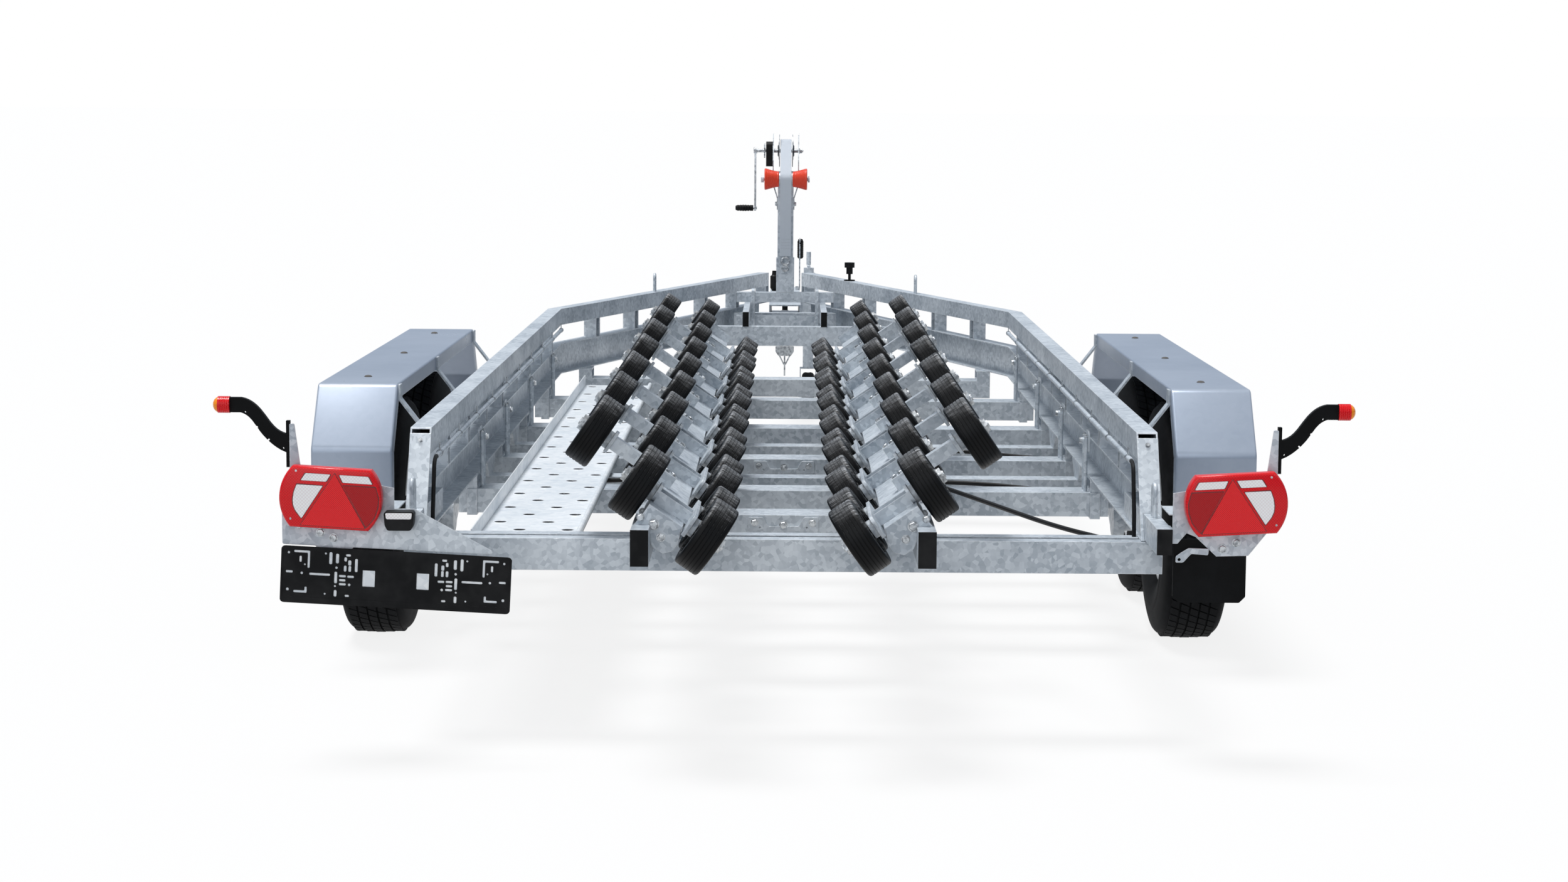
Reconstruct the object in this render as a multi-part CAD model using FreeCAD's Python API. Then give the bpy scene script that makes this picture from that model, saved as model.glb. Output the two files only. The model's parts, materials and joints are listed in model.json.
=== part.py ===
# Tandem-axle multi-roller boat trailer, parked level on its road wheels and its jockey wheel.
#
# X runs to the right as seen from behind, Y runs forwards to the towing eye and Z runs up.
# Stations are measured forwards from the rear face of the rear crossbeam. The finished trailer
# is then moved so that the origin lies on the ground at the middle of its length.
# Everything is in millimetres. Pieces that come in pairs are made on the right and mirrored.

import math
import os

import FreeCAD
import Part

Vec = FreeCAD.Vector

# Road wheels and axles
tyre_radius = 333.0
tyre_width = 188.0
tyre_bead_radius = 178.0
tyre_shoulder = 5.0
bead_share = 0.72
wheel_gap = 149.0
rear_axle_station = 1400.0
tyre_gap = 94.0
axle_tube_size = 80.0
axle_tube_wall = 6.0
swing_arm_length = 130.0
swing_arm_rise = 57.0
swing_arm_thickness = 32.0
swing_arm_eye_radius = 48.0
axle_overhang = 40.0
axle_seat_height = 48.0
stub_radius = 20.0
bearing_clearance = 0.1
hub_offset = 30.0
brake_drum_radius = 122.0
brake_drum_width = 72.0
brake_plate_gap = 12.0
brake_plate_thickness = 5.0
brake_plate_margin = 2.0
stub_boss_margin = 14.0
rim_wall = 6.0
rim_well_depth = 12.0
rim_disc_inset = 30.0
rim_dish_depth = 18.0
rim_dish_land = 30.0
rim_dish_foot = 60.0
rim_bore_radius = 45.0
rim_slope_lead = 12.0
rim_slope_drop = 27.0
rim_slope_back = 8.0
rim_hole_count = 8
rim_hole_inset = 24.0
rim_hole_radius = 13.0
drum_wall = 10.0
drum_chamfer = 12.0
drum_shoulder = 22.0
drum_web = 14.0
drum_face_radius = 44.0
hub_web_radius = 42.0
hub_nose_length = 34.0
hub_nose_radius = 40.0
hub_nose_wall = 8.0
hub_tail_length = 50.0
hub_tail_radius = 36.0
seat_gap = 0.3

# Chassis
chassis_half_width = 885.0
beam_height = 242.0
beam_width = 50.0
upper_chord_height = 60.0
lower_chord_height = 112.0
chord_wall = 4.0
post_width = 42.0
post_pitch = 420.0
beam_rear_station = 12.0
beam_end_rake = 128.0
beam_end_plate = 4.0
beam_end_gap = 16.0
bend_station = 4120.0
leg_angle = 17.5
rear_crossbeam_height = 75.0
rear_crossbeam_depth = 112.0
rear_crossbeam_slot = 22.0
crossmember_height = 65.0
crossmember_depth = 120.0
crossmember_stations = [1200.0, 1900.0, 2720.0, 3600.0, 4380.0]
short_crossmember_station = 730.0
crossmember_drop = 38.0
profile_wall = 5.0
clamp_bar_radius = 5.0
clamp_half_spread = 24.0
clamp_plate_thickness = 5.0
clamp_strap_width = 27.0
clamp_strap_thickness = 6.0
clamp_saddle_drop = 42.0
clamp_saddle_rise = 16.0
clamp_saddle_margin = 4.0
clamp_saddle_chamfer = 6.0
clamp_saddle_corner = 5.0
clamp_bar_stop = 14.0
clamp_bolt_length = 14.0
clamp_bolt_radius = 9.0
conduit_radius = 7.0
conduit_drop = 12.0
conduit_rear_station = 170.0
eye_bar_radius = 6.0
eye_half_width = 17.0
handle_height = 77.0
handle_setback = 24.0
loop_station = 5150.0
loop_height = 70.0
front_crossmember_setback = 1435.0
front_crossmember_rise = 12.0
front_crossmember_height = 80.0
front_crossmember_depth = 50.0
rail_half_spacing = 162.0
rail_width = 25.0
rail_height = 60.0
rail_overhang = 70.0
rail_crossmember_setback = 655.0

# Drawbar and coupling
drawbar_half_width = 70.0
drawbar_height = 120.0
drawbar_wall = 6.0
drawbar_lead = 715.0
gusset_length = 520.0
coupling_housing_length = 330.0
coupling_tube_radius = 30.0
coupling_plate_gap = 22.0
coupling_core_step = 8.0
housing_margin = 16.0
housing_nose_run = 90.0
housing_heel = 40.0
gaiter_folds = 6
gaiter_crest_inset = 4.0
gaiter_root_rise = 2.0
gaiter_length = 120.0
ball_radius = 25.0
ball_clearance = 0.4
coupling_head_length = 190.0
head_end_wall = 20.0
head_cheek_swell = 14.0
head_nose_swell = 8.0
head_cheek_lead = 20.0
head_rise = 18.0
socket_depth = 30.0
hitch_handle_thickness = 10.0
hitch_handle_half_width = 14.0
hitch_handle_foot = 10.0
hitch_handle_knee = 40.0
hitch_handle_knee_rise = 70.0
hitch_handle_end = 60.0
hitch_handle_end_rise = 92.0

# Roller cradle
cradle_slope = 34.5
inner_roller_x = 169.5
inner_roller_rise = 56.0
middle_roller_offset = 188.0
outer_roller_offset = 332.0
roller_radius = 86.0
roller_width = 60.0
roller_edge = 8.0
roller_rim_radius = 62.0
roller_recess = 7.0
roller_pitch = 610.0
pair_half_spacing = 105.0
first_roller_station = -225.0
inner_pair_count = 8
middle_roller_count = 9
outer_roller_count = 7
arm_width = 60.0
arm_height = 30.0
arm_wall = 4.0
arm_slot_length = 62.0
arm_slot_width = 14.0
outer_arm_size = 32.0
outer_arm_start = 112.0
roller_axle_radius = 10.0
roller_nut_radius = 16.0
roller_nut_height = 9.0
yoke_thickness = 8.0
yoke_height = 56.0
yoke_corner = 14.0
yoke_running_gap = 12.0
hub_radius = 22.0
channel_start = 56.0
channel_end = 145.0
channel_flange = 30.0
channel_wall = 4.0
channel_overhang = 95.0
bracket_thickness = 8.0
bracket_lobe_drop = 64.0
bracket_lobe_run = 42.0
bracket_lobe_side = 22.0
bracket_lobe_shoulder = 5.0
bracket_lobe_end = 14.0
bracket_step = 30.0
bracket_corner = 6.0
bracket_seat_inset = 4.0
roller_beam_x = 316.0
roller_beam_width = 40.0
roller_beam_height = 80.0
roller_beam_rear_station = -400.0
cap_thickness = 8.0

# Mudguards
mudguard_width = 212.0
mudguard_clearance = 79.0
mudguard_rear_overhang = 252.0
mudguard_front_overhang = 447.0
mudguard_slant_run = 130.0
mudguard_slant_drop = 159.0
mudguard_skirt = 118.0
mudguard_lip = 40.0
sheet_thickness = 3.0
stay_width = 40.0
stay_thickness = 6.0

# Lights at the rear
light_plane_station = -215.0
light_carrier_width = 34.0
light_carrier_height = 58.0
light_carrier_reach = 420.0
slide_clearance = 0.5
lamp_offset = 130.0
lamp_rise = 125.0
lamp_tilt = 3.2
lamp_side_bulge = 27.0
lamp_width = 230.0
lamp_height = 138.0
lamp_depth = 44.0
lamp_edge_radius = 6.0
marker_lamp_offset = 398.0
marker_lamp_rise = 319.0
marker_lamp_length = 38.0
marker_lamp_radius = 19.0
marker_holder_length = 25.0
marker_arm_depth = 16.0
marker_hole_radius = 2.6
marker_hole_across = 7.0
marker_hole_rise = 9.0
marker_dome_step = 8.0
marker_dome_shoulder = 4.0
marker_dome_length = 9.0
marker_dome_edge = 3.0
marker_strip_width = 8.0
marker_strip_share = 0.75
marker_strip_inset = 11.0
marker_strip_overlap = 4.0
bracket_flange_depth = 130.0
bracket_flange_drop = 30.0
bracket_tab_drop = 32.0
bracket_tab_depth = 60.0
bracket_notch = 12.0
bracket_hump = 8.0
bracket_waist_reach = 86.0
bracket_foot_inner = 38.0
bracket_foot_outer = 34.0
bracket_side_inset = 24.0
bracket_head_rise = 60.0
bracket_inner_rise = 20.0
bracket_skirt_side = 76.0
upright_outer_inset = 19.0
upright_inner_inset = 48.0
upright_tip_inset = 30.0
upright_rise = 164.0
upright_corner = 3.0
wide_bracket_inset = 4.0
wide_bracket_tail = 26.0
wide_bracket_low = 16.0
wide_bracket_drop = 6.0
wide_bracket_top = 96.0
wide_bracket_reach = 28.0
wide_bracket_slope = 2.0
wide_bracket_corner = 5.0
plate_holder_width = 520.0
plate_holder_height = 130.0
plate_holder_tilt = 2.8
plate_holder_inset = 11.0
plate_holder_drop = 63.0
plate_holder_depth = 8.0
plate_holder_corner = 6.0
plate_lamp_width = 68.0
plate_lamp_height = 43.0
plate_lamp_depth = 34.0
plate_lamp_rise = 52.0
flap_width = 165.0
flap_height = 145.0
flap_thickness = 5.0
flap_corner = 14.0
flap_edge_radius = 5.0
flap_top_share = 0.7

# Walkway on the left
walkway_gap = 143.0
walkway_width = 250.0
walkway_rear_gap = 10.0
walkway_split_station = 2520.0
walkway_front_station = 4030.0
walkway_flange = 40.0
walkway_bead = 14.0
walkway_slot_rows = 4
slot_length = 34.0
slot_width = 11.0
slot_pitch = 96.0

# Winch post
winch_post_setback = 150.0
winch_post_size = 68.0
post_foot_reach = 60.0
post_foot_height = 150.0
winch_post_height = 560.0
carriage_half_width = 210.0
carriage_bar_height = 42.0
carriage_bar_depth = 60.0
carriage_strap_x = 138.0
carriage_strap_size = 14.0
carriage_strap_corner = 10.0
bow_roller_drop = 25.0
bow_roller_reach = 150.0
bow_roller_radius = 46.0
bow_roller_waist = 33.0
bow_nose_step = 5.0
bow_roller_length = 62.0
bow_lug_half_width = 29.0
bow_pin_radius = 8.0
bow_pin_margin = 3.0
bow_pin_head_length = 12.0
bow_pin_head_step = 6.0
bow_pin_nut_length = 8.0
bow_pin_nut_step = 5.0
bow_cone_edge = 5.0
bow_lug_root_drop = 60.0
bow_lug_root_rise = 25.0
bow_lug_half_height = 20.0
winch_axis_rise = 93.0
winch_axis_lead = 30.0
winch_plate_x = 53.0
winch_plate_thickness = 4.0
winch_plate_rise = 74.0
winch_plate_foot_drop = 160.0
winch_plate_bend_drop = 110.0
winch_plate_flare_drop = 50.0
winch_plate_front_margin = 25.0
winch_plate_front_drop = 55.0
winch_plate_front_rise = 20.0
winch_plate_top_lead = 35.0
winch_plate_top_back = 30.0
winch_plate_rear_drop = 40.0
winch_plate_corner = 8.0
winch_tie_lead = 18.0
winch_tie_drop = 95.0
winch_tie_radius = 7.0
winch_shaft_margin = 2.0
winch_shaft_end = 12.0
crank_boss_step = 5.0
crank_shaft_margin = 6.0
winch_flange_thickness = 3.0
winch_core_step = 14.0
winch_flange_radius = 70.0
winch_flange_x = 27.0
wound_strap_radius = 50.0
strap_width = 48.0
strap_thickness = 4.0
winch_shaft_radius = 8.0
gear_cover_depth = 29.0
gear_cover_rear = 42.0
gear_cover_front = 22.0
gear_cover_drop = 68.0
gear_cover_front_drop = 55.0
gear_cover_front_rise = 22.0
gear_cover_crown_back = 10.0
gear_cover_crown = 40.0
gear_cover_rear_rise = 30.0
gear_cover_corner = 9.0
strap_wrap = 9.0
hook_rise = 160.0
hook_gap = 12.0
hook_ring_radius = 16.0
hook_bar_radius = 5.0
hook_ring_drop = 22.0
hook_stem_half_width = 12.0
hook_stem_depth = 30.0
hook_stem_drop = 48.0
hook_stem_height = 12.0
crank_shaft_lead = 62.0
crank_arm_x = 133.0
crank_arm_length = 250.0
crank_arm_width = 24.0
crank_arm_thickness = 8.0
crank_bar_radius = 6.0
crank_grip_length = 84.0
crank_grip_radius = 14.0

# Brake cables and lamp cables
cable_radius = 6.0
lamp_cable_radius = 5.0
cable_tube_gap = 6.0
cable_start_x = 150.0
cable_sweep = 180.0
abutment_thickness = 8.0
abutment_drop = 16.0
abutment_rise = 12.0
lamp_cable_step = 40.0
crossing_inset = 45.0
crossing_lead = 70.0
crossing_lift = 8.0
crossing_first_drift = 110.0
crossing_second_drift = 235.0
crossing_far_gap = 139.0
crossing_near_gap = 84.0
cable_dip = 12.0
cable_end_run = 60.0
cable_arrival_gap = 10.0

# Jockey wheel, handbrake lever and parked plug
jockey_lead = 345.0
jockey_outer_radius = 30.0
jockey_outer_wall = 4.0
jockey_clamp_gap = 12.0
jockey_outer_drop = 48.0
jockey_outer_length = 260.0
jockey_top_wall = 12.0
jockey_stop_gap = 8.0
jockey_clamp_inset = 20.0
jockey_clamp_half = 55.0
jockey_clamp_root = 14.0
jockey_clamp_wall = 8.0
jockey_clamp_nose = 26.0
jockey_clamp_corner = 4.0
jockey_cap_height = 24.0
jockey_cap_step = 6.0
jockey_crank_half = 8.0
jockey_crank_reach = 110.0
jockey_crank_thickness = 8.0
jockey_knob_reach = 96.0
jockey_knob_height = 70.0
jockey_knob_radius = 11.0
jockey_wheel_radius = 110.0
jockey_wheel_width = 60.0
jockey_fork_height = 130.0
jockey_trail = 45.0
jockey_travel = 150.0
jockey_fork_gap = 5.0
fork_cheek_thickness = 4.0
fork_crown_half = 26.0
fork_crown_thickness = 5.0
fork_shoulder_drop = 30.0
fork_foot_half = 22.0
fork_foot_drop = 16.0
fork_heel_rise = 30.0
fork_axle_end = 14.0
jockey_tread_edge = 12.0
jockey_hub_margin = 2.0
jockey_hub_end_radius = 24.0
jockey_hub_radius = 30.0
jockey_web_half = 8.0
jockey_web_share = 0.6
jockey_bead_share = 0.66
jockey_axle_radius = 8.0
jockey_pin_radius = 12.0
jockey_pin_length = 35.0
slide_gap = 0.3
lever_x = 82.0
lever_length = 250.0
plug_x = -88.0
plug_radius = 19.0
plug_shift = 36.0
plug_setback = 60.0
plug_shoulder = 14.0
plug_body_length = 70.0
plug_neck_start = 76.0
plug_length = 96.0
plug_neck_share = 0.6
plug_end_share = 0.5
lever_setback = 60.0
lever_inset = 10.0
lever_thickness = 6.0
lever_root_length = 46.0
lever_bend_front = 30.0
lever_bend_rear = 4.0
lever_bend_front_share = 0.45
lever_bend_rear_share = 0.42
lever_tip_front = 18.0
lever_tip_rear = 40.0
lever_tip_drop = 8.0
lever_foot_length = 60.0
lever_foot_width = 20.0
knob_lead = 50.0
knob_foot_radius = 24.0
knob_foot_height = 5.0
knob_stem_radius = 6.0
knob_stem_top = 30.0
knob_neck_radius = 14.0
knob_neck_top = 58.0
knob_grip_radius = 22.0
knob_height = 80.0

# How far a cutting tool runs past the face that it opens
past = 1.0

# Values worked out from the driving dimensions
leg_tangent = math.tan(math.radians(leg_angle))
legs_meet_station = bend_station + (chassis_half_width - drawbar_half_width) / leg_tangent
front_crossmember_station = float(round(legs_meet_station - front_crossmember_setback))
rail_crossmember_station = float(round(legs_meet_station - rail_crossmember_setback))
rail_front_station = rail_crossmember_station + rail_overhang
winch_post_station = rail_crossmember_station - winch_post_setback
jockey_station = float(round(legs_meet_station + jockey_lead))
drawbar_front_station = float(round(legs_meet_station + drawbar_lead))
wheel_centre_x = chassis_half_width + wheel_gap + tyre_width / 2
axle_spacing = 2 * tyre_radius + tyre_gap
axle_tube_half_length = chassis_half_width + axle_overhang
axle_tube_z = tyre_radius + swing_arm_rise
axle_tube_top = axle_tube_z + axle_tube_size / 2
beam_bottom = axle_tube_top + axle_seat_height
beam_top = beam_bottom + beam_height
half_beam = beam_width / 2
beam_inner_x = chassis_half_width - beam_width
front_crossmember_bottom = beam_bottom + front_crossmember_rise
inner_roller_z = beam_bottom + inner_roller_rise
mudguard_top = 2 * tyre_radius + mudguard_clearance
mudguard_rear_station = rear_axle_station - tyre_radius - mudguard_rear_overhang
mudguard_front_station = rear_axle_station + axle_spacing + tyre_radius + mudguard_front_overhang
mudguard_inner_x = wheel_centre_x - mudguard_width / 2
mudguard_outer_x = wheel_centre_x + mudguard_width / 2
rail_bottom = front_crossmember_bottom + front_crossmember_height
rail_top = rail_bottom + rail_height
winch_post_top = rail_top + winch_post_height
bow_roller_z = winch_post_top - bow_roller_drop
winch_axis_z = winch_post_top + winch_axis_rise
winch_plate_top = winch_axis_z + winch_plate_rise
lamp_centre_x = chassis_half_width + lamp_offset
lamp_centre_z = beam_bottom + lamp_rise
marker_lamp_x = chassis_half_width + marker_lamp_offset
marker_lamp_z = beam_bottom + marker_lamp_rise
plate_holder_centre_x = plate_holder_inset - chassis_half_width
plate_holder_centre_z = beam_bottom - plate_holder_drop
walkway_outer_x = walkway_gap - chassis_half_width
walkway_inner_x = walkway_outer_x + walkway_width
walkway_rear_station = rear_crossbeam_depth + walkway_rear_gap
jockey_outer_bottom = beam_bottom - jockey_outer_drop
axle_stations = {"rear": rear_axle_station, "front": rear_axle_station + axle_spacing}
roller_stations = [first_roller_station + roller_pitch * i for i in range(middle_roller_count)]
cradle_rear_station = first_roller_station - channel_overhang
cradle_front_station = roller_stations[-1] + channel_overhang
crossmember_top = beam_bottom - crossmember_drop
coupling_axis_z = beam_bottom - coupling_tube_radius - coupling_plate_gap
coupling_front_station = (
    drawbar_front_station + coupling_housing_length / 2 + gaiter_length + coupling_head_length
)
overall_rear_station = roller_beam_rear_station - cap_thickness
middle_station = (overall_rear_station + coupling_front_station) / 2

sides = {"left": -1, "right": 1}
nodes = {}


def keep(name, *shapes):
    """Stores the solids of one node."""
    nodes.setdefault(name, []).extend(shapes)


def box(x_low, x_high, y_low, y_high, z_low, z_high):
    """Box between two values on each axis, in either order."""
    low = Vec(min(x_low, x_high), min(y_low, y_high), min(z_low, z_high))
    return Part.makeBox(abs(x_high - x_low), abs(y_high - y_low), abs(z_high - z_low), low)


def rod(start, end, radius):
    """Round bar between two points."""
    run = end - start
    return Part.makeCylinder(radius, run.Length, start, run)


def fused(*shapes):
    """One solid from shapes that are welded together."""
    return shapes[0].multiFuse(list(shapes[1:])).removeSplitter()


def mirrored(shape):
    """The same shape on the other side of the trailer."""
    return shape.mirror(Vec(0, 0, 0), Vec(1, 0, 0))


def on_side(shape, side):
    """A shape made on the right, taken to the side that is asked for."""
    return shape if side > 0 else mirrored(shape)


def frame_at(origin, along, up):
    """Placement with its local X along a direction and its local Z near another."""
    x = Vec(along).normalize()
    y = Vec(up).cross(x).normalize()
    z = x.cross(y)
    matrix = FreeCAD.Matrix(
        x.x, y.x, z.x, origin.x,
        x.y, y.y, z.y, origin.y,
        x.z, y.z, z.z, origin.z,
        0, 0, 0, 1,
    )
    return FreeCAD.Placement(matrix)


def placed(shape, placement):
    """A copy of a shape moved from its local frame."""
    moved = shape.copy()
    moved.Placement = placement.multiply(moved.Placement)
    return moved


def spread(axis, u, v, w):
    """Point from two outline coordinates and the one along the axis of the extrusion."""
    if axis == "x":
        return Vec(w, u, v)
    if axis == "y":
        return Vec(u, w, v)
    return Vec(u, v, w)


def outline_wire(corners, axis, level, radius=0.0):
    """Closed wire through corners, each rounded by the same radius where one is given."""
    points = [spread(axis, u, v, level) for u, v in corners]
    if radius <= 0:
        return Part.makePolygon(points + points[:1])
    edges = []
    tangents = []
    for i, corner in enumerate(points):
        back = (points[i - 1] - corner).normalize()
        ahead = (points[(i + 1) % len(points)] - corner).normalize()
        half_turn = back.getAngle(ahead) / 2
        reach = radius / math.tan(half_turn)
        centre_way = (back + ahead).normalize()
        middle = corner + centre_way * (radius / math.sin(half_turn) - radius)
        tangents.append((corner + back * reach, middle, corner + ahead * reach))
    for i, (start, middle, end) in enumerate(tangents):
        edges.append(Part.Arc(start, middle, end).toShape())
        following = tangents[(i + 1) % len(tangents)][0]
        if (following - end).Length > 1e-6:
            edges.append(Part.LineSegment(end, following).toShape())
    return Part.Wire(edges)


def prism(corners, axis, low, high, radius=0.0):
    """Outline in the two other axes, extruded along one axis from low to high."""
    face = Part.Face(outline_wire(corners, axis, low, radius))
    return face.extrude(spread(axis, 0, 0, high - low))


def folded_strip(chain, thickness, axis, low, high):
    """Sheet folded along a chain of points, with its thickness on the left of the chain."""
    inner = []
    for i, (u, v) in enumerate(chain):
        before = chain[max(i - 1, 0)]
        after = chain[min(i + 1, len(chain) - 1)]
        first = Vec(u - before[0], v - before[1], 0)
        second = Vec(after[0] - u, after[1] - v, 0)
        if first.Length == 0:
            first = second
        if second.Length == 0:
            second = first
        first.normalize()
        second.normalize()
        normal = Vec(-first.y - second.y, first.x + second.x, 0).normalize()
        stretch = thickness / normal.dot(Vec(-first.y, first.x, 0))
        inner.append((u + normal.x * stretch, v + normal.y * stretch))
    return prism(chain + inner[::-1], axis, low, high)


def revolved(profile, axis_start, axis_way):
    """Solid of revolution from a closed profile of points (distance along, radius)."""
    way = Vec(axis_way).normalize()
    side = Vec(0, 0, 1) if abs(way.z) < 0.5 else Vec(1, 0, 0)
    points = [axis_start + way * along + side * radius for along, radius in profile]
    face = Part.Face(Part.makePolygon(points + points[:1]))
    return face.revolve(axis_start, way, 360)


def ring(centre, axis, towards, radius, bar_radius, degrees):
    """Round bar bent about an axis, from one direction through an angle."""
    start = centre + towards * radius
    section = Part.Face(Part.Wire(Part.makeCircle(bar_radius, start, axis.cross(towards))))
    return section.revolve(centre, axis, degrees)


def hollow_bar(length, width, height, wall):
    """Rectangular tube along local X, with its bottom at zero and its width about zero."""
    outer = box(0, length, -width / 2, width / 2, 0, height)
    inner = box(-past, length + past, wall - width / 2, width / 2 - wall, wall, height - wall)
    return outer.cut(inner)


def beyond(point, normal):
    """Large block on the far side of a plane, for trimming."""
    reach = 4000.0
    block = box(0, reach, -reach, reach, -reach, reach)
    up = Vec(0, 0, 1) if abs(normal.z) < 0.9 else Vec(1, 0, 0)
    return placed(block, frame_at(point, normal, up))


def leg_direction():
    """Way in which the right front leg runs, forwards and inwards."""
    turn = math.radians(leg_angle)
    return Vec(-math.sin(turn), math.cos(turn), 0)


def leg_inner_x(station):
    """Distance of the inner face of a front leg from the middle of the trailer."""
    turn = math.radians(leg_angle)
    outer = chassis_half_width - (station - bend_station) * math.tan(turn)
    return outer - beam_width / math.cos(turn)


def ladder_beam(length):
    """Side beam along local X: a tube over an inward-facing channel, joined by posts."""
    upper = placed(
        hollow_bar(length, beam_width, upper_chord_height, chord_wall),
        FreeCAD.Placement(Vec(0, 0, beam_height - upper_chord_height), FreeCAD.Rotation()),
    )
    lower = box(0, length, -half_beam, half_beam, 0, lower_chord_height)
    lower = lower.cut(
        box(-past, length + past, chord_wall - half_beam, half_beam + past,
            chord_wall, lower_chord_height - chord_wall)
    )
    window_low = lower_chord_height
    window_high = beam_height - upper_chord_height
    count = max(1, int(length // post_pitch))
    gap = (length - post_width) / count
    posts = []
    for i in range(count + 1):
        start = i * gap
        post = box(start, start + post_width, -half_beam, half_beam, window_low, window_high)
        pocket = box(start + chord_wall, start + post_width - chord_wall,
                     chord_wall - half_beam, half_beam + past, window_low, window_high)
        posts.append(post.cut(pocket))
    return fused(upper, lower, *posts)


def carrier_space(rear, front):
    """Room that a light carrier takes up inside the right beam, with its running gap."""
    half = light_carrier_width / 2 + slide_clearance
    low = beam_bottom + chord_wall
    centre_x = chassis_half_width - half_beam
    return box(centre_x - half, centre_x + half, rear, front,
               low, low + light_carrier_height + 2 * slide_clearance)


def make_side_beams():
    """Straight side beams and the legs that run in to the drawbar, mitred at the bend."""
    overrun = 60.0
    forward = Vec(0, 1, 0)
    centre_x = chassis_half_width - half_beam
    straight = placed(
        ladder_beam(bend_station + overrun - beam_rear_station),
        frame_at(Vec(centre_x, beam_rear_station, beam_bottom), forward, Vec(0, 0, 1)),
    )
    leg_way = leg_direction()
    bend_outer = Vec(chassis_half_width, bend_station, beam_bottom)
    leg_side = leg_way.cross(Vec(0, 0, 1))
    leg_start = bend_outer - leg_side * half_beam - leg_way * overrun
    inner_run = (chassis_half_width - drawbar_half_width - beam_width / math.cos(math.radians(leg_angle)))
    leg_length = inner_run / math.sin(math.radians(leg_angle)) + overrun
    leg = placed(ladder_beam(leg_length), frame_at(leg_start, leg_way, Vec(0, 0, 1)))
    mitre_way = (forward + leg_way).normalize()
    straight = straight.cut(beyond(bend_outer, mitre_way))
    leg = leg.cut(beyond(bend_outer, mitre_way * -1))
    rake = Vec(0, beam_end_rake, beam_height)
    end_way = Vec(0, -beam_height, beam_end_rake).normalize()
    end_foot = Vec(centre_x, beam_rear_station, beam_bottom)
    straight = straight.cut(beyond(end_foot, end_way))
    end_plate = placed(
        box(0, rake.Length - beam_end_gap, -half_beam, half_beam, 0, beam_end_plate),
        frame_at(end_foot, rake, end_way),
    )
    end_plate = end_plate.cut(carrier_space(end_plate.BoundBox.YMin - past, end_plate.BoundBox.YMax + past))
    straight = fused(straight, end_plate)
    for name, side in sides.items():
        keep("side_beam_" + name, on_side(straight, side))
        keep("front_leg_" + name, on_side(leg, side))


def crossmember_reach(station):
    """Half length of a crossmember, which ends under the outer face of a beam or a leg."""
    past_bend = max(0.0, station + crossmember_depth / 2 - bend_station)
    return chassis_half_width - past_bend * math.tan(math.radians(leg_angle))


def crossmember_between_legs(station):
    """Crossmember whose ends are cut to the inner faces of the front legs."""
    reach = leg_inner_x(station) + beam_width
    start = Vec(-reach, station + front_crossmember_depth / 2, front_crossmember_bottom)
    bar = placed(
        hollow_bar(2 * reach, front_crossmember_depth, front_crossmember_height, profile_wall),
        frame_at(start, Vec(1, 0, 0), Vec(0, 0, 1)),
    )
    outward = leg_direction().cross(Vec(0, 0, 1))
    trim = beyond(Vec(leg_inner_x(station), station, 0), outward)
    return bar.cut(trim).cut(mirrored(trim))


def hung_crossmember(station, reach, seats):
    """Crossmember on short lengths of tube, given as pairs of inner place and width."""
    across = Vec(1, 0, 0)
    up = Vec(0, 0, 1)
    bar = placed(
        hollow_bar(2 * reach, crossmember_depth, crossmember_height, profile_wall),
        frame_at(Vec(-reach, station, crossmember_top - crossmember_height), across, up),
    )
    pieces = [bar]
    for low_x, width in seats:
        seat = hollow_bar(width, crossmember_depth, crossmember_drop, profile_wall)
        right = placed(seat, frame_at(Vec(low_x, station, crossmember_top), across, up))
        pieces.extend([right, mirrored(right)])
    return fused(*pieces)


def make_cross_members():
    """Slotted rear crossbeam, the hung crossmembers and the ones between the front legs."""
    low = beam_bottom - rear_crossbeam_height
    rear = box(-chassis_half_width, chassis_half_width, 0, rear_crossbeam_depth, low, beam_bottom)
    pocket = box(-chassis_half_width - past, chassis_half_width + past, profile_wall,
                 rear_crossbeam_depth - profile_wall, low + profile_wall, beam_bottom - profile_wall)
    middle = rear_crossbeam_depth / 2
    slot = box(-chassis_half_width - past, chassis_half_width + past, middle - rear_crossbeam_slot / 2,
               middle + rear_crossbeam_slot / 2, beam_bottom - 2 * profile_wall, beam_bottom + past)
    keep("rear_crossbeam", rear.cut(pocket).cut(slot))
    inner_seat = (roller_beam_x - roller_beam_width / 2, roller_beam_width)
    for station in crossmember_stations:
        reach = crossmember_reach(station)
        outer_seat = (reach - beam_width, beam_width)
        keep("crossmembers", hung_crossmember(station, reach, [outer_seat, inner_seat]))
    short_reach = roller_beam_x + roller_beam_width / 2
    keep("crossmembers", hung_crossmember(short_crossmember_station, short_reach, [inner_seat]))
    for station in (front_crossmember_station, rail_crossmember_station):
        keep("front_crossmembers", crossmember_between_legs(station))


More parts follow.
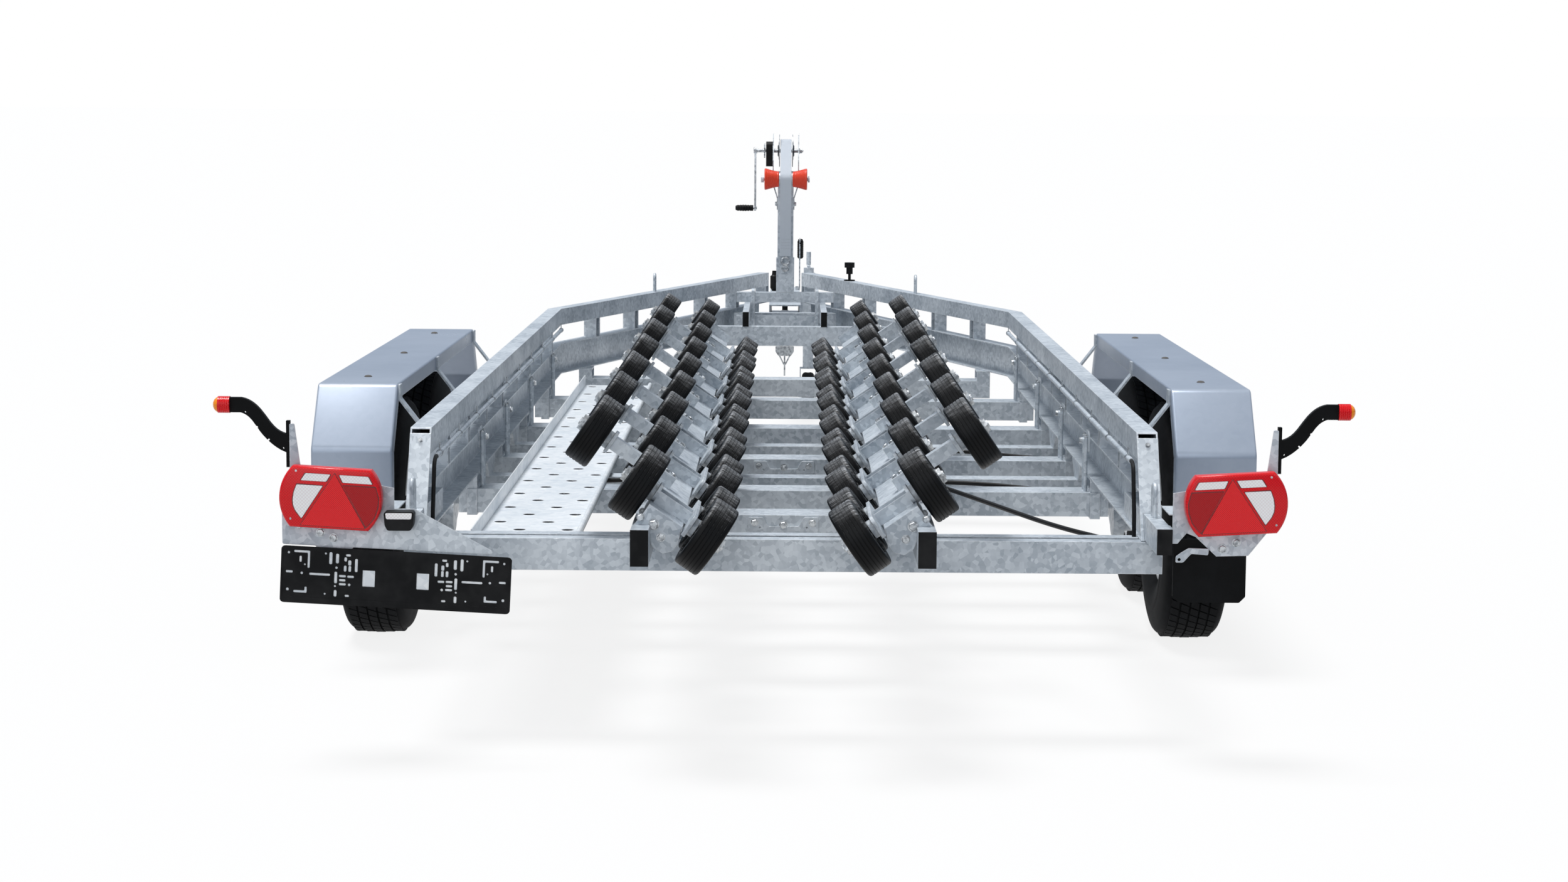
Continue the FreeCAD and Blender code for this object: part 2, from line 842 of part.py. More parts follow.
def beam_clamp(station):
    """U-bolt and strap that hold a crossmember under the right side beam."""
    rear = station - crossmember_depth / 2
    front = station + crossmember_depth / 2
    low = crossmember_top - crossmember_height
    wrap = clamp_strap_thickness
    strap = box(beam_inner_x, beam_inner_x + clamp_strap_width, rear - wrap, front + wrap,
                low - wrap, crossmember_top)
    strap = strap.cut(box(beam_inner_x - past, beam_inner_x + clamp_strap_width + past, rear, front,
                          low, crossmember_top + past))
    bar_x = beam_inner_x - clamp_plate_thickness - clamp_bar_radius
    saddle_low = beam_bottom + lower_chord_height - clamp_saddle_drop
    saddle_high = beam_bottom + lower_chord_height + clamp_saddle_rise
    width = clamp_half_spread + clamp_bar_radius + clamp_saddle_margin
    saddle = prism(
        [
            (station - width, saddle_low),
            (station + width, saddle_low),
            (station + width, saddle_high - clamp_saddle_chamfer),
            (station + width - 2 * clamp_saddle_chamfer, saddle_high),
            (station - width + 2 * clamp_saddle_chamfer, saddle_high),
            (station - width, saddle_high - clamp_saddle_chamfer),
        ],
        "x",
        beam_inner_x - clamp_plate_thickness,
        beam_inner_x,
        clamp_saddle_corner,
    )
    bars = [
        rod(Vec(bar_x, station + way * clamp_half_spread, crossmember_top),
            Vec(bar_x, station + way * clamp_half_spread, saddle_high - clamp_bar_stop), clamp_bar_radius)
        for way in (-1, 1)
    ]
    bolt_z = (saddle_low + saddle_high) / 2
    bolt = rod(Vec(beam_inner_x - clamp_plate_thickness, station, bolt_z),
               Vec(beam_inner_x - clamp_plate_thickness - clamp_bolt_length, station, bolt_z),
               clamp_bolt_radius)
    return [strap, fused(saddle, bolt), *bars]


def make_beam_fittings():
    """Clamps of the crossmembers, and the conduits of the lamp cables along the side beams."""
    pieces = []
    for station in crossmember_stations:
        if station < bend_station:
            pieces.extend(beam_clamp(station))
    conduit_z = beam_top - upper_chord_height - conduit_drop
    conduit_x = beam_inner_x - conduit_radius
    conduit_front = bend_station - 2 * beam_width
    conduit = rod(Vec(conduit_x, conduit_rear_station, conduit_z),
                  Vec(conduit_x, conduit_front, conduit_z), conduit_radius)
    pieces.append(conduit)
    for side in sides.values():
        keep("beam_fittings", *[on_side(piece, side) for piece in pieces])


def rounded_path(points):
    """Wire of straight runs joined by arcs as large as the runs allow."""
    edges = []
    start = points[0]
    for i in range(1, len(points) - 1):
        corner = points[i]
        back = points[i - 1] - corner
        ahead = points[i + 1] - corner
        reach = 0.45 * min(back.Length, ahead.Length)
        back.normalize()
        ahead.normalize()
        half_turn = (math.pi - back.getAngle(ahead)) / 2
        radius = reach / math.tan(half_turn)
        centre_way = (back + ahead).normalize()
        middle = corner + centre_way * (radius / math.cos(half_turn) - radius)
        arc_start = corner + back * reach
        edges.append(Part.LineSegment(start, arc_start).toShape())
        start = corner + ahead * reach
        edges.append(Part.Arc(arc_start, middle, start).toShape())
    edges.append(Part.LineSegment(start, points[-1]).toShape())
    return Part.Wire(edges)


def cable(points, radius):
    """Round cable along a path through points."""
    way = points[1] - points[0]
    section = Part.Wire(Part.makeCircle(radius, points[0], way))
    return rounded_path(points).makePipeShell([section], True, False)


def make_lamp_cables():
    """Cables from the conduits down to the rear crossbeam, and the one that crosses to the cradle."""
    x = beam_inner_x - conduit_radius
    top = beam_top - upper_chord_height - conduit_drop
    seat = rear_crossbeam_depth - rear_crossbeam_slot
    drop = cable(
        [
            Vec(x, conduit_rear_station, top),
            Vec(x, seat + lamp_cable_step, top),
            Vec(x, seat + 0.65 * lamp_cable_step, top - 1.25 * lamp_cable_step),
            Vec(x, seat + 0.4 * lamp_cable_step, (top + beam_bottom) / 2),
            Vec(x, seat, beam_bottom + lamp_cable_step),
            Vec(x, seat, beam_bottom),
        ],
        lamp_cable_radius,
    )
    for side in sides.values():
        keep("cables", on_side(drop, side))
    level = crossmember_top + cable_radius + seat_gap
    first = crossmember_stations[0]
    start_x = beam_inner_x - crossing_inset
    crossing = cable(
        [
            Vec(start_x, rear_crossbeam_depth, level + crossing_lift),
            Vec(start_x, rear_crossbeam_depth + crossing_lead, level + crossing_lift),
            Vec(start_x - crossing_first_drift, 0.35 * first, level + crossing_lift / 2),
            Vec(start_x - crossing_second_drift, 0.68 * first, level + crossing_lift / 4),
            Vec(roller_beam_x + crossing_far_gap, first - crossmember_depth / 2, level),
            Vec(roller_beam_x + crossing_near_gap, first + 0.7 * crossmember_depth, level),
            Vec(roller_beam_x, first + 1.6 * crossmember_depth, level),
            Vec(roller_beam_x, first + 1.6 * crossmember_depth, beam_bottom),
        ],
        cable_radius,
    )
    keep("cables", crossing)


def make_brake_cables():
    """Cable from each axle tube's abutment, behind the tube and out to the right brake plate."""
    plate_x = wheel_centre_x + hub_offset - brake_drum_width - brake_plate_gap
    level = axle_tube_top - cable_radius
    for station in axle_stations.values():
        tube_y = station + swing_arm_length
        beside = tube_y - axle_tube_size / 2 - cable_tube_gap - cable_radius
        out = beside - cable_sweep
        arrival = Vec(plate_x, station - 2 * stub_radius - cable_arrival_gap,
                      tyre_radius + 2 * stub_radius + cable_dip)
        points = [
            Vec(cable_start_x, beside, level),
            Vec(chassis_half_width * 0.36, beside, level),
            Vec(chassis_half_width * 0.56, beside - cable_sweep * 0.08, level),
            Vec(chassis_half_width * 0.70, beside - cable_sweep * 0.42, level),
            Vec(chassis_half_width * 0.84, out, level),
            Vec(chassis_half_width * 0.98, out - cable_dip, level - cable_dip / 3),
            Vec(arrival.x - cable_end_run, arrival.y, arrival.z),
            arrival,
        ]
        line = cable(points, cable_radius)
        abutment = box(cable_start_x - abutment_thickness, cable_start_x,
                       tube_y - axle_tube_size / 2 - 2 * cable_tube_gap - 2 * cable_radius,
                       tube_y - axle_tube_size / 2, level - abutment_drop,
                       level + abutment_rise)
        for side in sides.values():
            keep("cables", on_side(fused(line, abutment), side))


def make_rails():
    """Two rails ahead of the front crossmember that carry the winch carriage."""
    start_station = front_crossmember_station
    for side in sides.values():
        bar = hollow_bar(rail_front_station - start_station, rail_width, rail_height, chord_wall)
        start = Vec(side * rail_half_spacing, start_station, rail_bottom)
        cap = box(start.x - rail_width / 2, start.x + rail_width / 2, start_station - cap_thickness,
                  start_station, rail_bottom, rail_top)
        keep("winch_rails", placed(bar, frame_at(start, Vec(0, 1, 0), Vec(0, 0, 1))))
        keep("end_caps", cap)


def make_drawbar():
    """Central drawbar between the legs, from the foremost crossmember to the coupling."""
    start_station = rail_crossmember_station + crossmember_depth
    bar = hollow_bar(
        drawbar_front_station - start_station, 2 * drawbar_half_width, drawbar_height, drawbar_wall
    )
    bar = placed(bar, frame_at(Vec(0, start_station, beam_bottom), Vec(0, 1, 0), Vec(0, 0, 1)))
    plate_front = legs_meet_station
    plate_rear = plate_front - gusset_length
    plate = prism(
        [
            (-leg_inner_x(plate_rear), plate_rear),
            (leg_inner_x(plate_rear), plate_rear),
            (drawbar_half_width, plate_front),
            (-drawbar_half_width, plate_front),
        ],
        "z",
        beam_bottom - drawbar_wall,
        beam_bottom,
    )
    keep("drawbar", fused(bar, plate))


def make_coupling():
    """Overrun coupling: housing under the drawbar, gaiter, and the ball head with its handle."""
    axis_z = coupling_axis_z
    rear = drawbar_front_station - coupling_housing_length / 2
    front = drawbar_front_station + coupling_housing_length / 2
    half = coupling_tube_radius + housing_margin
    housing = prism(
        [
            (rear + housing_nose_run, axis_z - half),
            (front, axis_z - half),
            (front, axis_z + half),
            (rear, axis_z + half),
            (rear, axis_z + half - housing_heel),
        ],
        "x",
        -half,
        half,
    )
    flange = box(-drawbar_half_width, drawbar_half_width, rear, drawbar_front_station,
                 axis_z + half, beam_bottom)
    keep("coupling_housing", fused(housing, flange))
    step = gaiter_length / gaiter_folds
    profile = [(0, coupling_tube_radius - coupling_core_step)]
    for i in range(gaiter_folds):
        profile.append((i * step, half - gaiter_crest_inset))
        profile.append(((i + 0.5) * step, coupling_tube_radius + gaiter_root_rise))
    profile.append((gaiter_length, half - gaiter_crest_inset))
    profile.append((gaiter_length, coupling_tube_radius - coupling_core_step))
    keep("gaiter", revolved(profile, Vec(0, front, axis_z), Vec(0, 1, 0)))
    head_start = front + gaiter_length
    head_end = head_start + coupling_head_length
    socket_y = head_end - ball_radius - head_end_wall
    head = prism(
        [
            (-coupling_tube_radius, head_start),
            (coupling_tube_radius, head_start),
            (coupling_tube_radius + head_cheek_swell, socket_y - head_cheek_lead),
            (coupling_tube_radius + head_nose_swell, head_end),
            (-coupling_tube_radius - head_nose_swell, head_end),
            (-coupling_tube_radius - head_cheek_swell, socket_y - head_cheek_lead),
        ],
        "z",
        axis_z - half,
        axis_z + head_rise,
    )
    socket_radius = ball_radius + ball_clearance
    socket_floor = axis_z - half - past
    socket_centre = Vec(0, socket_y, axis_z - half + socket_depth)
    socket = rod(Vec(0, socket_y, socket_floor), socket_centre, socket_radius)
    dome = Part.makeSphere(socket_radius, socket_centre)
    core = rod(Vec(0, front, axis_z), Vec(0, head_start, axis_z),
               coupling_tube_radius - coupling_core_step - seat_gap)
    handle = folded_strip(
        [
            (socket_y - hitch_handle_foot, axis_z + head_rise),
            (socket_y - hitch_handle_knee, axis_z + hitch_handle_knee_rise),
            (head_start - hitch_handle_end, axis_z + hitch_handle_end_rise),
        ],
        hitch_handle_thickness,
        "x",
        -hitch_handle_half_width,
        hitch_handle_half_width,
    )
    head = head.cut(socket).cut(dome)
    keep("coupling_head", fused(head, core, handle))
    return socket_y, axis_z - half, socket_radius


def cradle_frame(station):
    """Local frame of the right cradle: X up the slope, Z square to it, origin at a roller."""
    slope = math.radians(cradle_slope)
    origin = Vec(inner_roller_x, station, inner_roller_z)
    return frame_at(origin, Vec(math.cos(slope), 0, math.sin(slope)),
                    Vec(-math.sin(slope), 0, math.cos(slope)))


def make_roller():
    """Rubber hull roller about local X, with its hub sunk on the uphill side."""
    half = roller_width / 2
    bore = roller_axle_radius + bearing_clearance
    floor = half - roller_recess
    profile = [
        (-half, bore),
        (-half, roller_radius - roller_edge),
        (roller_edge - half, roller_radius),
        (half - roller_edge, roller_radius),
        (half, roller_radius - roller_edge),
        (half, roller_rim_radius),
        (floor, roller_rim_radius - roller_recess / 2),
        (floor, hub_radius),
        (half, hub_radius),
        (half, bore),
    ]
    return revolved(profile, Vec(0, 0, 0), Vec(1, 0, 0))


def at_offset(shape, station, offset, along=0.0):
    """A shape of the cradle frame at a distance up the slope and along the trailer."""
    local = FreeCAD.Placement(Vec(offset, along, 0), FreeCAD.Rotation())
    return placed(placed(shape, local), cradle_frame(station))


def arm_channel(start, end):
    """Arm folded as a channel with its flanges up and a long slot in its web."""
    half = arm_width / 2
    low = -arm_height / 2
    outer = box(start, end, -half, half, low, -low)
    inner = box(start - past, end + past, arm_wall - half, half - arm_wall, low + arm_wall, arm_height)
    middle = (start + end) / 2
    reach = arm_slot_length / 2
    slot = prism(
        [
            (middle - reach, -arm_slot_width / 2),
            (middle + reach, -arm_slot_width / 2),
            (middle + reach, arm_slot_width / 2),
            (middle - reach, arm_slot_width / 2),
        ],
        "z",
        low - past,
        low + arm_wall + past,
        arm_slot_width / 2.1,
    )
    return outer.cut(inner).cut(slot)


def yoke(offset, half_length, hubs, hub_way, bottom=-yoke_height / 2):
    """Plate square to the slope, with a hub, an axle and a nut for each roller it carries."""
    outline = [
        (-half_length, bottom),
        (half_length, bottom),
        (half_length, yoke_height / 2),
        (-half_length, yoke_height / 2),
    ]
    low = offset
    high = offset + yoke_thickness
    parts = [prism(outline, "x", low, high, yoke_corner)]
    face = high if hub_way > 0 else low
    way = Vec(hub_way, 0, 0)
    for along in hubs:
        start = Vec(face, along, 0)
        roller_side = start + way * yoke_running_gap
        nut_side = roller_side + way * (roller_width + slide_gap)
        parts.append(rod(start, roller_side - way * slide_gap, hub_radius))
        parts.append(rod(start, nut_side, roller_axle_radius))
        parts.append(rod(nut_side, nut_side + way * roller_nut_height, roller_nut_radius))
    return parts


def twin_arm():
    """Channel with the rocker of an inner pair at its foot and a middle roller at its head."""
    foot = roller_width / 2 + yoke_running_gap
    head = middle_roller_offset - roller_width / 2 - yoke_running_gap - yoke_thickness
    lower = yoke(foot, pair_half_spacing + yoke_height / 2,
                 [-pair_half_spacing, pair_half_spacing], -1)
    upper = yoke(head, arm_width / 2, [0.0], 1, -arm_height / 2)
    return fused(arm_channel(foot + yoke_thickness, head), *lower, *upper)


def middle_arm():
    """Arm of the foremost middle roller, which has no inner pair."""
    head = middle_roller_offset - roller_width / 2 - yoke_running_gap - yoke_thickness
    upper = yoke(head, arm_width / 2, [0.0], 1, -arm_height / 2)
    return fused(arm_channel(channel_start, head), *upper)


def outer_arm():
    """Square tube that carries an outer roller between two middle ones."""
    head = outer_roller_offset - roller_width / 2 - yoke_running_gap - yoke_thickness
    tube = placed(
        hollow_bar(head - outer_arm_start, outer_arm_size, outer_arm_size, arm_wall),
        FreeCAD.Placement(Vec(outer_arm_start, 0, -arm_height / 2), FreeCAD.Rotation()),
    )
    return fused(tube, *yoke(head, yoke_height / 2, [0.0], 1))


def cradle_bracket(station):
    """Plate across the trailer that stands on a roller beam and holds the inclined channel."""
    slope = math.radians(cradle_slope)
    across = Vec(math.cos(slope), 0, math.sin(slope))
    square = Vec(-math.sin(slope), 0, math.cos(slope))
    centre = Vec(inner_roller_x, 0, inner_roller_z)
    level = -arm_height / 2 - channel_wall / 2

    def on_web(offset):
        """Point half way through the inclined web, at a distance up the slope."""
        point = centre + across * offset + square * level
        return (point.x, point.z)

    low = on_web(channel_start + channel_wall / 2)
    high = on_web(channel_end - channel_wall / 2)
    rest = beam_bottom + roller_beam_height
    beam_inner = roller_beam_x - roller_beam_width / 2
    beam_outer = roller_beam_x + roller_beam_width / 2
    lobe = rest - bracket_lobe_drop
    outline = [
        low,
        (low[0] + bracket_corner, lobe + bracket_lobe_side),
        (low[0] + 3 * bracket_corner, lobe + bracket_lobe_shoulder),
        (low[0] + bracket_lobe_run, lobe),
        (beam_inner - bracket_corner, lobe + bracket_lobe_end),
        (beam_inner, lobe + bracket_step),
        (beam_inner, rest),
        (beam_outer - bracket_seat_inset, rest),
        high,
    ]
    half = bracket_thickness / 2
    return prism(outline, "y", station - half, station + half)


def cradle_channel():
    """Inclined channel under the arms, with its brackets on the roller beam."""
    top = -arm_height / 2
    low = top - channel_flange
    length = cradle_front_station - cradle_rear_station
    outer = box(channel_start, channel_end, 0, length, low, top)
    inner = box(channel_start + channel_wall, channel_end - channel_wall, -past, length + past,
                low - past, top - channel_wall)
    channel = placed(outer.cut(inner), cradle_frame(cradle_rear_station))
    ends = [cradle_rear_station + bracket_thickness / 2]
    return fused(channel, *[cradle_bracket(station) for station in ends + roller_stations])


def make_cradle():
    """Roller beams, channels, arms and the three rows of hull rollers on each side."""
    channel = cradle_channel()
    roller = make_roller()
    bottom = beam_bottom
    beam_length = front_crossmember_station - roller_beam_rear_station
    beam = placed(
        hollow_bar(beam_length, roller_beam_width, roller_beam_height, chord_wall),
        frame_at(Vec(roller_beam_x, roller_beam_rear_station, bottom), Vec(0, 1, 0), Vec(0, 0, 1)),
    )
    cap = box(roller_beam_x - roller_beam_width / 2, roller_beam_x + roller_beam_width / 2,
              overall_rear_station, roller_beam_rear_station, bottom, bottom + roller_beam_height)
    arms = []
    rows = {"inner": [], "middle": [], "outer": []}
    downhill = roller.mirror(Vec(0, 0, 0), Vec(1, 0, 0))
    for i, station in enumerate(roller_stations):
        rows["middle"].append(at_offset(roller, station, middle_roller_offset))
        if i < inner_pair_count:
            arms.append(at_offset(twin_arm(), station, 0))
            for way in (-1, 1):
                rows["inner"].append(at_offset(downhill, station, 0, way * pair_half_spacing))
        else:
            arms.append(at_offset(middle_arm(), station, 0))
        if i < outer_roller_count:
            between = station + roller_pitch / 2
            arms.append(at_offset(outer_arm(), between, 0))
            rows["outer"].append(at_offset(roller, between, outer_roller_offset))
    for side in sides.values():
        keep("roller_beams", on_side(beam, side))
        keep("end_caps", on_side(cap, side))
        keep("cradle_channels", on_side(channel, side))
        keep("roller_arms", *[on_side(arm, side) for arm in arms])
        for row, rollers in rows.items():
            keep(row + "_rollers", *[on_side(one, side) for one in rollers])


def tyre_profile():
    """Half section of a tyre, as distances across and radii from the axle."""
    half = tyre_width / 2
    depth = tyre_radius - tyre_bead_radius
    return [
        (-half * bead_share, tyre_bead_radius),
        (-half * 0.95, tyre_bead_radius + depth * 0.25),
        (-half, tyre_bead_radius + depth * 0.50),
        (-half * 0.93, tyre_bead_radius + depth * 0.80),
        (-half * 0.76, tyre_radius - tyre_shoulder),
        (-half * 0.60, tyre_radius),
        (half * 0.60, tyre_radius),
        (half * 0.76, tyre_radius - tyre_shoulder),
        (half * 0.93, tyre_bead_radius + depth * 0.80),
        (half, tyre_bead_radius + depth * 0.50),
        (half * 0.95, tyre_bead_radius + depth * 0.25),
        (half * bead_share, tyre_bead_radius),
    ]


def make_wheel(station):
    """Right wheel: tyre, pressed steel rim, and the brake drum with its hub."""
    centre = Vec(wheel_centre_x, station, tyre_radius)
    across = Vec(1, 0, 0)
    tyre = revolved(tyre_profile(), centre, across)
    rim_radius = tyre_bead_radius - seat_gap
    barrel_half = tyre_width * bead_share / 2
    hub_bore = stub_radius + bearing_clearance
    disc_radius = rim_radius - rim_disc_inset
    rim = revolved(
        [
            (-barrel_half, rim_radius),
            (barrel_half, rim_radius),
            (barrel_half, rim_radius - rim_wall),
            (hub_offset + rim_dish_depth, rim_radius - rim_wall - rim_well_depth),
            (hub_offset + rim_dish_depth, disc_radius - rim_dish_land),
            (hub_offset + rim_wall, disc_radius - rim_dish_foot),
            (hub_offset + rim_wall, rim_bore_radius),
            (hub_offset, rim_bore_radius),
            (hub_offset, disc_radius - rim_dish_foot),
            (hub_offset + rim_slope_lead, disc_radius - rim_slope_drop),
            (hub_offset + rim_slope_back, rim_radius - rim_wall - rim_well_depth),
            (-barrel_half, rim_radius - rim_wall),
        ],
        centre,
        across,
    )
    for i in range(rim_hole_count):
        turn = math.radians(360 * i / rim_hole_count)
        hole_at = centre + Vec(0, math.cos(turn), math.sin(turn)) * (disc_radius - rim_hole_inset)
        rim = rim.cut(rod(hole_at, hole_at + Vec(tyre_width / 2, 0, 0), rim_hole_radius))
    drum_start = hub_offset - seat_gap - brake_drum_width
    drum = revolved(
        [
            (drum_start, brake_drum_radius - drum_wall),
            (drum_start, brake_drum_radius),
            (hub_offset - drum_chamfer, brake_drum_radius),
            (hub_offset - seat_gap, brake_drum_radius - drum_shoulder),
            (hub_offset - seat_gap, drum_face_radius),
            (hub_offset + hub_nose_length, hub_nose_radius),
            (hub_offset + hub_nose_length, 0),
            (hub_offset + hub_nose_length - hub_nose_wall, 0),
            (hub_offset + hub_nose_length - hub_nose_wall, hub_bore),
            (hub_offset - hub_tail_length, hub_bore),
            (hub_offset - hub_tail_length, hub_tail_radius),
            (hub_offset - drum_web, hub_web_radius),
            (hub_offset - drum_web, brake_drum_radius - drum_wall),
        ],
        centre,
        across,
    )
    return tyre, [rim, drum]


def make_axle(station):
    """Rubber-sprung axle: square tube, trailing arms, brake plates and stub axles."""
    tube_y = station + swing_arm_length
    tube_z = axle_tube_z
    half = axle_tube_size / 2
    tube = placed(
        hollow_bar(2 * axle_tube_half_length, axle_tube_size, axle_tube_size, axle_tube_wall),
        frame_at(Vec(-axle_tube_half_length, tube_y, tube_z - half), Vec(1, 0, 0), Vec(0, 0, 1)),
    )
    arm_x = axle_tube_half_length
    tube_end = Vec(arm_x, tube_y, tube_z)
    hub_end = Vec(arm_x, station, tyre_radius)
    way = Vec(swing_arm_thickness, 0, 0)
    run = hub_end - tube_end
    square = Vec(0, -run.z, run.y).normalize() * swing_arm_eye_radius * 0.8
    web = Part.Face(
        Part.makePolygon(
            [tube_end + square, hub_end + square, hub_end - square, tube_end - square,
             tube_end + square]
        )
    ).extrude(way)
    eye_big = rod(tube_end, tube_end + way, swing_arm_eye_radius)
    eye_small = rod(hub_end, hub_end + way, swing_arm_eye_radius)
    plate_x = wheel_centre_x + hub_offset - brake_drum_width - brake_plate_gap
    plate_centre = Vec(plate_x, station, tyre_radius)
    brake_plate = rod(plate_centre, plate_centre + Vec(brake_plate_thickness, 0, 0),
                      brake_drum_radius + brake_plate_margin)
    boss = rod(hub_end + way, plate_centre, stub_radius + stub_boss_margin)
    stub = rod(hub_end, Vec(wheel_centre_x + hub_offset + rim_dish_depth, station, tyre_radius), stub_radius)
    arm = fused(web, eye_big, eye_small, brake_plate, boss, stub)
    return fused(tube, arm, mirrored(arm))


def make_axle_seats(station):
    """Folded seats that hang an axle tube under the side beams."""
    tube_y = station + swing_arm_length
    foot = 0.75 * axle_tube_size
    head = 1.5 * axle_tube_size
    wall = axle_tube_wall
    seat = prism(
        [
            (tube_y - foot, axle_tube_top),
            (tube_y + foot, axle_tube_top),
            (tube_y + head, beam_bottom),
            (tube_y - head, beam_bottom),
        ],
        "x",
        beam_inner_x,
        chassis_half_width,
    )
    pocket = prism(
        [
            (tube_y - foot + wall, axle_tube_top + wall),
            (tube_y + foot - wall, axle_tube_top + wall),
            (tube_y + head - 3 * wall, beam_bottom - wall),
            (tube_y - head + 3 * wall, beam_bottom - wall),
        ],
        "x",
        beam_inner_x + wall,
        chassis_half_width + past,
    )
    seat = seat.cut(pocket)
    return [seat, mirrored(seat)]


def make_running_gear():
    """Both axles with their seats and the four road wheels."""
    for place, station in axle_stations.items():
        keep("axle_" + place, make_axle(station))
        keep("axle_seats", *make_axle_seats(station))
        tyre, rim_parts = make_wheel(station)
        for name, side in sides.items():
            keep("tyre_" + place + "_" + name, on_side(tyre, side))
            keep("rim_" + place + "_" + name, *[on_side(part, side) for part in rim_parts])


def mudguard_chain():
    """Side view of a mudguard's outer face, from the rear skirt over to the front one."""
    knee = mudguard_top - mudguard_slant_drop
    return [
        (mudguard_rear_station, knee - mudguard_skirt),
        (mudguard_rear_station, knee),
        (mudguard_rear_station + mudguard_slant_run, mudguard_top),
        (mudguard_front_station - mudguard_slant_run, mudguard_top),
        (mudguard_front_station, knee),
        (mudguard_front_station, knee - mudguard_skirt),
    ]


def make_mudguards():
    """Folded sheet mudguards with lips, and the flat bars that hold them to the beams."""
    chain = mudguard_chain()[::-1]
    skin = folded_strip(chain, sheet_thickness, "x", mudguard_inner_x, mudguard_outer_x)
    inner_lip = folded_strip(chain, mudguard_lip, "x", mudguard_inner_x,
                             mudguard_inner_x + sheet_thickness)
    outer_lip = folded_strip(chain, mudguard_lip, "x", mudguard_outer_x - sheet_thickness,
                             mudguard_outer_x)
    guard = fused(skin, inner_lip, outer_lip)
    stays = []
    lip_low = mudguard_top - mudguard_lip
    foot_z = beam_bottom + lower_chord_height / 2
    middle = (axle_stations["rear"] + axle_stations["front"]) / 2
    for station in (mudguard_rear_station + mudguard_slant_run, middle,
                    mudguard_front_station - mudguard_slant_run - stay_width):
        chain_across = [
            (chassis_half_width, foot_z - stay_width),
            (chassis_half_width, foot_z),
            (mudguard_inner_x - stay_thickness, lip_low),
            (mudguard_inner_x - stay_thickness, mudguard_top - sheet_thickness),
        ]
        stays.append(
            folded_strip(chain_across[::-1], stay_thickness, "y", station, station + stay_width)
        )
    for side in sides.values():
        keep("mudguards", on_side(guard, side))
        keep("mudguard_stays", *[on_side(stay, side) for stay in stays])


def make_walkway():
    """Two walkway plates on the left with rows of grip slots and an upright outer edge."""
    joint = sheet_thickness
    sections = [
        (walkway_rear_station, walkway_split_station - joint),
        (walkway_split_station + joint, walkway_front_station),
    ]
    for start, end in sections:
        chain = [
            (walkway_outer_x, crossmember_top + walkway_flange),
            (walkway_outer_x, crossmember_top),
            (walkway_inner_x, crossmember_top),
            (walkway_inner_x, crossmember_top + walkway_bead),
        ]
        sheet = folded_strip(chain, sheet_thickness, "y", start, end)
        slots = []
        lane = walkway_width / (walkway_slot_rows + 0.5)
        count = int((end - start - slot_pitch) // slot_pitch)
        for row in range(walkway_slot_rows):
            x = walkway_outer_x + lane * (row + 0.75)
            for i in range(count):
                y = start + slot_pitch * (i + 0.75 + 0.5 * (row % 2))
                slots.append(
                    box(x - slot_length / 2, x + slot_length / 2, y - slot_width / 2,
                        y + slot_width / 2, crossmember_top - past,
                        crossmember_top + sheet_thickness + past)
                )
        keep("walkway", sheet.cut(Part.makeCompound(slots)))


def lamp_body():
    """Tail light with level edges and bulging sides, about the middle of its back."""
    half_h = lamp_height / 2
    edge = lamp_width / 2 - lamp_side_bulge
    corners = [Vec(edge, 0, -half_h), Vec(edge, 0, half_h), Vec(-edge, 0, half_h), Vec(-edge, 0, -half_h)]
    wire = Part.Wire([
        Part.Arc(corners[0], Vec(lamp_width / 2, 0, 0), corners[1]).toShape(),
        Part.LineSegment(corners[1], corners[2]).toShape(),
        Part.Arc(corners[2], Vec(-lamp_width / 2, 0, 0), corners[3]).toShape(),
        Part.LineSegment(corners[3], corners[0]).toShape(),
    ])
    body = Part.Face(wire).extrude(Vec(0, -lamp_depth, 0))
    front = [edge for edge in body.Edges if edge.BoundBox.YMax < past - lamp_depth]
    return body.makeFillet(lamp_edge_radius, front)


def smooth_edge(points):
    """Curve through points in the plane across the trailer."""
    curve = Part.BSplineCurve()
    curve.interpolate([Vec(x, 0, z) for x, z in points])
    return curve.toShape()


def marker_arm(foot_x, foot_z):
    """Flexible arm that bends out and up from a strip, with a holder for the lamp at its end."""
    rise = marker_lamp_z + marker_lamp_radius - marker_dome_step - foot_z
    run = marker_lamp_x - marker_lamp_length - foot_x
    neck = run - marker_holder_length
    low = [(0, 0.24 * rise), (0.32 * neck, 0.38 * rise), (0.58 * neck, 0.58 * rise),
           (0.84 * neck, 0.82 * rise), (neck, 0.88 * rise)]
    high = [(neck, 1.12 * rise), (0.74 * neck, 1.04 * rise), (0.52 * neck, 0.88 * rise),
            (0.26 * neck, 0.64 * rise), (0, 0.54 * rise)]
    corners = [(neck, 0.88 * rise), (run, 0.88 * rise), (run, 1.12 * rise), (neck, 1.12 * rise)]
    edges = [smooth_edge(low), smooth_edge(high)]
    for start, end in zip(corners, corners[1:]):
        edges.append(Part.LineSegment(Vec(start[0], 0, start[1]), Vec(end[0], 0, end[1])).toShape())
    edges.append(Part.LineSegment(Vec(0, 0, high[-1][1]), Vec(0, 0, low[0][1])).toShape())
    wire = Part.Wire(Part.__sortEdges__(edges))
    arm = Part.Face(wire).extrude(Vec(0, marker_arm_depth, 0))
    for x, z in low[:-1]:
        middle = Vec(x + marker_hole_across, -past, z + marker_hole_rise)
        arm = arm.cut(rod(middle, middle + Vec(0, marker_arm_depth + 2 * past, 0), marker_hole_radius))
    strip = box(-marker_strip_width, 0, 0, marker_arm_depth, 0, marker_strip_share * rise)
    return fused(arm, strip).translated(Vec(foot_x, light_plane_station, foot_z))


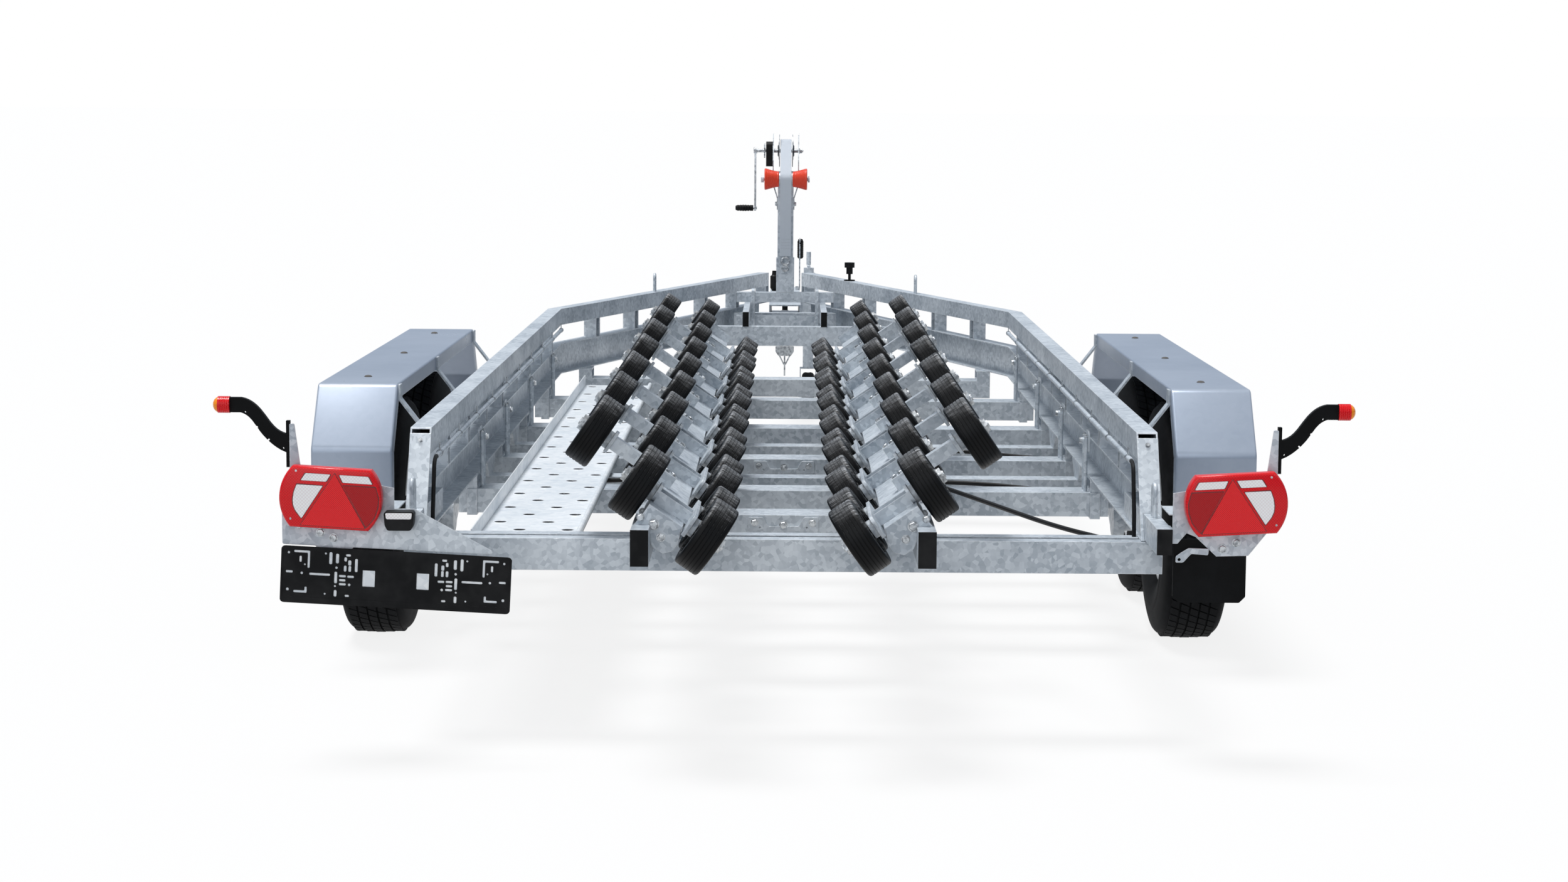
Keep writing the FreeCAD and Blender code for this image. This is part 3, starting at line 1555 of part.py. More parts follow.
def make_lights():
    """Sliding light carriers with brackets, tail lights, marker lamps, plate and flaps."""
    face = light_plane_station
    carrier_x = chassis_half_width - half_beam
    carrier_bottom = beam_bottom + chord_wall + slide_clearance
    carrier = placed(
        hollow_bar(light_carrier_reach - face, light_carrier_width, light_carrier_height,
                   sheet_thickness),
        frame_at(Vec(carrier_x, face, carrier_bottom), Vec(0, 1, 0), Vec(0, 0, 1)),
    )
    lamp_edge = lamp_centre_x + lamp_width / 2
    carrier_side = carrier_x + light_carrier_width / 2
    tab_top = carrier_bottom + light_carrier_height
    bracket_outline = [
        (carrier_side, tab_top - bracket_tab_drop),
        (carrier_side + bracket_notch, tab_top - bracket_tab_drop),
        (carrier_side + bracket_tab_drop, tab_top - bracket_hump),
        (lamp_centre_x - bracket_waist_reach, tab_top - 2 * bracket_hump),
        (lamp_centre_x - bracket_foot_inner, beam_bottom + bracket_hump / 4),
        (lamp_centre_x + bracket_foot_outer, beam_bottom + bracket_hump / 2),
        (lamp_edge - bracket_side_inset, beam_bottom + bracket_skirt_side),
        (lamp_edge - bracket_side_inset, lamp_centre_z + bracket_head_rise),
        (carrier_side, lamp_centre_z + bracket_inner_rise),
    ]
    upright_outline = [
        (lamp_edge - upright_inner_inset, lamp_centre_z + bracket_flange_drop),
        (lamp_edge - upright_outer_inset, lamp_centre_z + bracket_flange_drop),
        (lamp_edge - upright_outer_inset, lamp_centre_z + upright_rise),
        (lamp_edge - upright_tip_inset, lamp_centre_z + upright_rise),
    ]
    right_bracket = fused(
        prism(bracket_outline, "y", face - sheet_thickness, face),
        prism(upright_outline, "y", face - sheet_thickness, face, upright_corner),
        box(carrier_side - bracket_hump, lamp_edge - bracket_side_inset, face - sheet_thickness, 
            face + bracket_flange_depth, lamp_centre_z - bracket_flange_drop,
            lamp_centre_z - bracket_flange_drop + sheet_thickness),
        box(carrier_side, carrier_side + sheet_thickness, face - sheet_thickness, 
            face + bracket_tab_depth, tab_top - bracket_tab_drop, tab_top),
    )
    holder_end = plate_holder_centre_x - plate_holder_width / 2
    wide_outline = [
        (holder_end + wide_bracket_inset, beam_bottom + wide_bracket_low),
        (holder_end + plate_holder_width - wide_bracket_tail, beam_bottom - wide_bracket_drop),
        (wide_bracket_reach - carrier_x, beam_bottom + wide_bracket_top + wide_bracket_slope),
        (holder_end + wide_bracket_inset, beam_bottom + wide_bracket_top),
    ]
    left_bracket = fused(
        mirrored(right_bracket),
        prism(wide_outline, "y", face - sheet_thickness, face, wide_bracket_corner),
    )
    keep("light_brackets", right_bracket, left_bracket)
    lamp_place = Vec(lamp_centre_x, face - sheet_thickness, lamp_centre_z)
    lamp = placed(
        lamp_body(), FreeCAD.Placement(lamp_place, FreeCAD.Rotation(Vec(0, 1, 0), -lamp_tilt))
    )
    arm = marker_arm(lamp_edge - marker_strip_inset,
                     lamp_centre_z + lamp_height / 2 - marker_strip_overlap)
    marker_y = face + marker_arm_depth / 2
    dome = marker_lamp_radius - marker_dome_step
    marker = revolved(
        [
            (0, 0),
            (0, marker_lamp_radius),
            (marker_lamp_length - marker_dome_length, marker_lamp_radius),
            (marker_lamp_length - marker_dome_edge, dome + marker_dome_shoulder),
            (marker_lamp_length, dome),
            (marker_lamp_length, 0),
        ],
        Vec(marker_lamp_x - marker_lamp_length, marker_y, marker_lamp_z + dome),
        Vec(1, 0, 0),
    )
    flap_top = beam_bottom + light_carrier_height * flap_top_share
    flap_low = flap_top - flap_height
    flap_inner = carrier_side + sheet_thickness + seat_gap
    flap_outline = [
        (flap_inner, flap_top),
        (flap_inner, flap_low + flap_corner),
        (flap_inner + flap_corner, flap_low),
        (flap_inner + flap_width - flap_corner, flap_low),
        (flap_inner + flap_width, flap_low + flap_corner),
        (flap_inner + flap_width, flap_top),
    ]
    flap = prism(flap_outline, "y", face, face + flap_thickness, flap_edge_radius)
    handle = lashing_eye(carrier_x, -handle_setback, carrier_bottom + light_carrier_height,
                         handle_height)
    cap = box(carrier_x - light_carrier_width / 2, carrier_x + light_carrier_width / 2,
              face - cap_thickness, face, carrier_bottom, carrier_bottom + light_carrier_height)
    for side in sides.values():
        keep("light_carriers", on_side(carrier, side))
        keep("tail_lights", on_side(lamp, side))
        keep("marker_arms", on_side(arm, side))
        keep("light_carriers", on_side(handle, side))
        keep("marker_lamps", on_side(marker, side))
        keep("mud_flaps", on_side(flap, side))
    keep("end_caps", cap)
    holder = prism(
        [
            (-plate_holder_width / 2, -plate_holder_height / 2),
            (plate_holder_width / 2, -plate_holder_height / 2),
            (plate_holder_width / 2, plate_holder_height / 2),
            (-plate_holder_width / 2, plate_holder_height / 2),
        ],
        "y",
        -plate_holder_depth,
        0,
        plate_holder_corner,
    )
    holder_place = FreeCAD.Placement(
        Vec(plate_holder_centre_x, face - sheet_thickness, plate_holder_centre_z),
        FreeCAD.Rotation(Vec(0, 1, 0), plate_holder_tilt),
    )
    keep("plate_holder", placed(holder, holder_place))
    lamp_x = -carrier_x - sheet_thickness
    half_lamp = plate_lamp_width / 2
    keep("plate_lamp", box(lamp_x - half_lamp, lamp_x + half_lamp,
                           face - sheet_thickness - plate_lamp_depth, face - sheet_thickness,
                           beam_bottom + plate_lamp_rise,
                           beam_bottom + plate_lamp_rise + plate_lamp_height))


def lashing_eye(x, station, foot_z, height):
    """Round bar bent over as an eye that stands along the trailer."""
    top = foot_z + height - eye_half_width
    legs = [
        rod(Vec(x, station + way * eye_half_width, foot_z),
            Vec(x, station + way * eye_half_width, top), eye_bar_radius)
        for way in (-1, 1)
    ]
    bow = ring(Vec(x, station, top), Vec(1, 0, 0), Vec(0, 1, 0), eye_half_width, eye_bar_radius, 180)
    return fused(bow, *legs)


def make_lashing_loops():
    """Eyes over the front legs for the lashing straps."""
    leg_centre = leg_inner_x(loop_station) + half_beam
    for side in sides.values():
        keep("lashing_loops", lashing_eye(side * leg_centre, loop_station, beam_top, loop_height))


def make_winch_carriage():
    """Bars over and under the rails, held together by straps beside them."""
    depth = carriage_bar_depth
    low = rail_bottom - carriage_bar_height
    high = rail_top + carriage_bar_height
    pieces = []
    for bottom in (low, rail_top):
        bar = hollow_bar(2 * carriage_half_width, depth, carriage_bar_height, chord_wall)
        start = Vec(-carriage_half_width, winch_post_station, bottom)
        pieces.append(placed(bar, frame_at(start, Vec(1, 0, 0), Vec(0, 0, 1))))
    half = carriage_strap_size / 2
    rear = winch_post_station - depth / 2
    for side in sides.values():
        x = side * carriage_strap_x
        outline = [
            (rear - carriage_strap_size, low - carriage_strap_size),
            (rear + depth + carriage_strap_size, low - carriage_strap_size),
            (rear + depth + carriage_strap_size, high + carriage_strap_size),
            (rear - carriage_strap_size, high + carriage_strap_size),
        ]
        inside = box(x - half - past, x + half + past, rear, rear + depth, low, high)
        pieces.append(prism(outline, "x", x - half, x + half, carriage_strap_corner).cut(inside))
    keep("winch_carriage", fused(*pieces))


def make_winch_post():
    """Post on the carriage with its foot, and the lug that holds the bow roller."""
    base_z = rail_top + carriage_bar_height
    half = winch_post_size / 2
    post = placed(
        hollow_bar(winch_post_top - base_z, winch_post_size, winch_post_size, profile_wall),
        frame_at(Vec(0, winch_post_station - half, base_z), Vec(0, 0, 1), Vec(0, 1, 0)),
    )
    cheeks = []
    for way in (-1, 1):
        cheeks.append(
            prism(
                [
                    (winch_post_station - half, base_z),
                    (winch_post_station + half + post_foot_reach, base_z),
                    (winch_post_station + half, base_z + post_foot_height),
                    (winch_post_station - half, base_z + post_foot_height),
                ],
                "x",
                way * half,
                way * (half + profile_wall),
            )
        )
    lug_y = winch_post_station - bow_roller_reach
    rear_face = winch_post_station - half
    lug = prism(
        [
            (rear_face, bow_roller_z - bow_lug_root_drop),
            (rear_face, bow_roller_z + bow_lug_root_rise),
            (lug_y, bow_roller_z + bow_lug_half_height),
            (lug_y, bow_roller_z - bow_lug_half_height),
        ],
        "x",
        -bow_lug_half_width,
        bow_lug_half_width,
    )
    nose = rod(Vec(-bow_lug_half_width, lug_y, bow_roller_z),
               Vec(bow_lug_half_width, lug_y, bow_roller_z), bow_roller_waist - bow_nose_step)
    reach = bow_lug_half_width + bow_roller_length + bow_pin_margin
    pin = rod(Vec(-reach, lug_y, bow_roller_z), Vec(reach, lug_y, bow_roller_z), bow_pin_radius)
    head = rod(Vec(-reach - bow_pin_head_length, lug_y, bow_roller_z), Vec(-reach, lug_y, bow_roller_z),
               bow_pin_radius + bow_pin_head_step)
    nut = rod(Vec(reach, lug_y, bow_roller_z), Vec(reach + bow_pin_nut_length, lug_y, bow_roller_z),
              bow_pin_radius + bow_pin_nut_step)
    keep("winch_post", fused(post, lug, nose, pin, head, nut, *cheeks))
    bore = bow_pin_radius + bearing_clearance
    inner = bow_lug_half_width + slide_gap
    cone = revolved(
        [
            (inner, bore),
            (inner, bow_roller_waist),
            (inner + bow_roller_length - bow_cone_edge, bow_roller_radius),
            (inner + bow_roller_length, bow_roller_radius - bow_cone_edge),
            (inner + bow_roller_length, bore),
        ],
        Vec(0, lug_y, bow_roller_z),
        Vec(1, 0, 0),
    )
    keep("bow_roller", cone, mirrored(cone))
    return lug_y


def make_winch(lug_y):
    """Hand winch on the post: bent side plates, drum, gear cover, crank and strap."""
    axis_y = winch_post_station + winch_axis_lead
    crank_y = axis_y + crank_shaft_lead
    half = winch_post_size / 2
    outer = winch_plate_x + winch_plate_thickness
    chain = [
        (half, winch_post_top - winch_plate_foot_drop),
        (half, winch_post_top - winch_plate_bend_drop),
        (winch_plate_x, winch_post_top - winch_plate_flare_drop),
        (winch_plate_x, winch_plate_top),
    ]
    side_view = prism(
        [
            (winch_post_station - half, winch_post_top - winch_plate_foot_drop),
            (winch_post_station + half, winch_post_top - winch_plate_foot_drop),
            (crank_y + winch_plate_front_margin, winch_axis_z - winch_plate_front_drop),
            (crank_y + winch_plate_front_margin, winch_axis_z + winch_plate_front_rise),
            (axis_y + winch_plate_top_lead, winch_plate_top),
            (axis_y - winch_plate_top_back, winch_plate_top),
            (winch_post_station - half, winch_axis_z - winch_plate_rear_drop),
        ],
        "x",
        0,
        2 * outer,
        winch_plate_corner,
    )
    plate = folded_strip(chain[::-1], winch_plate_thickness, "y",
                         winch_post_station - winch_post_height,
                         winch_post_station + winch_post_height).common(side_view)
    hole = winch_shaft_radius + bearing_clearance
    drum_way = rod(Vec(0, axis_y, winch_axis_z), Vec(2 * outer, axis_y, winch_axis_z), hole)
    crank_way = rod(Vec(0, crank_y, winch_axis_z), Vec(2 * outer, crank_y, winch_axis_z), hole)
    right_plate = plate.cut(drum_way)
    left_plate = mirrored(plate.cut(drum_way).cut(crank_way))
    tie_y = axis_y + winch_tie_lead
    tie_z = winch_axis_z - winch_tie_drop
    tie_reach = winch_plate_x + winch_plate_thickness / 2
    tie = rod(Vec(-tie_reach, tie_y, tie_z), Vec(tie_reach, tie_y, tie_z), winch_tie_radius)
    keep("winch_frame", fused(right_plate, left_plate, tie))
    shaft = rod(Vec(-outer - winch_shaft_margin, axis_y, winch_axis_z),
                Vec(outer + winch_shaft_end, axis_y, winch_axis_z), winch_shaft_radius)
    flanges = [
        rod(Vec(way * winch_flange_x, axis_y, winch_axis_z),
            Vec(way * (winch_flange_x + winch_flange_thickness), axis_y, winch_axis_z), winch_flange_radius)
        for way in (-1, 1)
    ]
    core = rod(Vec(-winch_flange_x, axis_y, winch_axis_z), Vec(winch_flange_x, axis_y, winch_axis_z),
               winch_shaft_radius + winch_core_step)
    keep("winch_drum", fused(shaft, core, *flanges))
    wound = revolved(
        [
            (-strap_width / 2, winch_shaft_radius + winch_core_step + seat_gap),
            (-strap_width / 2, wound_strap_radius),
            (strap_width / 2, wound_strap_radius),
            (strap_width / 2, winch_shaft_radius + winch_core_step + seat_gap),
        ],
        Vec(0, axis_y, winch_axis_z),
        Vec(1, 0, 0),
    )
    keep("winch_drum", wound)
    cover = prism(
        [
            (axis_y - gear_cover_rear, winch_axis_z - gear_cover_drop),
            (crank_y + gear_cover_front, winch_axis_z - gear_cover_front_drop),
            (crank_y + gear_cover_front, winch_axis_z + gear_cover_front_rise),
            (axis_y - gear_cover_crown_back, winch_axis_z + gear_cover_crown),
            (axis_y - gear_cover_rear, winch_axis_z + gear_cover_rear_rise),
        ],
        "x",
        -outer - gear_cover_depth,
        -outer,
        gear_cover_corner,
    )
    shaft_end = rod(Vec(-outer - crank_shaft_margin, axis_y, winch_axis_z), Vec(0, axis_y, winch_axis_z),
                    winch_shaft_radius + slide_gap)
    keep("gear_cover", cover.cut(mirrored(crank_way)).cut(shaft_end))
    top = Vec(-crank_arm_x, crank_y, winch_axis_z)
    foot = top - Vec(0, 0, crank_arm_length)
    crank_shaft = rod(Vec(crank_shaft_margin - winch_plate_x, crank_y, winch_axis_z), top,
                      winch_shaft_radius)
    boss_end = Vec(crank_arm_thickness, 0, 0)
    elbow = rod(top - boss_end, top + boss_end, winch_shaft_radius + crank_boss_step)
    half_bar = crank_arm_width / 2
    arm = prism(
        [
            (crank_y - half_bar, foot.z - half_bar),
            (crank_y + half_bar, foot.z - half_bar),
            (crank_y + half_bar, top.z + half_bar),
            (crank_y - half_bar, top.z + half_bar),
        ],
        "x",
        top.x - crank_arm_thickness / 2,
        top.x + crank_arm_thickness / 2,
        half_bar * 0.9,
    )
    spindle = rod(foot + boss_end, foot - Vec(crank_grip_length, 0, 0), crank_bar_radius)
    keep("winch_crank", fused(crank_shaft, elbow, arm, spindle))
    grip = revolved(
        [
            (crank_bar_radius + 2, crank_bar_radius + seat_gap),
            (crank_bar_radius + 2, crank_grip_radius - 2),
            (crank_grip_length / 2, crank_grip_radius),
            (crank_grip_length + 2, crank_grip_radius - 3),
            (crank_grip_length + 2, crank_bar_radius + seat_gap),
        ],
        foot,
        Vec(-1, 0, 0),
    )
    keep("winch_crank", grip)
    strap_radius = wound_strap_radius + slide_gap
    nose_radius = (bow_roller_waist - bow_nose_step + seat_gap) / math.cos(math.radians(strap_wrap))
    drum_centre = Vec(0, axis_y, winch_axis_z)
    nose_centre = Vec(0, lug_y, bow_roller_z)
    run = drum_centre - nose_centre
    spread_angle = math.asin((strap_radius - nose_radius) / run.Length)
    way = math.atan2(run.z, run.y) + spread_angle
    normal = Vec(0, -math.sin(way), math.cos(way))
    leave = drum_centre + normal * strap_radius
    land = nose_centre + normal * nose_radius
    turn = math.radians(90) + way
    hook_z = rail_top + carriage_bar_height + hook_rise
    rear_face = winch_post_station - half
    hook = Vec(0, rear_face - hook_gap, hook_z)
    fall = hook - nose_centre
    last = math.radians(360) + math.atan2(fall.z, fall.y) - math.acos(nose_radius / fall.Length)
    chain = [(leave.y, leave.z), (land.y, land.z)]
    steps = 6
    for i in range(1, steps + 1):
        angle = turn + (last - turn) * i / steps
        chain.append((nose_centre.y + nose_radius * math.cos(angle),
                      nose_centre.z + nose_radius * math.sin(angle)))
    chain.append((hook.y, hook.z))
    keep("winch_strap", folded_strip(chain[::-1], strap_thickness, "x", -strap_width / 2,
                                     strap_width / 2))
    hook_y = rear_face - hook_gap - strap_thickness / 2
    eye = ring(Vec(0, hook_y, hook_z - hook_ring_drop), Vec(0, 1, 0), Vec(1, 0, 0),
               hook_ring_radius, hook_bar_radius, 360)
    stem_low = hook_z - hook_stem_drop
    stem = box(-hook_stem_half_width, hook_stem_half_width, rear_face - hook_stem_depth, rear_face,
               stem_low, stem_low + hook_stem_height)
    keep("strap_hook", fused(eye, stem))
    return axis_y, crank_y


def make_jockey_wheel():
    """Clamped outer tube, sliding inner tube, swivelling fork and its wheel."""
    x = drawbar_half_width + jockey_clamp_gap + jockey_outer_radius
    y = jockey_station
    bottom = jockey_outer_bottom
    top = bottom + jockey_outer_length
    outer = rod(Vec(x, y, bottom), Vec(x, y, top), jockey_outer_radius)
    bore_radius = jockey_outer_radius - jockey_outer_wall
    bore = rod(Vec(x, y, bottom - past), Vec(x, y, top - jockey_top_wall), bore_radius)
    clamp_low = beam_bottom + jockey_clamp_inset
    clamp_high = beam_bottom + drawbar_height - jockey_clamp_inset
    clamp = prism(
        [
            (drawbar_half_width, y - jockey_clamp_half),
            (drawbar_half_width + jockey_clamp_root, y - jockey_clamp_half),
            (x + jockey_outer_radius + jockey_clamp_wall, y - jockey_clamp_nose),
            (x + jockey_outer_radius + jockey_clamp_wall, y + jockey_clamp_nose),
            (drawbar_half_width + jockey_clamp_root, y + jockey_clamp_half),
            (drawbar_half_width, y + jockey_clamp_half),
        ],
        "z",
        clamp_low,
        clamp_high,
        jockey_clamp_corner,
    )
    cap_top = top + jockey_cap_height
    cap = rod(Vec(x, y, top), Vec(x, y, cap_top), jockey_outer_radius - jockey_cap_step)
    crank_top = cap_top + jockey_crank_thickness
    crank_arm = box(x - jockey_crank_half, x + jockey_crank_half, y - jockey_crank_half,
                    y + jockey_crank_reach, cap_top, crank_top)
    knob_y = y + jockey_knob_reach
    crank_knob = rod(Vec(x, knob_y, crank_top), Vec(x, knob_y, cap_top + jockey_knob_height),
                     jockey_knob_radius)
    keep("jockey_outer_tube", fused(outer, clamp, cap, crank_arm, crank_knob).cut(bore))
    fork_top = jockey_wheel_radius + jockey_fork_height
    inner_top = top - jockey_top_wall - jockey_travel - jockey_stop_gap
    inner_radius = bore_radius - slide_gap
    inner = rod(Vec(x, y, fork_top + slide_gap), Vec(x, y, inner_top), inner_radius)
    pin_bore = rod(Vec(x, y, fork_top), Vec(x, y, fork_top + jockey_pin_length + slide_gap),
                   jockey_pin_radius + bearing_clearance)
    keep("jockey_inner_tube", inner.cut(pin_bore))
    axle_y = y - jockey_trail
    cheek_inner = jockey_wheel_width / 2 + jockey_fork_gap
    cheeks = []
    for way in (-1, 1):
        cheeks.append(
            prism(
                [
                    (y - fork_crown_half, fork_top),
                    (y + fork_crown_half, fork_top),
                    (y + fork_crown_half, fork_top - fork_shoulder_drop),
                    (axle_y + fork_foot_half, jockey_wheel_radius - fork_foot_drop),
                    (axle_y - fork_foot_half, jockey_wheel_radius - fork_foot_drop),
                    (axle_y - fork_foot_half, jockey_wheel_radius + fork_heel_rise),
                ],
                "x",
                x + way * cheek_inner,
                x + way * (cheek_inner + fork_cheek_thickness),
            )
        )
    crown_half = cheek_inner + fork_cheek_thickness
    crown = box(x - crown_half, x + crown_half, y - fork_crown_half, y + fork_crown_half,
                fork_top - fork_crown_thickness, fork_top)
    pin = rod(Vec(x, y, fork_top - fork_crown_thickness), Vec(x, y, fork_top + jockey_pin_length),
              jockey_pin_radius)
    axle = rod(Vec(x - cheek_inner - fork_axle_end, axle_y, jockey_wheel_radius),
               Vec(x + cheek_inner + fork_axle_end, axle_y, jockey_wheel_radius), jockey_axle_radius)
    keep("jockey_fork", fused(crown, pin, axle, *cheeks))
    half = jockey_wheel_width / 2
    bore = jockey_axle_radius + bearing_clearance
    wheel = revolved(
        [
            (-half - jockey_hub_margin, bore),
            (-half - jockey_hub_margin, jockey_hub_end_radius),
            (-jockey_web_half, jockey_hub_radius),
            (-jockey_web_half, jockey_wheel_radius * jockey_web_share),
            (-half, jockey_wheel_radius * jockey_bead_share),
            (-half, jockey_wheel_radius - jockey_tread_edge),
            (jockey_tread_edge - half, jockey_wheel_radius),
            (half - jockey_tread_edge, jockey_wheel_radius),
            (half, jockey_wheel_radius - jockey_tread_edge),
            (half, jockey_wheel_radius * jockey_bead_share),
            (jockey_web_half, jockey_wheel_radius * jockey_web_share),
            (jockey_web_half, jockey_hub_radius),
            (half + jockey_hub_margin, jockey_hub_end_radius),
            (half + jockey_hub_margin, bore),
        ],
        Vec(x, axle_y, jockey_wheel_radius),
        Vec(1, 0, 0),
    )
    keep("jockey_wheel", wheel)
    return x, axle_y, fork_top


def make_small_controls():
    """Handbrake lever, parked plug on its holder and the knob on the right leg."""
    deck = beam_bottom + drawbar_height
    y = drawbar_front_station - coupling_housing_length / 2 - lever_setback
    lever = prism(
        [
            (y, deck),
            (y + lever_root_length, deck),
            (y + lever_bend_front, deck + lever_length * lever_bend_front_share),
            (y - lever_tip_front, deck + lever_length),
            (y - lever_tip_rear, deck + lever_length - lever_tip_drop),
            (y + lever_bend_rear, deck + lever_length * lever_bend_rear_share),
        ],
        "x",
        lever_x - lever_inset - lever_thickness,
        lever_x - lever_inset,
    )
    foot = box(drawbar_half_width - lever_foot_width, lever_x - lever_inset, y,
               y + lever_foot_length, deck, deck + lever_thickness)
    keep("handbrake_lever", fused(lever, foot))
    plug_y = y - plug_setback
    plug = revolved(
        [
            (0, 0),
            (0, plug_radius * plug_end_share),
            (plug_shoulder, plug_radius),
            (plug_body_length, plug_radius),
            (plug_neck_start, plug_radius * plug_neck_share),
            (plug_length, plug_radius * plug_end_share),
            (plug_length, 0),
        ],
        Vec(plug_x + plug_shift, plug_y, deck),
        Vec(0, 0, 1),
    )
    keep("parked_plug", plug)
    station = winch_post_station + knob_lead
    knob_x = leg_inner_x(station) + half_beam
    knob = revolved(
        [
            (0, 0),
            (0, knob_foot_radius),
            (knob_foot_height, knob_foot_radius),
            (knob_foot_height, knob_stem_radius),
            (knob_stem_top, knob_stem_radius),
            (knob_stem_top, knob_neck_radius),
            (knob_neck_top, knob_neck_radius),
            (knob_neck_top, knob_grip_radius),
            (knob_height, knob_grip_radius),
            (knob_height, 0),
        ],
        Vec(knob_x, station, beam_top),
        Vec(0, 0, 1),
    )
    keep("clamp_knob", knob)


def shift_to_origin(shape):
    """Moves the finished piece so that the origin is at the middle of the trailer's length."""
    moved = shape.copy()
    moved.translate(Vec(0, -middle_station, 0))
    return moved


def main():
    """Builds every sub-assembly and writes one file per node."""
    make_side_beams()
    make_cross_members()
    make_beam_fittings()
    make_rails()
    make_drawbar()
    socket_y, socket_z, socket_radius = make_coupling()
    make_cradle()
    make_running_gear()
    make_brake_cables()
    make_lamp_cables()
    make_mudguards()
    make_walkway()
    make_lights()
    make_lashing_loops()
    make_winch_carriage()
    lug_y = make_winch_post()
    axis_y, crank_y = make_winch(lug_y)
    jockey_x, jockey_axle_y, fork_top = make_jockey_wheel()
    make_small_controls()
    os.makedirs("parts", exist_ok=True)
    for name, shapes in nodes.items():
        solids = [shift_to_origin(shape) for shape in shapes]
        whole = solids[0] if len(solids) == 1 else Part.makeCompound(solids)
        whole.exportStep("parts/" + name + ".step")
    print("nodes", len(nodes), "middle station", middle_station)
    print("socket", socket_y - middle_station, socket_z, socket_radius)
    print("bow roller", lug_y - middle_station, "drum", axis_y - middle_station,
          "crank", crank_y - middle_station)
    print("jockey", jockey_x, jockey_station - middle_station, jockey_axle_y - middle_station, fork_top)


main()
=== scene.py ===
"""Looks of a tandem-axle multi-roller boat trailer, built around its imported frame.

Everything is in metres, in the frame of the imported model: X to the right as seen from behind,
Y forwards to the coupling and Z up, with the origin on the ground at the middle of the length.
Stations are in millimetres ahead of the rear crossbeam. A profile is a list of heights along an
axis and radii about it, and an outline is a list of corners in a plane.
"""

import json
import logging
import math
from collections.abc import Iterable
from dataclasses import dataclass, field
from enum import Enum

import bmesh
import bpy
from mathutils import Matrix, Vector


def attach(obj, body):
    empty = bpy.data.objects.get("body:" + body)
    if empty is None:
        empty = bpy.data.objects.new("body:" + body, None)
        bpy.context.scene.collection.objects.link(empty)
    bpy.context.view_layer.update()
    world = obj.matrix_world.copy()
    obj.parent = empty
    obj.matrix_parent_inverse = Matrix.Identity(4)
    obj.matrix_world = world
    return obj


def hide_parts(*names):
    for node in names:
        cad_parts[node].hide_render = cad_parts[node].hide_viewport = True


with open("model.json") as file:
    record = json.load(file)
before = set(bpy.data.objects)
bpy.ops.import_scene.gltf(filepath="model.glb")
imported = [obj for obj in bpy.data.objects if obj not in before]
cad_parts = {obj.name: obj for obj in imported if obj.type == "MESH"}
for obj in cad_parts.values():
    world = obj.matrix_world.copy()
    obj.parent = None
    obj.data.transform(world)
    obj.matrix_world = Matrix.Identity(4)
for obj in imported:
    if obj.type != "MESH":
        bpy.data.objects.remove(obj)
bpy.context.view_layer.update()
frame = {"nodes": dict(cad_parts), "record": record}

MM = 0.001
MIDDLE_STATION = 3743.5
UP = Vector((0.0, 0.0, 1.0))
FORWARDS = Vector((0.0, 1.0, 0.0))
BACKWARDS = Vector((0.0, -1.0, 0.0))
OFF_AXIS = Vector((0.13, 0.29, 0.95))
SHARP_TURN = 0.5
TO_RIGHT = Vector((1.0, 0.0, 0.0))
TO_LEFT = Vector((-1.0, 0.0, 0.0))
log = logging.getLogger("boat_trailer")

Socket = bpy.types.NodeSocket
Piece = bpy.types.Object
Point = tuple[float, float]
Outline = list[Point]
Shape = tuple[Point, ...]
Spot = tuple[Vector, Vector, float]
Values = dict[str | int, object]


class Side(Enum):
    """The two sides of the trailer, as seen from behind."""

    LEFT = -1
    RIGHT = 1

    @property
    def out(self) -> Vector:
        """Returns the way out of the trailer on this side."""
        return self.point(1.0, 0.0, 0.0)

    def point(self, x: float, y: float, z: float) -> Vector:
        """Returns a point of the right side, brought to this side."""
        return Vector((self.value * x, y, z))


class Shade(Enum):
    """How the faces of a piece are shaded: the angle in degrees that stays sharp."""

    EDGED = 35.0
    SOFT = 60.0


def world_y(station_mm: float) -> float:
    """Turns a station, in mm ahead of the rear crossbeam, into a Y in metres."""
    return (station_mm - MIDDLE_STATION) * MM


def linear(colour: str) -> tuple[float, float, float, float]:
    """Turns an sRGB hex colour into a linear one.

    Args:
        colour: Six hex digits after a hash sign.

    Returns:
        Red, green, blue and an alpha of one.
    """
    parts = [int(colour[i:i + 2], 16) / 255 for i in (1, 3, 5)]
    red, green, blue = (p / 12.92 if p <= 0.04045 else ((p + 0.055) / 1.055) ** 2.4 for p in parts)
    return red, green, blue, 1.0


def circle(radius: float, steps: int, centre: Point = (0.0, 0.0)) -> Outline:
    """Returns the corners of a circle, each once."""
    turns = [math.tau * k / steps for k in range(steps)]
    return [(centre[0] + radius * math.cos(t), centre[1] + radius * math.sin(t)) for t in turns]


def mirrored(right: Iterable[Point]) -> Outline:
    """Returns the mirrored left half of an outline, from its end back, and then the right half."""
    points = list(right)
    return [(-x, y) for x, y in reversed(points)] + points


def steps_along(points: list[Vector]) -> list[tuple[Vector, Vector]]:
    """Returns each point of a line with the way from its neighbour behind to the one ahead."""
    behind, ahead = points[:1] + points[:-1], points[1:] + points[-1:]
    return [(point, end - start) for point, start, end in zip(points, behind, ahead)]


def box_outline(left: float, low: float, right: float, high: float) -> Outline:
    """Returns the corners of a rectangle."""
    return [(left, low), (right, low), (right, high), (left, high)]


# Node trees


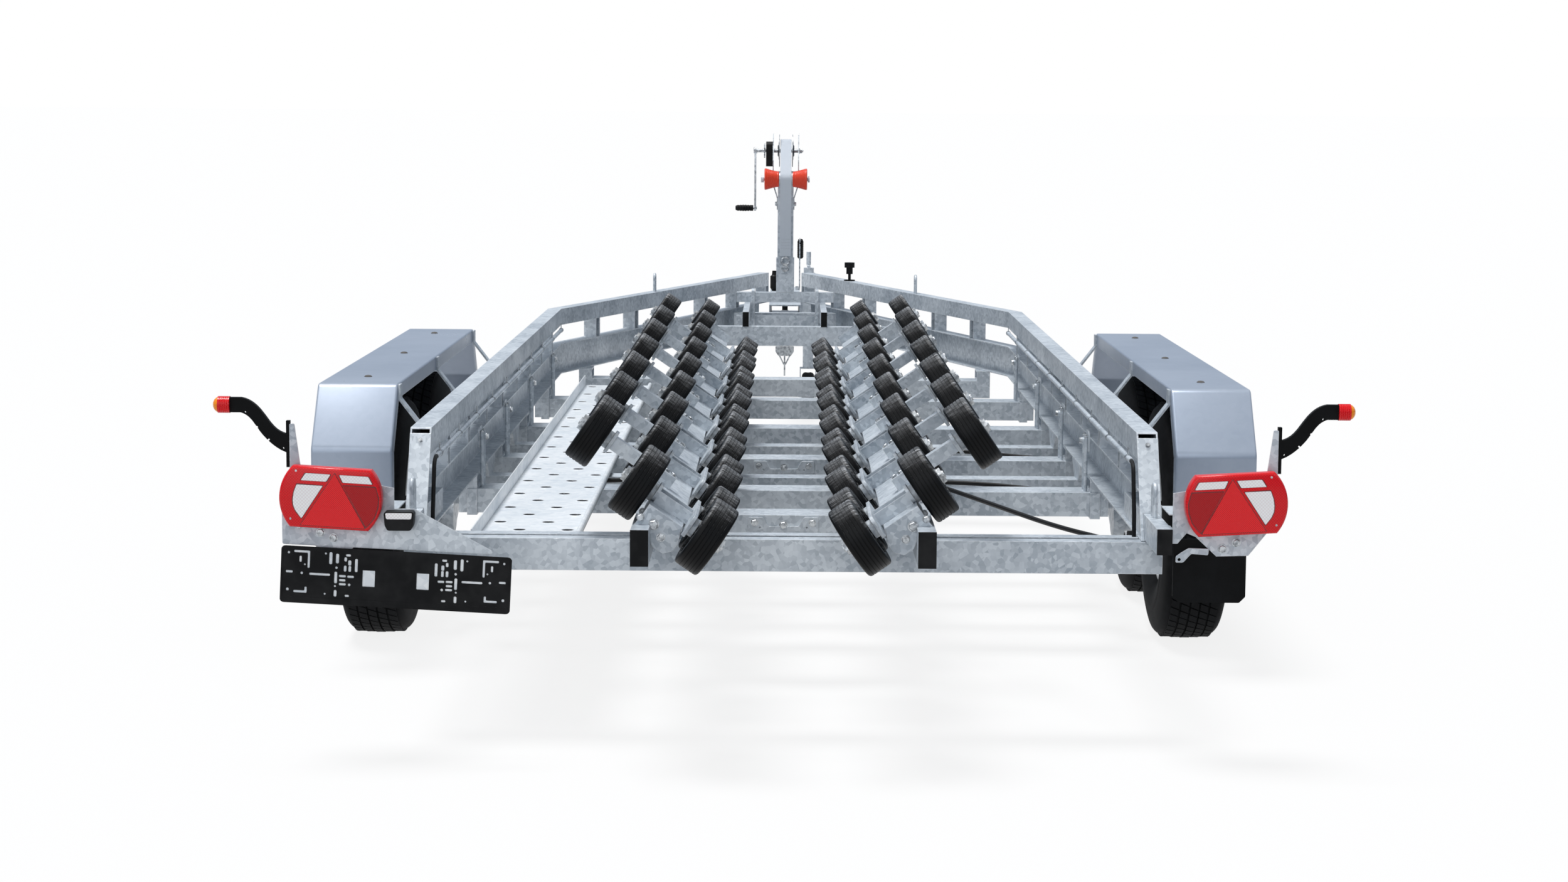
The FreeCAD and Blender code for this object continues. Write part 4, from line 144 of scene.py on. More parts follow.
def set_stops(ramp: bpy.types.Node, stops: Iterable[tuple[float, object]]) -> None:
    """Puts the colours on a colour ramp.

    Args:
        ramp: Its node.
        stops: Place and colour of each, from low to high, with the colour as hex or linear.
    """
    elements = ramp.color_ramp.elements
    for number, (position, colour) in enumerate(stops):
        element = elements[number] if number < len(elements) else elements.new(position)
        element.position = position
        element.color = linear(colour) if isinstance(colour, str) else colour


class Wires:
    """Short ways to add nodes to a tree."""

    def __init__(self, tree: bpy.types.NodeTree) -> None:
        """Empties the tree that gets the nodes."""
        tree.nodes.clear()
        self.tree = tree

    def add(self, kind: str, values: Values | None = None) -> bpy.types.Node:
        """Adds a node.

        Args:
            kind: Blender's type name of the node.
            values: Its properties and inputs, by name or number. A socket is linked, and the key
                "stops" holds the colours of a ramp.

        Returns:
            The new node.
        """
        node = self.tree.nodes.new(kind)
        for key, value in (values or {}).items():
            if key == "stops":
                set_stops(node, value)
            elif isinstance(value, Socket):
                self.tree.links.new(value, node.inputs[key])
            elif isinstance(key, str) and hasattr(node, key):
                setattr(node, key, value)
            else:
                node.inputs[key].default_value = value
        return node

    def get(self, kind: str, values: Values | None = None, output: str | int = 0) -> Socket:
        """Adds a node and returns one of its outputs."""
        return self.add(kind, values).outputs[output]


class Coat(Wires):
    """Tree of a material: a Principled shader, and the Object coordinates of its patterns."""

    def __init__(self, tree: bpy.types.NodeTree) -> None:
        """Joins the shader to the output of the tree.

        Args:
            tree: Tree of the material.
        """
        super().__init__(tree)
        self.shader = self.add("ShaderNodeBsdfPrincipled")
        self.add("ShaderNodeOutputMaterial", {"Surface": self.shader.outputs["BSDF"]})
        self.place = self.get("ShaderNodeTexCoord", output="Object")

    def put(self, name: str, value: Socket | float) -> None:
        """Feeds an input of the shader, by a link or by a constant on its own socket.

        Args:
            name: Name of the input.
            value: Socket or constant.
        """
        if isinstance(value, Socket):
            self.tree.links.new(value, self.shader.inputs[name])
        else:
            self.shader.inputs[name].default_value = value


class PatternTree(Wires):
    """Geometry Nodes tree that stands copies of an item on points and gives them a finish."""

    def __init__(self, name: str, **inputs: str) -> None:
        """Makes the tree with its inputs.

        Args:
            name: Name of the tree.
            inputs: Name and kind of each input besides the geometry.
        """
        super().__init__(bpy.data.node_groups.new(name, "GeometryNodeTree"))
        sockets = self.tree.interface
        for title, kind in {"Geometry": "Geometry", **inputs, "Finish": "Material"}.items():
            sockets.new_socket(title, in_out="INPUT", socket_type="NodeSocket" + kind)
        sockets.new_socket("Geometry", in_out="OUTPUT", socket_type="NodeSocketGeometry")
        self.given = self.add("NodeGroupInput").outputs

    def stand(self, points: Socket, rotation: Socket, scale: Socket | None = None) -> Socket:
        """Stands the item on points.

        Args:
            points: The points.
            rotation: How each copy is turned.
            scale: How large each copy is, if not as large as the item.

        Returns:
            The copies.
        """
        item = self.get("GeometryNodeObjectInfo", {"Object": self.given["Item"]}, "Geometry")
        copies = {"Points": points, "Instance": item, "Rotation": rotation}
        if scale is not None:
            copies["Scale"] = scale
        return self.get("GeometryNodeInstanceOnPoints", copies)

    def close(self, geometry: Socket) -> None:
        """Makes the copies real, gives them the finish and hands them out.

        Args:
            geometry: The copies and what goes with them.
        """
        real = self.get("GeometryNodeRealizeInstances", {"Geometry": geometry})
        dressed = self.get("GeometryNodeSetMaterial", {"Geometry": real, "Material": self.given["Finish"]})
        self.add("NodeGroupOutput", {"Geometry": dressed})

    def bake(self, host: Piece, **values: object) -> bpy.types.Mesh:
        """Runs the tree on a host and returns the result as a plain mesh.

        Args:
            host: Object that gets the modifier for a moment.
            values: Values of the inputs by name.

        Returns:
            The new mesh.
        """
        modifier = host.modifiers.new("pattern", "NODES")
        modifier.node_group = self.tree
        for socket in self.tree.interface.items_tree:
            if socket.item_type == "SOCKET" and socket.in_out == "INPUT" and socket.name in values:
                modifier[socket.identifier] = values[socket.name]
        data = evaluated(host)
        host.modifiers.remove(modifier)
        return data


# Finishes


@dataclass(frozen=True)
class Finish:
    """What every finish shares: a name, and a Principled shader that the finish paints."""

    name: str

    def material(self) -> bpy.types.Material:
        """Builds the material the first time that it is asked for.

        Returns:
            The material.
        """
        found = bpy.data.materials.get(self.name)
        if found is None:
            found = bpy.data.materials.new(self.name)
            found.use_nodes = True
            self.paint(Coat(found.node_tree))
        return found

    def paint(self, coat: Coat) -> None:
        """Sets the shader's own values and patterns. Each finish has its own."""
        raise NotImplementedError


@dataclass(frozen=True)
class ZincCoat(Finish):
    """Hot-dip galvanised steel: pale grey zinc with a crystal spangle and cloudy dull areas.

    The spangle gives faint flakes up close, and the clouds give the blotches seen from afar.
    """

    bright: str = "#d6dde3"
    dull: str = "#959fa9"
    # Pale colour laid on the rounded edges: a painted highlight, partly edge wear.
    wear_and_edge_highlight: str = "#f4f6f8"
    blend: Point = (0.30, 0.68)
    spangle_mm: float = 11.0
    cloud_mm: float = 260.0
    cloud_detail: float = 6.0
    cloud_roughness: float = 0.62
    edge_mm: float = 1.8
    edge_match: Point = (0.99, 0.86)
    metallic: float = 0.22
    smooth: float = 0.27
    rough: float = 0.48
    relief_mm: float = 0.25
    flake_share: float = 0.22

    def paint(self, coat: Coat) -> None:
        """Mixes the spangle into the clouds for colour, gloss and a slight relief, and paints a pale
        highlight along the rounded edges.

        Args:
            coat: Tree of the material.
        """
        crystals = {"Scale": 1000 / self.spangle_mm, "Vector": coat.place}
        spangle = coat.get("ShaderNodeTexVoronoi", crystals, "Color")
        flake = coat.get("ShaderNodeSeparateColor", {"Color": spangle}, "Red")
        cloud = coat.get(
            "ShaderNodeTexNoise",
            {
                "Vector": coat.place,
                "Scale": 1000 / self.cloud_mm,
                "Detail": self.cloud_detail,
                "Roughness": self.cloud_roughness,
            },
            "Fac",
        )
        mixed = {"data_type": "FLOAT", "Factor": self.flake_share, "A": cloud, "B": flake}
        value = coat.get("ShaderNodeMix", mixed, "Result")
        sheet = coat.get(
            "ShaderNodeValToRGB",
            {"Fac": value, "stops": zip(self.blend, (self.dull, self.bright))},
        )
        normal = coat.get("ShaderNodeBevel", {"samples": 4, "Radius": self.edge_mm * MM})
        flat = coat.get("ShaderNodeNewGeometry", output="Normal")
        match = coat.get("ShaderNodeVectorMath", {"operation": "DOT_PRODUCT", 0: normal, 1: flat}, "Value")
        most, least = self.edge_match
        edge = coat.get("ShaderNodeMapRange", {"From Min": most, "From Max": least, "Value": match})
        # The base colour turns pale where the rounded edge bends the normal: a painted highlight along every
        # edge.
        coat.put(
            "Base Color",
            coat.get(
                "ShaderNodeMix",
                {"data_type": "RGBA", "Factor": edge, 6: sheet, 7: linear(self.wear_and_edge_highlight)},
                2,
            ),
        )
        coat.put(
            "Roughness",
            coat.get("ShaderNodeMapRange", {"Value": value, "To Min": self.rough, "To Max": self.smooth}),
        )
        coat.put("Metallic", self.metallic)
        coat.put(
            "Normal",
            coat.get("ShaderNodeBump", {"Height": value, "Distance": self.relief_mm * MM, "Normal": normal}),
        )


@dataclass(frozen=True)
class PlatedSteel(Finish):
    """Electro-plated steel of bolts and winch parts: smooth and bright, with dull handled patches."""

    colour: str = "#c3c7ca"
    # Dull tone of the handled patches: real wear, with no painted highlight.
    wear_and_edge_highlight: str = "#85898d"
    blend: Point = (0.35, 0.6)
    wear_mm: float = 9.0
    wear_detail: float = 4.0
    roughness: float = 0.26
    worn_roughness: float = 0.4

    def paint(self, coat: Coat) -> None:
        """Dulls the bright plating in small patches, as handling does.

        Args:
            coat: Tree of the material.
        """
        wear = coat.get(
            "ShaderNodeTexNoise",
            {"Vector": coat.place, "Scale": 1000 / self.wear_mm, "Detail": self.wear_detail},
            "Fac",
        )
        coat.put(
            "Base Color",
            coat.get("ShaderNodeValToRGB", {"Fac": wear, "stops": zip(self.blend, (self.wear_and_edge_highlight, self.colour))}),
        )
        coat.put(
            "Roughness",
            coat.get(
                "ShaderNodeMapRange",
                {"Value": wear, "To Min": self.worn_roughness, "To Max": self.roughness},
            ),
        )
        coat.put("Metallic", 1.0)


@dataclass(frozen=True)
class Paint(Finish):
    """Baked paint over steel, with the orange peel of a sprayed coat and faint dust."""

    colour: str = "#2a2b2d"
    metallic: float = 0.0
    roughness: float = 0.42
    peel_mm: float = 4.0
    peel_depth_mm: float = 0.05
    dust_mm: float = 1000 / 12
    dust_detail: float = 6.0
    dust_share: float = 0.2
    dust_tone: float = 0.05
    blend: Point = (0.42, 0.75)
    gloss_spread: Point = (-0.06, 0.14)

    def paint(self, coat: Coat) -> None:
        """Varies the gloss with a fine peel and the colour with dust.

        Args:
            coat: Tree of the material.
        """
        dust = coat.get(
            "ShaderNodeTexNoise",
            {"Vector": coat.place, "Scale": 1000 / self.dust_mm, "Detail": self.dust_detail},
            "Fac",
        )
        base = linear(self.colour)
        dusty = [part * (1 - self.dust_share) + self.dust_tone for part in base[:3]]
        coat.put(
            "Base Color",
            coat.get("ShaderNodeValToRGB", {"Fac": dust, "stops": zip(self.blend, (base, (*dusty, 1.0)))}),
        )
        low, high = (self.roughness + spread for spread in self.gloss_spread)
        coat.put("Roughness", coat.get("ShaderNodeMapRange", {"Value": dust, "To Min": low, "To Max": high}))
        coat.put("Metallic", self.metallic)
        coat.put(
            "Normal",
            coat.get(
                "ShaderNodeBump",
                {
                    "Height": coat.get(
                        "ShaderNodeTexNoise",
                        {"Vector": coat.place, "Scale": 1000 / self.peel_mm},
                        "Fac",
                    ),
                    "Distance": self.peel_depth_mm * MM,
                },
            ),
        )


@dataclass(frozen=True)
class Rubber(Finish):
    """Moulded black rubber: deep black, with a bloom of dust that lifts it in places."""

    colour: str = "#15161a"
    dust: str = "#3a3c40"
    blend: Point = (0.45, 0.85)
    grain_mm: float = 1.6
    grain_depth_mm: float = 0.12
    bloom_mm: float = 60.0
    bloom_detail: float = 7.0
    bloom_roughness: float = 0.65
    roughness: float = 0.5
    dusty_roughness: float = 0.25
    gloss: float = 0.1

    def paint(self, coat: Coat) -> None:
        """Clouds the black with dust and breaks the gloss with a moulded grain.

        Args:
            coat: Tree of the material.
        """
        bloom = coat.get(
            "ShaderNodeTexNoise",
            {
                "Vector": coat.place,
                "Scale": 1000 / self.bloom_mm,
                "Detail": self.bloom_detail,
                "Roughness": self.bloom_roughness,
            },
            "Fac",
        )
        coat.put(
            "Base Color",
            coat.get(
                "ShaderNodeValToRGB",
                {"Fac": bloom, "stops": zip(self.blend, (self.colour, self.dust))},
            ),
        )
        coat.put(
            "Roughness",
            coat.get(
                "ShaderNodeMapRange",
                {"Value": bloom, "To Min": self.roughness, "To Max": self.roughness + self.dusty_roughness},
            ),
        )
        coat.put("Specular IOR Level", self.gloss)
        coat.put(
            "Normal",
            coat.get(
                "ShaderNodeBump",
                {
                    "Height": coat.get(
                        "ShaderNodeTexNoise",
                        {"Vector": coat.place, "Scale": 1000 / self.grain_mm},
                        "Fac",
                    ),
                    "Distance": self.grain_depth_mm * MM,
                },
            ),
        )


@dataclass(frozen=True)
class TreadRubber(Finish):
    """Soft roller rubber: black, with fine streaks that are painted pale on its skyward side as a painted
    sheen.
    """

    colour: str = "#050608"
    # Pale colour of the streaks on upward faces: a painted sheen.
    streak_sheen: str = "#a9abae"
    blend: Point = (0.0, 0.9)
    streak_mm: float = 2.6
    length_mm: float = 42.0
    streak_range: Point = (0.42, 0.66)
    streak_detail: float = 3.0
    streak_depth_mm: float = 0.1
    roughness: float = 0.42
    gloss: float = 0.14

    def paint(self, coat: Coat) -> None:
        """Draws streaks across the tread on the roller's own map, and paints them pale as a sheen where its
        face looks up.

        Args:
            coat: Tree of the material.
        """
        own = coat.get("ShaderNodeUVMap", {"uv_map": "tread"}, "UV")
        fineness = (1000 / self.streak_mm, 1000 / self.length_mm, 0.0)
        drawn_out = coat.get("ShaderNodeVectorMath", {"operation": "MULTIPLY", 0: own, 1: fineness})
        coarse = {"Scale": 1.0, "Detail": self.streak_detail, "Vector": drawn_out}
        drawn = coat.get("ShaderNodeTexNoise", coarse, "Fac")
        low, high = self.streak_range
        lines = coat.get("ShaderNodeMapRange", {"From Min": low, "From Max": high, "Value": drawn})
        skyward = coat.get("ShaderNodeAttribute", {"attribute_name": "skyward"}, "Fac")
        share = coat.get("ShaderNodeMath", {"operation": "MULTIPLY", 0: lines, 1: skyward})
        # The streak colour only shows where the face looks up: a painted sheen of the marks catching sky
        # light.
        coat.put(
            "Base Color",
            coat.get(
                "ShaderNodeValToRGB",
                {"Fac": share, "stops": zip(self.blend, (self.colour, self.streak_sheen))},
            ),
        )
        coat.put("Roughness", self.roughness)
        coat.put("Specular IOR Level", self.gloss)
        coat.put(
            "Normal",
            coat.get("ShaderNodeBump", {"Height": drawn, "Distance": self.streak_depth_mm * MM}),
        )


@dataclass(frozen=True)
class MouldedPlastic(Finish):
    """Injection-moulded plastic with a fine spark-eroded grain and an even, soft gloss."""

    colour: str = "#0b0c0e"
    roughness: float = 0.42
    faded_roughness: float = 0.12
    gloss: float = 0.12
    grain_mm: float = 0.9
    grain_depth_mm: float = 0.05
    edge_mm: float = 1.5
    fade: float = 0.12
    fade_tone: float = 0.1
    fade_mm: float = 1000 / 18
    fade_detail: float = 3.0
    blend: Point = (0.4, 0.7)

    def paint(self, coat: Coat) -> None:
        """Gives the plastic its grain, and a slight fading in broad areas.

        Args:
            coat: Tree of the material.
        """
        broad = coat.get(
            "ShaderNodeTexNoise",
            {"Vector": coat.place, "Scale": 1000 / self.fade_mm, "Detail": self.fade_detail},
            "Fac",
        )
        base = linear(self.colour)
        faded = [part * (1 - self.fade) + self.fade * self.fade_tone for part in base[:3]]
        coat.put(
            "Base Color",
            coat.get("ShaderNodeValToRGB", {"Fac": broad, "stops": zip(self.blend, (base, (*faded, 1.0)))}),
        )
        coat.put(
            "Roughness",
            coat.get(
                "ShaderNodeMapRange",
                {"Value": broad, "To Min": self.roughness, "To Max": self.roughness + self.faded_roughness},
            ),
        )
        coat.put("Specular IOR Level", self.gloss)
        coat.put(
            "Normal",
            coat.get(
                "ShaderNodeBump",
                {
                    "Height": coat.get(
                        "ShaderNodeTexNoise",
                        {"Vector": coat.place, "Scale": 1000 / self.grain_mm},
                        "Fac",
                    ),
                    "Distance": self.grain_depth_mm * MM,
                    "Normal": coat.get("ShaderNodeBevel", {"samples": 4, "Radius": self.edge_mm * MM}),
                },
            ),
        )


@dataclass(frozen=True)
class PrismLens(Finish):
    """Moulded acrylic lens: glossy outside, with the small prisms of its inner face showing."""

    colour: str = "#c4101c"
    prism: str = "#e8242c"
    prism_mm: float = 3.2
    prism_depth_mm: float = 0.15
    roughness: float = 0.2
    gloss: float = 0.3
    acrylic_ior: float = 1.49

    def paint(self, coat: Coat) -> None:
        """Draws the prisms as a close checker of two tones under a clear glossy face.

        Args:
            coat: Tree of the material.
        """
        tones = {"Color1": linear(self.colour), "Color2": linear(self.prism)}
        cells = coat.add(
            "ShaderNodeTexChecker", {"Scale": 1000 / self.prism_mm, **tones, "Vector": coat.place}
        )
        coat.put("Base Color", cells.outputs["Color"])
        coat.put("Roughness", self.roughness)
        coat.put("Specular IOR Level", self.gloss)
        coat.put("IOR", self.acrylic_ior)
        coat.put(
            "Normal",
            coat.get(
                "ShaderNodeBump",
                {"Height": cells.outputs["Fac"], "Distance": self.prism_depth_mm * MM},
            ),
        )


@dataclass(frozen=True)
class Webbing(Finish):
    """Woven polyester strap: a pale twill whose yarns catch the light in fine rows."""

    colour: str = "#e9eef4"
    gap: str = "#aab4c0"
    blend: Point = (0.02, 0.4)
    yarn_mm: float = 2.4
    yarn_depth_mm: float = 0.5
    roughness: float = 0.68
    sheen: float = 0.3

    def paint(self, coat: Coat) -> None:
        """Crosses two sets of yarns on the strap's own map, drawn twice as coarse as life to show.

        Args:
            coat: Tree of the material.
        """
        own = coat.get("ShaderNodeUVMap", {"uv_map": "strap"}, "UV")
        waves = {"Scale": math.tau / 20 / (self.yarn_mm * MM), "Vector": own}
        warp, weft = (
            coat.get("ShaderNodeTexWave", {**waves, "bands_direction": way}, "Fac") for way in ("X", "Y")
        )
        weave = coat.get("ShaderNodeMath", {"operation": "MULTIPLY", 0: warp, 1: weft})
        coat.put(
            "Base Color",
            coat.get("ShaderNodeValToRGB", {"Fac": weave, "stops": zip(self.blend, (self.gap, self.colour))}),
        )
        coat.put("Roughness", self.roughness)
        coat.put("Sheen Weight", self.sheen)
        coat.put("Normal", coat.get("ShaderNodeBump", {"Height": weave, "Distance": self.yarn_depth_mm * MM}))


ZINC = ZincCoat("hot-dip galvanised steel")
# Darker, bluer zinc for the mudguard sheet: partly a duller sheet, partly painted shade and sky reflection of
# its faces.
ZINC_SHEET = ZincCoat(
    "galvanised mudguard sheet", bright="#a6b0bf", dull="#8c98a9", wear_and_edge_highlight="#dfe6ee", spangle_mm=16.0,
    cloud_mm=620.0, metallic=0.3, smooth=0.24, rough=0.34, relief_mm=0.02, flake_share=0.04,
)
ZINC_TREAD = ZincCoat(
    "galvanised walkway sheet", bright="#f0f3f5", dull="#ccd4db", spangle_mm=16.0, metallic=0.1,
    relief_mm=0.06,
)
PLATED = PlatedSteel("electro-plated steel")
COUPLING_PAINT = Paint("black coupling paint", colour="#151618")
CAST_IRON = Paint("dull cast drum", colour="#4a4744", roughness=0.7)
RIM_PAINT = Paint("silver rim paint", colour="#b9bcbf", metallic=0.6, roughness=0.36)
TYRE_RUBBER = Rubber("road tyre rubber", colour="#0d0e10", dust="#27282a", roughness=0.62)
ROLLER_RUBBER = TreadRubber("hull roller rubber")
FLAP_RUBBER = Rubber("mud flap rubber", colour="#08090a", dust="#18191b", bloom_mm=90.0)
CABLE_SHEATH = Rubber("black cable sheath", colour="#08080a", dust="#1a1a1c", roughness=0.42, gloss=0.2)
# Dark inside of the punched holes: partly dirt, partly painted shade of the hole's throat.
SHADED_PUNCHED_EDGE = Paint("dull punched edge", colour="#2f3338", roughness=0.6)
STRAP_THREAD = MouldedPlastic("strap thread", colour="#8d9298")
BLACK_PLASTIC = MouldedPlastic("black moulded plastic")
ORANGE_POLYMER = MouldedPlastic("orange bow roller polymer", colour="#e23a14", roughness=0.3, gloss=0.4)
LENS_RED = PrismLens("red lens", colour="#d20a16", prism="#e6141e")
LENS_DEEP_RED = PrismLens("deep red lens", colour="#a2060f", prism="#bd0c16", prism_mm=2.6)
LENS_SEAM = Paint("dark seam of the lens", colour="#5c0a10", roughness=0.3)
LENS_AMBER = PrismLens("amber lens", colour="#f08a10", prism="#ff9c1c")
LENS_CLEAR = PrismLens("clear lens", colour="#f4eeef", prism="#ffffff", prism_mm=3.8)
REFLECTOR_RED = PrismLens("red reflector", colour="#d40c16", prism="#ff2a30", prism_mm=2.2)
STRAP = Webbing("winch webbing")

SLOT_FINISHES: dict[str, Finish] = {
    "galvanised_steel": ZINC,
    "walkway_sheet": ZINC_SHEET,
    "plated_steel": PLATED,
    "coupling_steel": COUPLING_PAINT,
    "rim_steel": RIM_PAINT,
    "tyre_rubber": TYRE_RUBBER,
    "roller_rubber": TYRE_RUBBER,
    "jockey_rubber": TYRE_RUBBER,
    "flap_rubber": FLAP_RUBBER,
    "bow_roller_plastic": ORANGE_POLYMER,
    "strap_webbing": STRAP,
    "tail_light": LENS_RED,
    "marker_light": LENS_RED,
    "plate_surface": BLACK_PLASTIC,
    "black_plastic": BLACK_PLASTIC,
}


# Meshes and patterns


def frame_on(origin: Vector, axis: Vector, up: Vector = UP) -> Matrix:
    """Makes a frame whose Z runs along an axis.

    Args:
        origin: Its origin.
        axis: Way of its Z.
        up: Way that its Y leans to.

    Returns:
        The matrix from the local frame to the trailer's.
    """
    z = axis.normalized()
    if abs(z.dot(up)) > 0.99:
        up = FORWARDS
    x = up.cross(z).normalized()
    matrix = Matrix((x, z.cross(x), z)).transposed().to_4x4()
    matrix.translation = origin
    return matrix


def rear_frame(x: float, y: float, z: float, tilt_deg: float = 0.0, side: Side = Side.RIGHT) -> Matrix:
    """Makes a frame whose Z looks to the rear and whose Y looks up.

    Args:
        x: Place of its origin across the trailer.
        y: Place along it.
        z: Height of it.
        tilt_deg: How far its X rises.
        side: Side that its X points to.

    Returns:
        The matrix from the local frame to the trailer's.
    """
    tilt = math.radians(tilt_deg)
    outwards = side.point(math.cos(tilt), 0.0, math.sin(tilt))
    up = side.point(-math.sin(tilt), 0.0, math.cos(tilt))
    matrix = Matrix((outwards, up, BACKWARDS)).transposed().to_4x4()
    matrix.translation = (x, y, z)
    return matrix


def link(name: str, data: bpy.types.ID) -> Piece:
    """Makes an object of a mesh, curve, light or camera.

    Args:
        name: Its name.
        data: What it shows.

    Returns:
        The object, at the origin.
    """
    piece = bpy.data.objects.new(name, data)
    bpy.context.scene.collection.objects.link(piece)
    return piece


def evaluated(host: Piece) -> bpy.types.Mesh:
    """Returns the mesh that an object ends up with, as a mesh of its own."""
    bpy.context.view_layer.update()
    return bpy.data.meshes.new_from_object(host.evaluated_get(bpy.context.evaluated_depsgraph_get()))


def discard(*items: Piece) -> None:
    """Removes objects that were only the originals of copies."""
    for item in items:
        bpy.data.objects.remove(item)


def shade_mesh(data: bpy.types.Mesh, shade: Shade) -> None:
    """Shades a mesh smooth up to the angle that its shading keeps sharp.

    Args:
        data: The mesh.
        shade: Its shading.
    """
    data.polygons.foreach_set("use_smooth", [True] * len(data.polygons))
    data.set_sharp_from_angle(angle=math.radians(shade.value))
    data.update()


class Mould:
    """A mesh that is put together from lathed, extruded and swept bodies, then cleaned."""

    def __init__(self) -> None:
        """Starts with nothing."""
        self.mesh = bmesh.new()

    @classmethod
    def of_curve(cls, curve: bpy.types.Curve) -> "Mould":
        """Turns a curve into a mould.

        Args:
            curve: The curve, which is used up.

        Returns:
            The mould.
        """
        host = link(curve.name, curve)
        data = evaluated(host)
        discard(host)
        mould = cls()
        mould.mesh.from_mesh(data)
        bpy.data.meshes.remove(data)
        return mould

    def ring(self, outline: Iterable[Point], height: float, place: Matrix) -> list[bmesh.types.BMVert]:
        """Adds the corners of an outline at a height of a frame."""
        return [self.mesh.verts.new(place @ Vector((x, y, height))) for x, y in outline]

    def sleeve(self, rings: list[list[bmesh.types.BMVert]]) -> None:
        """Joins closed rings of equal length by faces.

        Args:
            rings: The rings, in order.
        """
        for first, second in zip(rings, rings[1:]):
            for k in range(len(first)):
                m = (k + 1) % len(first)
                self.mesh.faces.new((first[k], first[m], second[m], second[k]))

    def skin(self, rings: list[list[bmesh.types.BMVert]]) -> None:
        """Joins closed rings of equal length by faces and closes both ends.

        Args:
            rings: The rings, in order.
        """
        self.sleeve(rings)
        self.mesh.faces.new(rings[0][::-1])
        self.mesh.faces.new(rings[-1])

    def lathe(self, profile: Iterable[Point], segments: int, place: Matrix = Matrix.Identity(4)) -> None:
        """Turns a closed profile about local Z.

        Args:
            profile: Heights and radii, in order round the section.
            segments: Steps round the axis.
            place: Frame of the body.
        """
        profile = list(profile)
        rings = [
            [self.mesh.verts.new(place @ Vector((r * c, r * s, z))) for z, r in profile]
            for c, s in circle(1.0, segments)
        ]
        for i, ring in enumerate(rings):
            following = rings[(i + 1) % segments]
            for j in range(len(profile)):
                k = (j + 1) % len(profile)
                if profile[j][1] > 0.0 or profile[k][1] > 0.0:
                    self.mesh.faces.new((ring[j], ring[k], following[k], following[j]))

    def rod(self, low: float, high: float, radius: float, segments: int,
            place: Matrix = Matrix.Identity(4)) -> None:
        """Adds a plain round bar about local Z."""
        self.lathe([(low, 0.0), (low, radius), (high, radius), (high, 0.0)], segments, place)

    def plate(self, outline: Outline, low: float, high: float, place: Matrix = Matrix.Identity(4)) -> None:
        """Extrudes an outline along local Z, from one height to another."""
        self.skin([self.ring(outline, height, place) for height in (low, high)])

    def bar(self, points: list[Vector], radius: float, sides: int = 10) -> None:
        """Sweeps a round section along a line of points.

        Args:
            points: The line.
            radius: Radius of the section.
            sides: Corners of the section.
        """
        places = [frame_on(point, way, OFF_AXIS) for point, way in steps_along(points)]
        self.skin([self.ring(circle(radius, sides), 0.0, place) for place in places])

    def soften(self, width: float, segments: int = 2) -> None:
        """Rounds every sharp edge.

        Args:
            width: Width of the rounding.
            segments: Steps across it.
        """
        sharp = [e for e in self.mesh.edges if e.is_manifold and e.calc_face_angle(0.0) > SHARP_TURN]
        bmesh.ops.bevel(
            self.mesh, geom=sharp, offset=width, segments=segments, affect="EDGES", profile=0.5,
            clamp_overlap=True,
        )

    def cast(self, name: str, finish: Finish, shade: Shade = Shade.EDGED) -> Piece:
        """Cleans the mesh and makes it an object.

        Args:
            name: Name of the object.
            finish: Its finish.
            shade: How its faces are shaded.

        Returns:
            The object, at the origin.
        """
        bmesh.ops.remove_doubles(self.mesh, verts=self.mesh.verts, dist=1e-6)
        bmesh.ops.recalc_face_normals(self.mesh, faces=self.mesh.faces)
        data = bpy.data.meshes.new(name)
        self.mesh.to_mesh(data)
        self.mesh.free()
        data.materials.append(finish.material())
        shade_mesh(data, shade)
        return link(name, data)


class Pattern(PatternTree):
    """Tree that stands a copy of an item on every point of a host, turned at random."""

    def __init__(self) -> None:
        """Builds the tree with its named inputs."""
        super().__init__("items on points", Item="Object", Seed="Int", Turn="Float")
        aim, size = (
            self.get("GeometryNodeInputNamedAttribute", {"data_type": kind, "Name": name}, "Attribute")
            for kind, name in (("FLOAT_VECTOR", "aim"), ("FLOAT", "size"))
        )
        facing = self.get("FunctionNodeAlignRotationToVector", {"axis": "Z", "Vector": aim})
        limits = {2: 0.0, 3: self.given["Turn"], "Seed": self.given["Seed"]}
        chance = self.get("FunctionNodeRandomValue", {"data_type": "FLOAT", **limits}, 1)
        twist = self.get("ShaderNodeCombineXYZ", {"Z": chance})
        turned = self.get(
            "FunctionNodeRotateRotation",
            {"rotation_space": "LOCAL", "Rotation": facing, "Rotate By": twist},
        )
        self.close(self.stand(self.given["Geometry"], turned, size))

    def lay(self, name: str, item: Piece, spots: list[Spot], finish: Finish, turn: float = 0.0) -> Piece:
        """Stands an item on spots and bakes the result to a plain mesh.

        Args:
            name: Name of the piece.
            item: Object whose Z is turned to each spot's way.
            spots: Place, way and scale of each copy.
            finish: Finish of the copies.
            turn: Largest random turn about the way, in radians.

        Returns:
            The piece, at the origin.
        """
        points = bpy.data.meshes.new(name)
        points.from_pydata([tuple(place) for place, _, _ in spots], [], [])
        aim = points.attributes.new("aim", "FLOAT_VECTOR", "POINT")
        aim.data.foreach_set("vector", [x for _, way, _ in spots for x in way.normalized()])
        size = points.attributes.new("size", "FLOAT", "POINT")
        size.data.foreach_set("value", [scale for _, _, scale in spots])
        host = link(name + "_points", points)
        data = self.bake(host, Item=item, Finish=finish.material(), Seed=7, Turn=turn)
        discard(host)
        data.name = name
        shade_mesh(data, Shade.EDGED)
        return link(name, data)


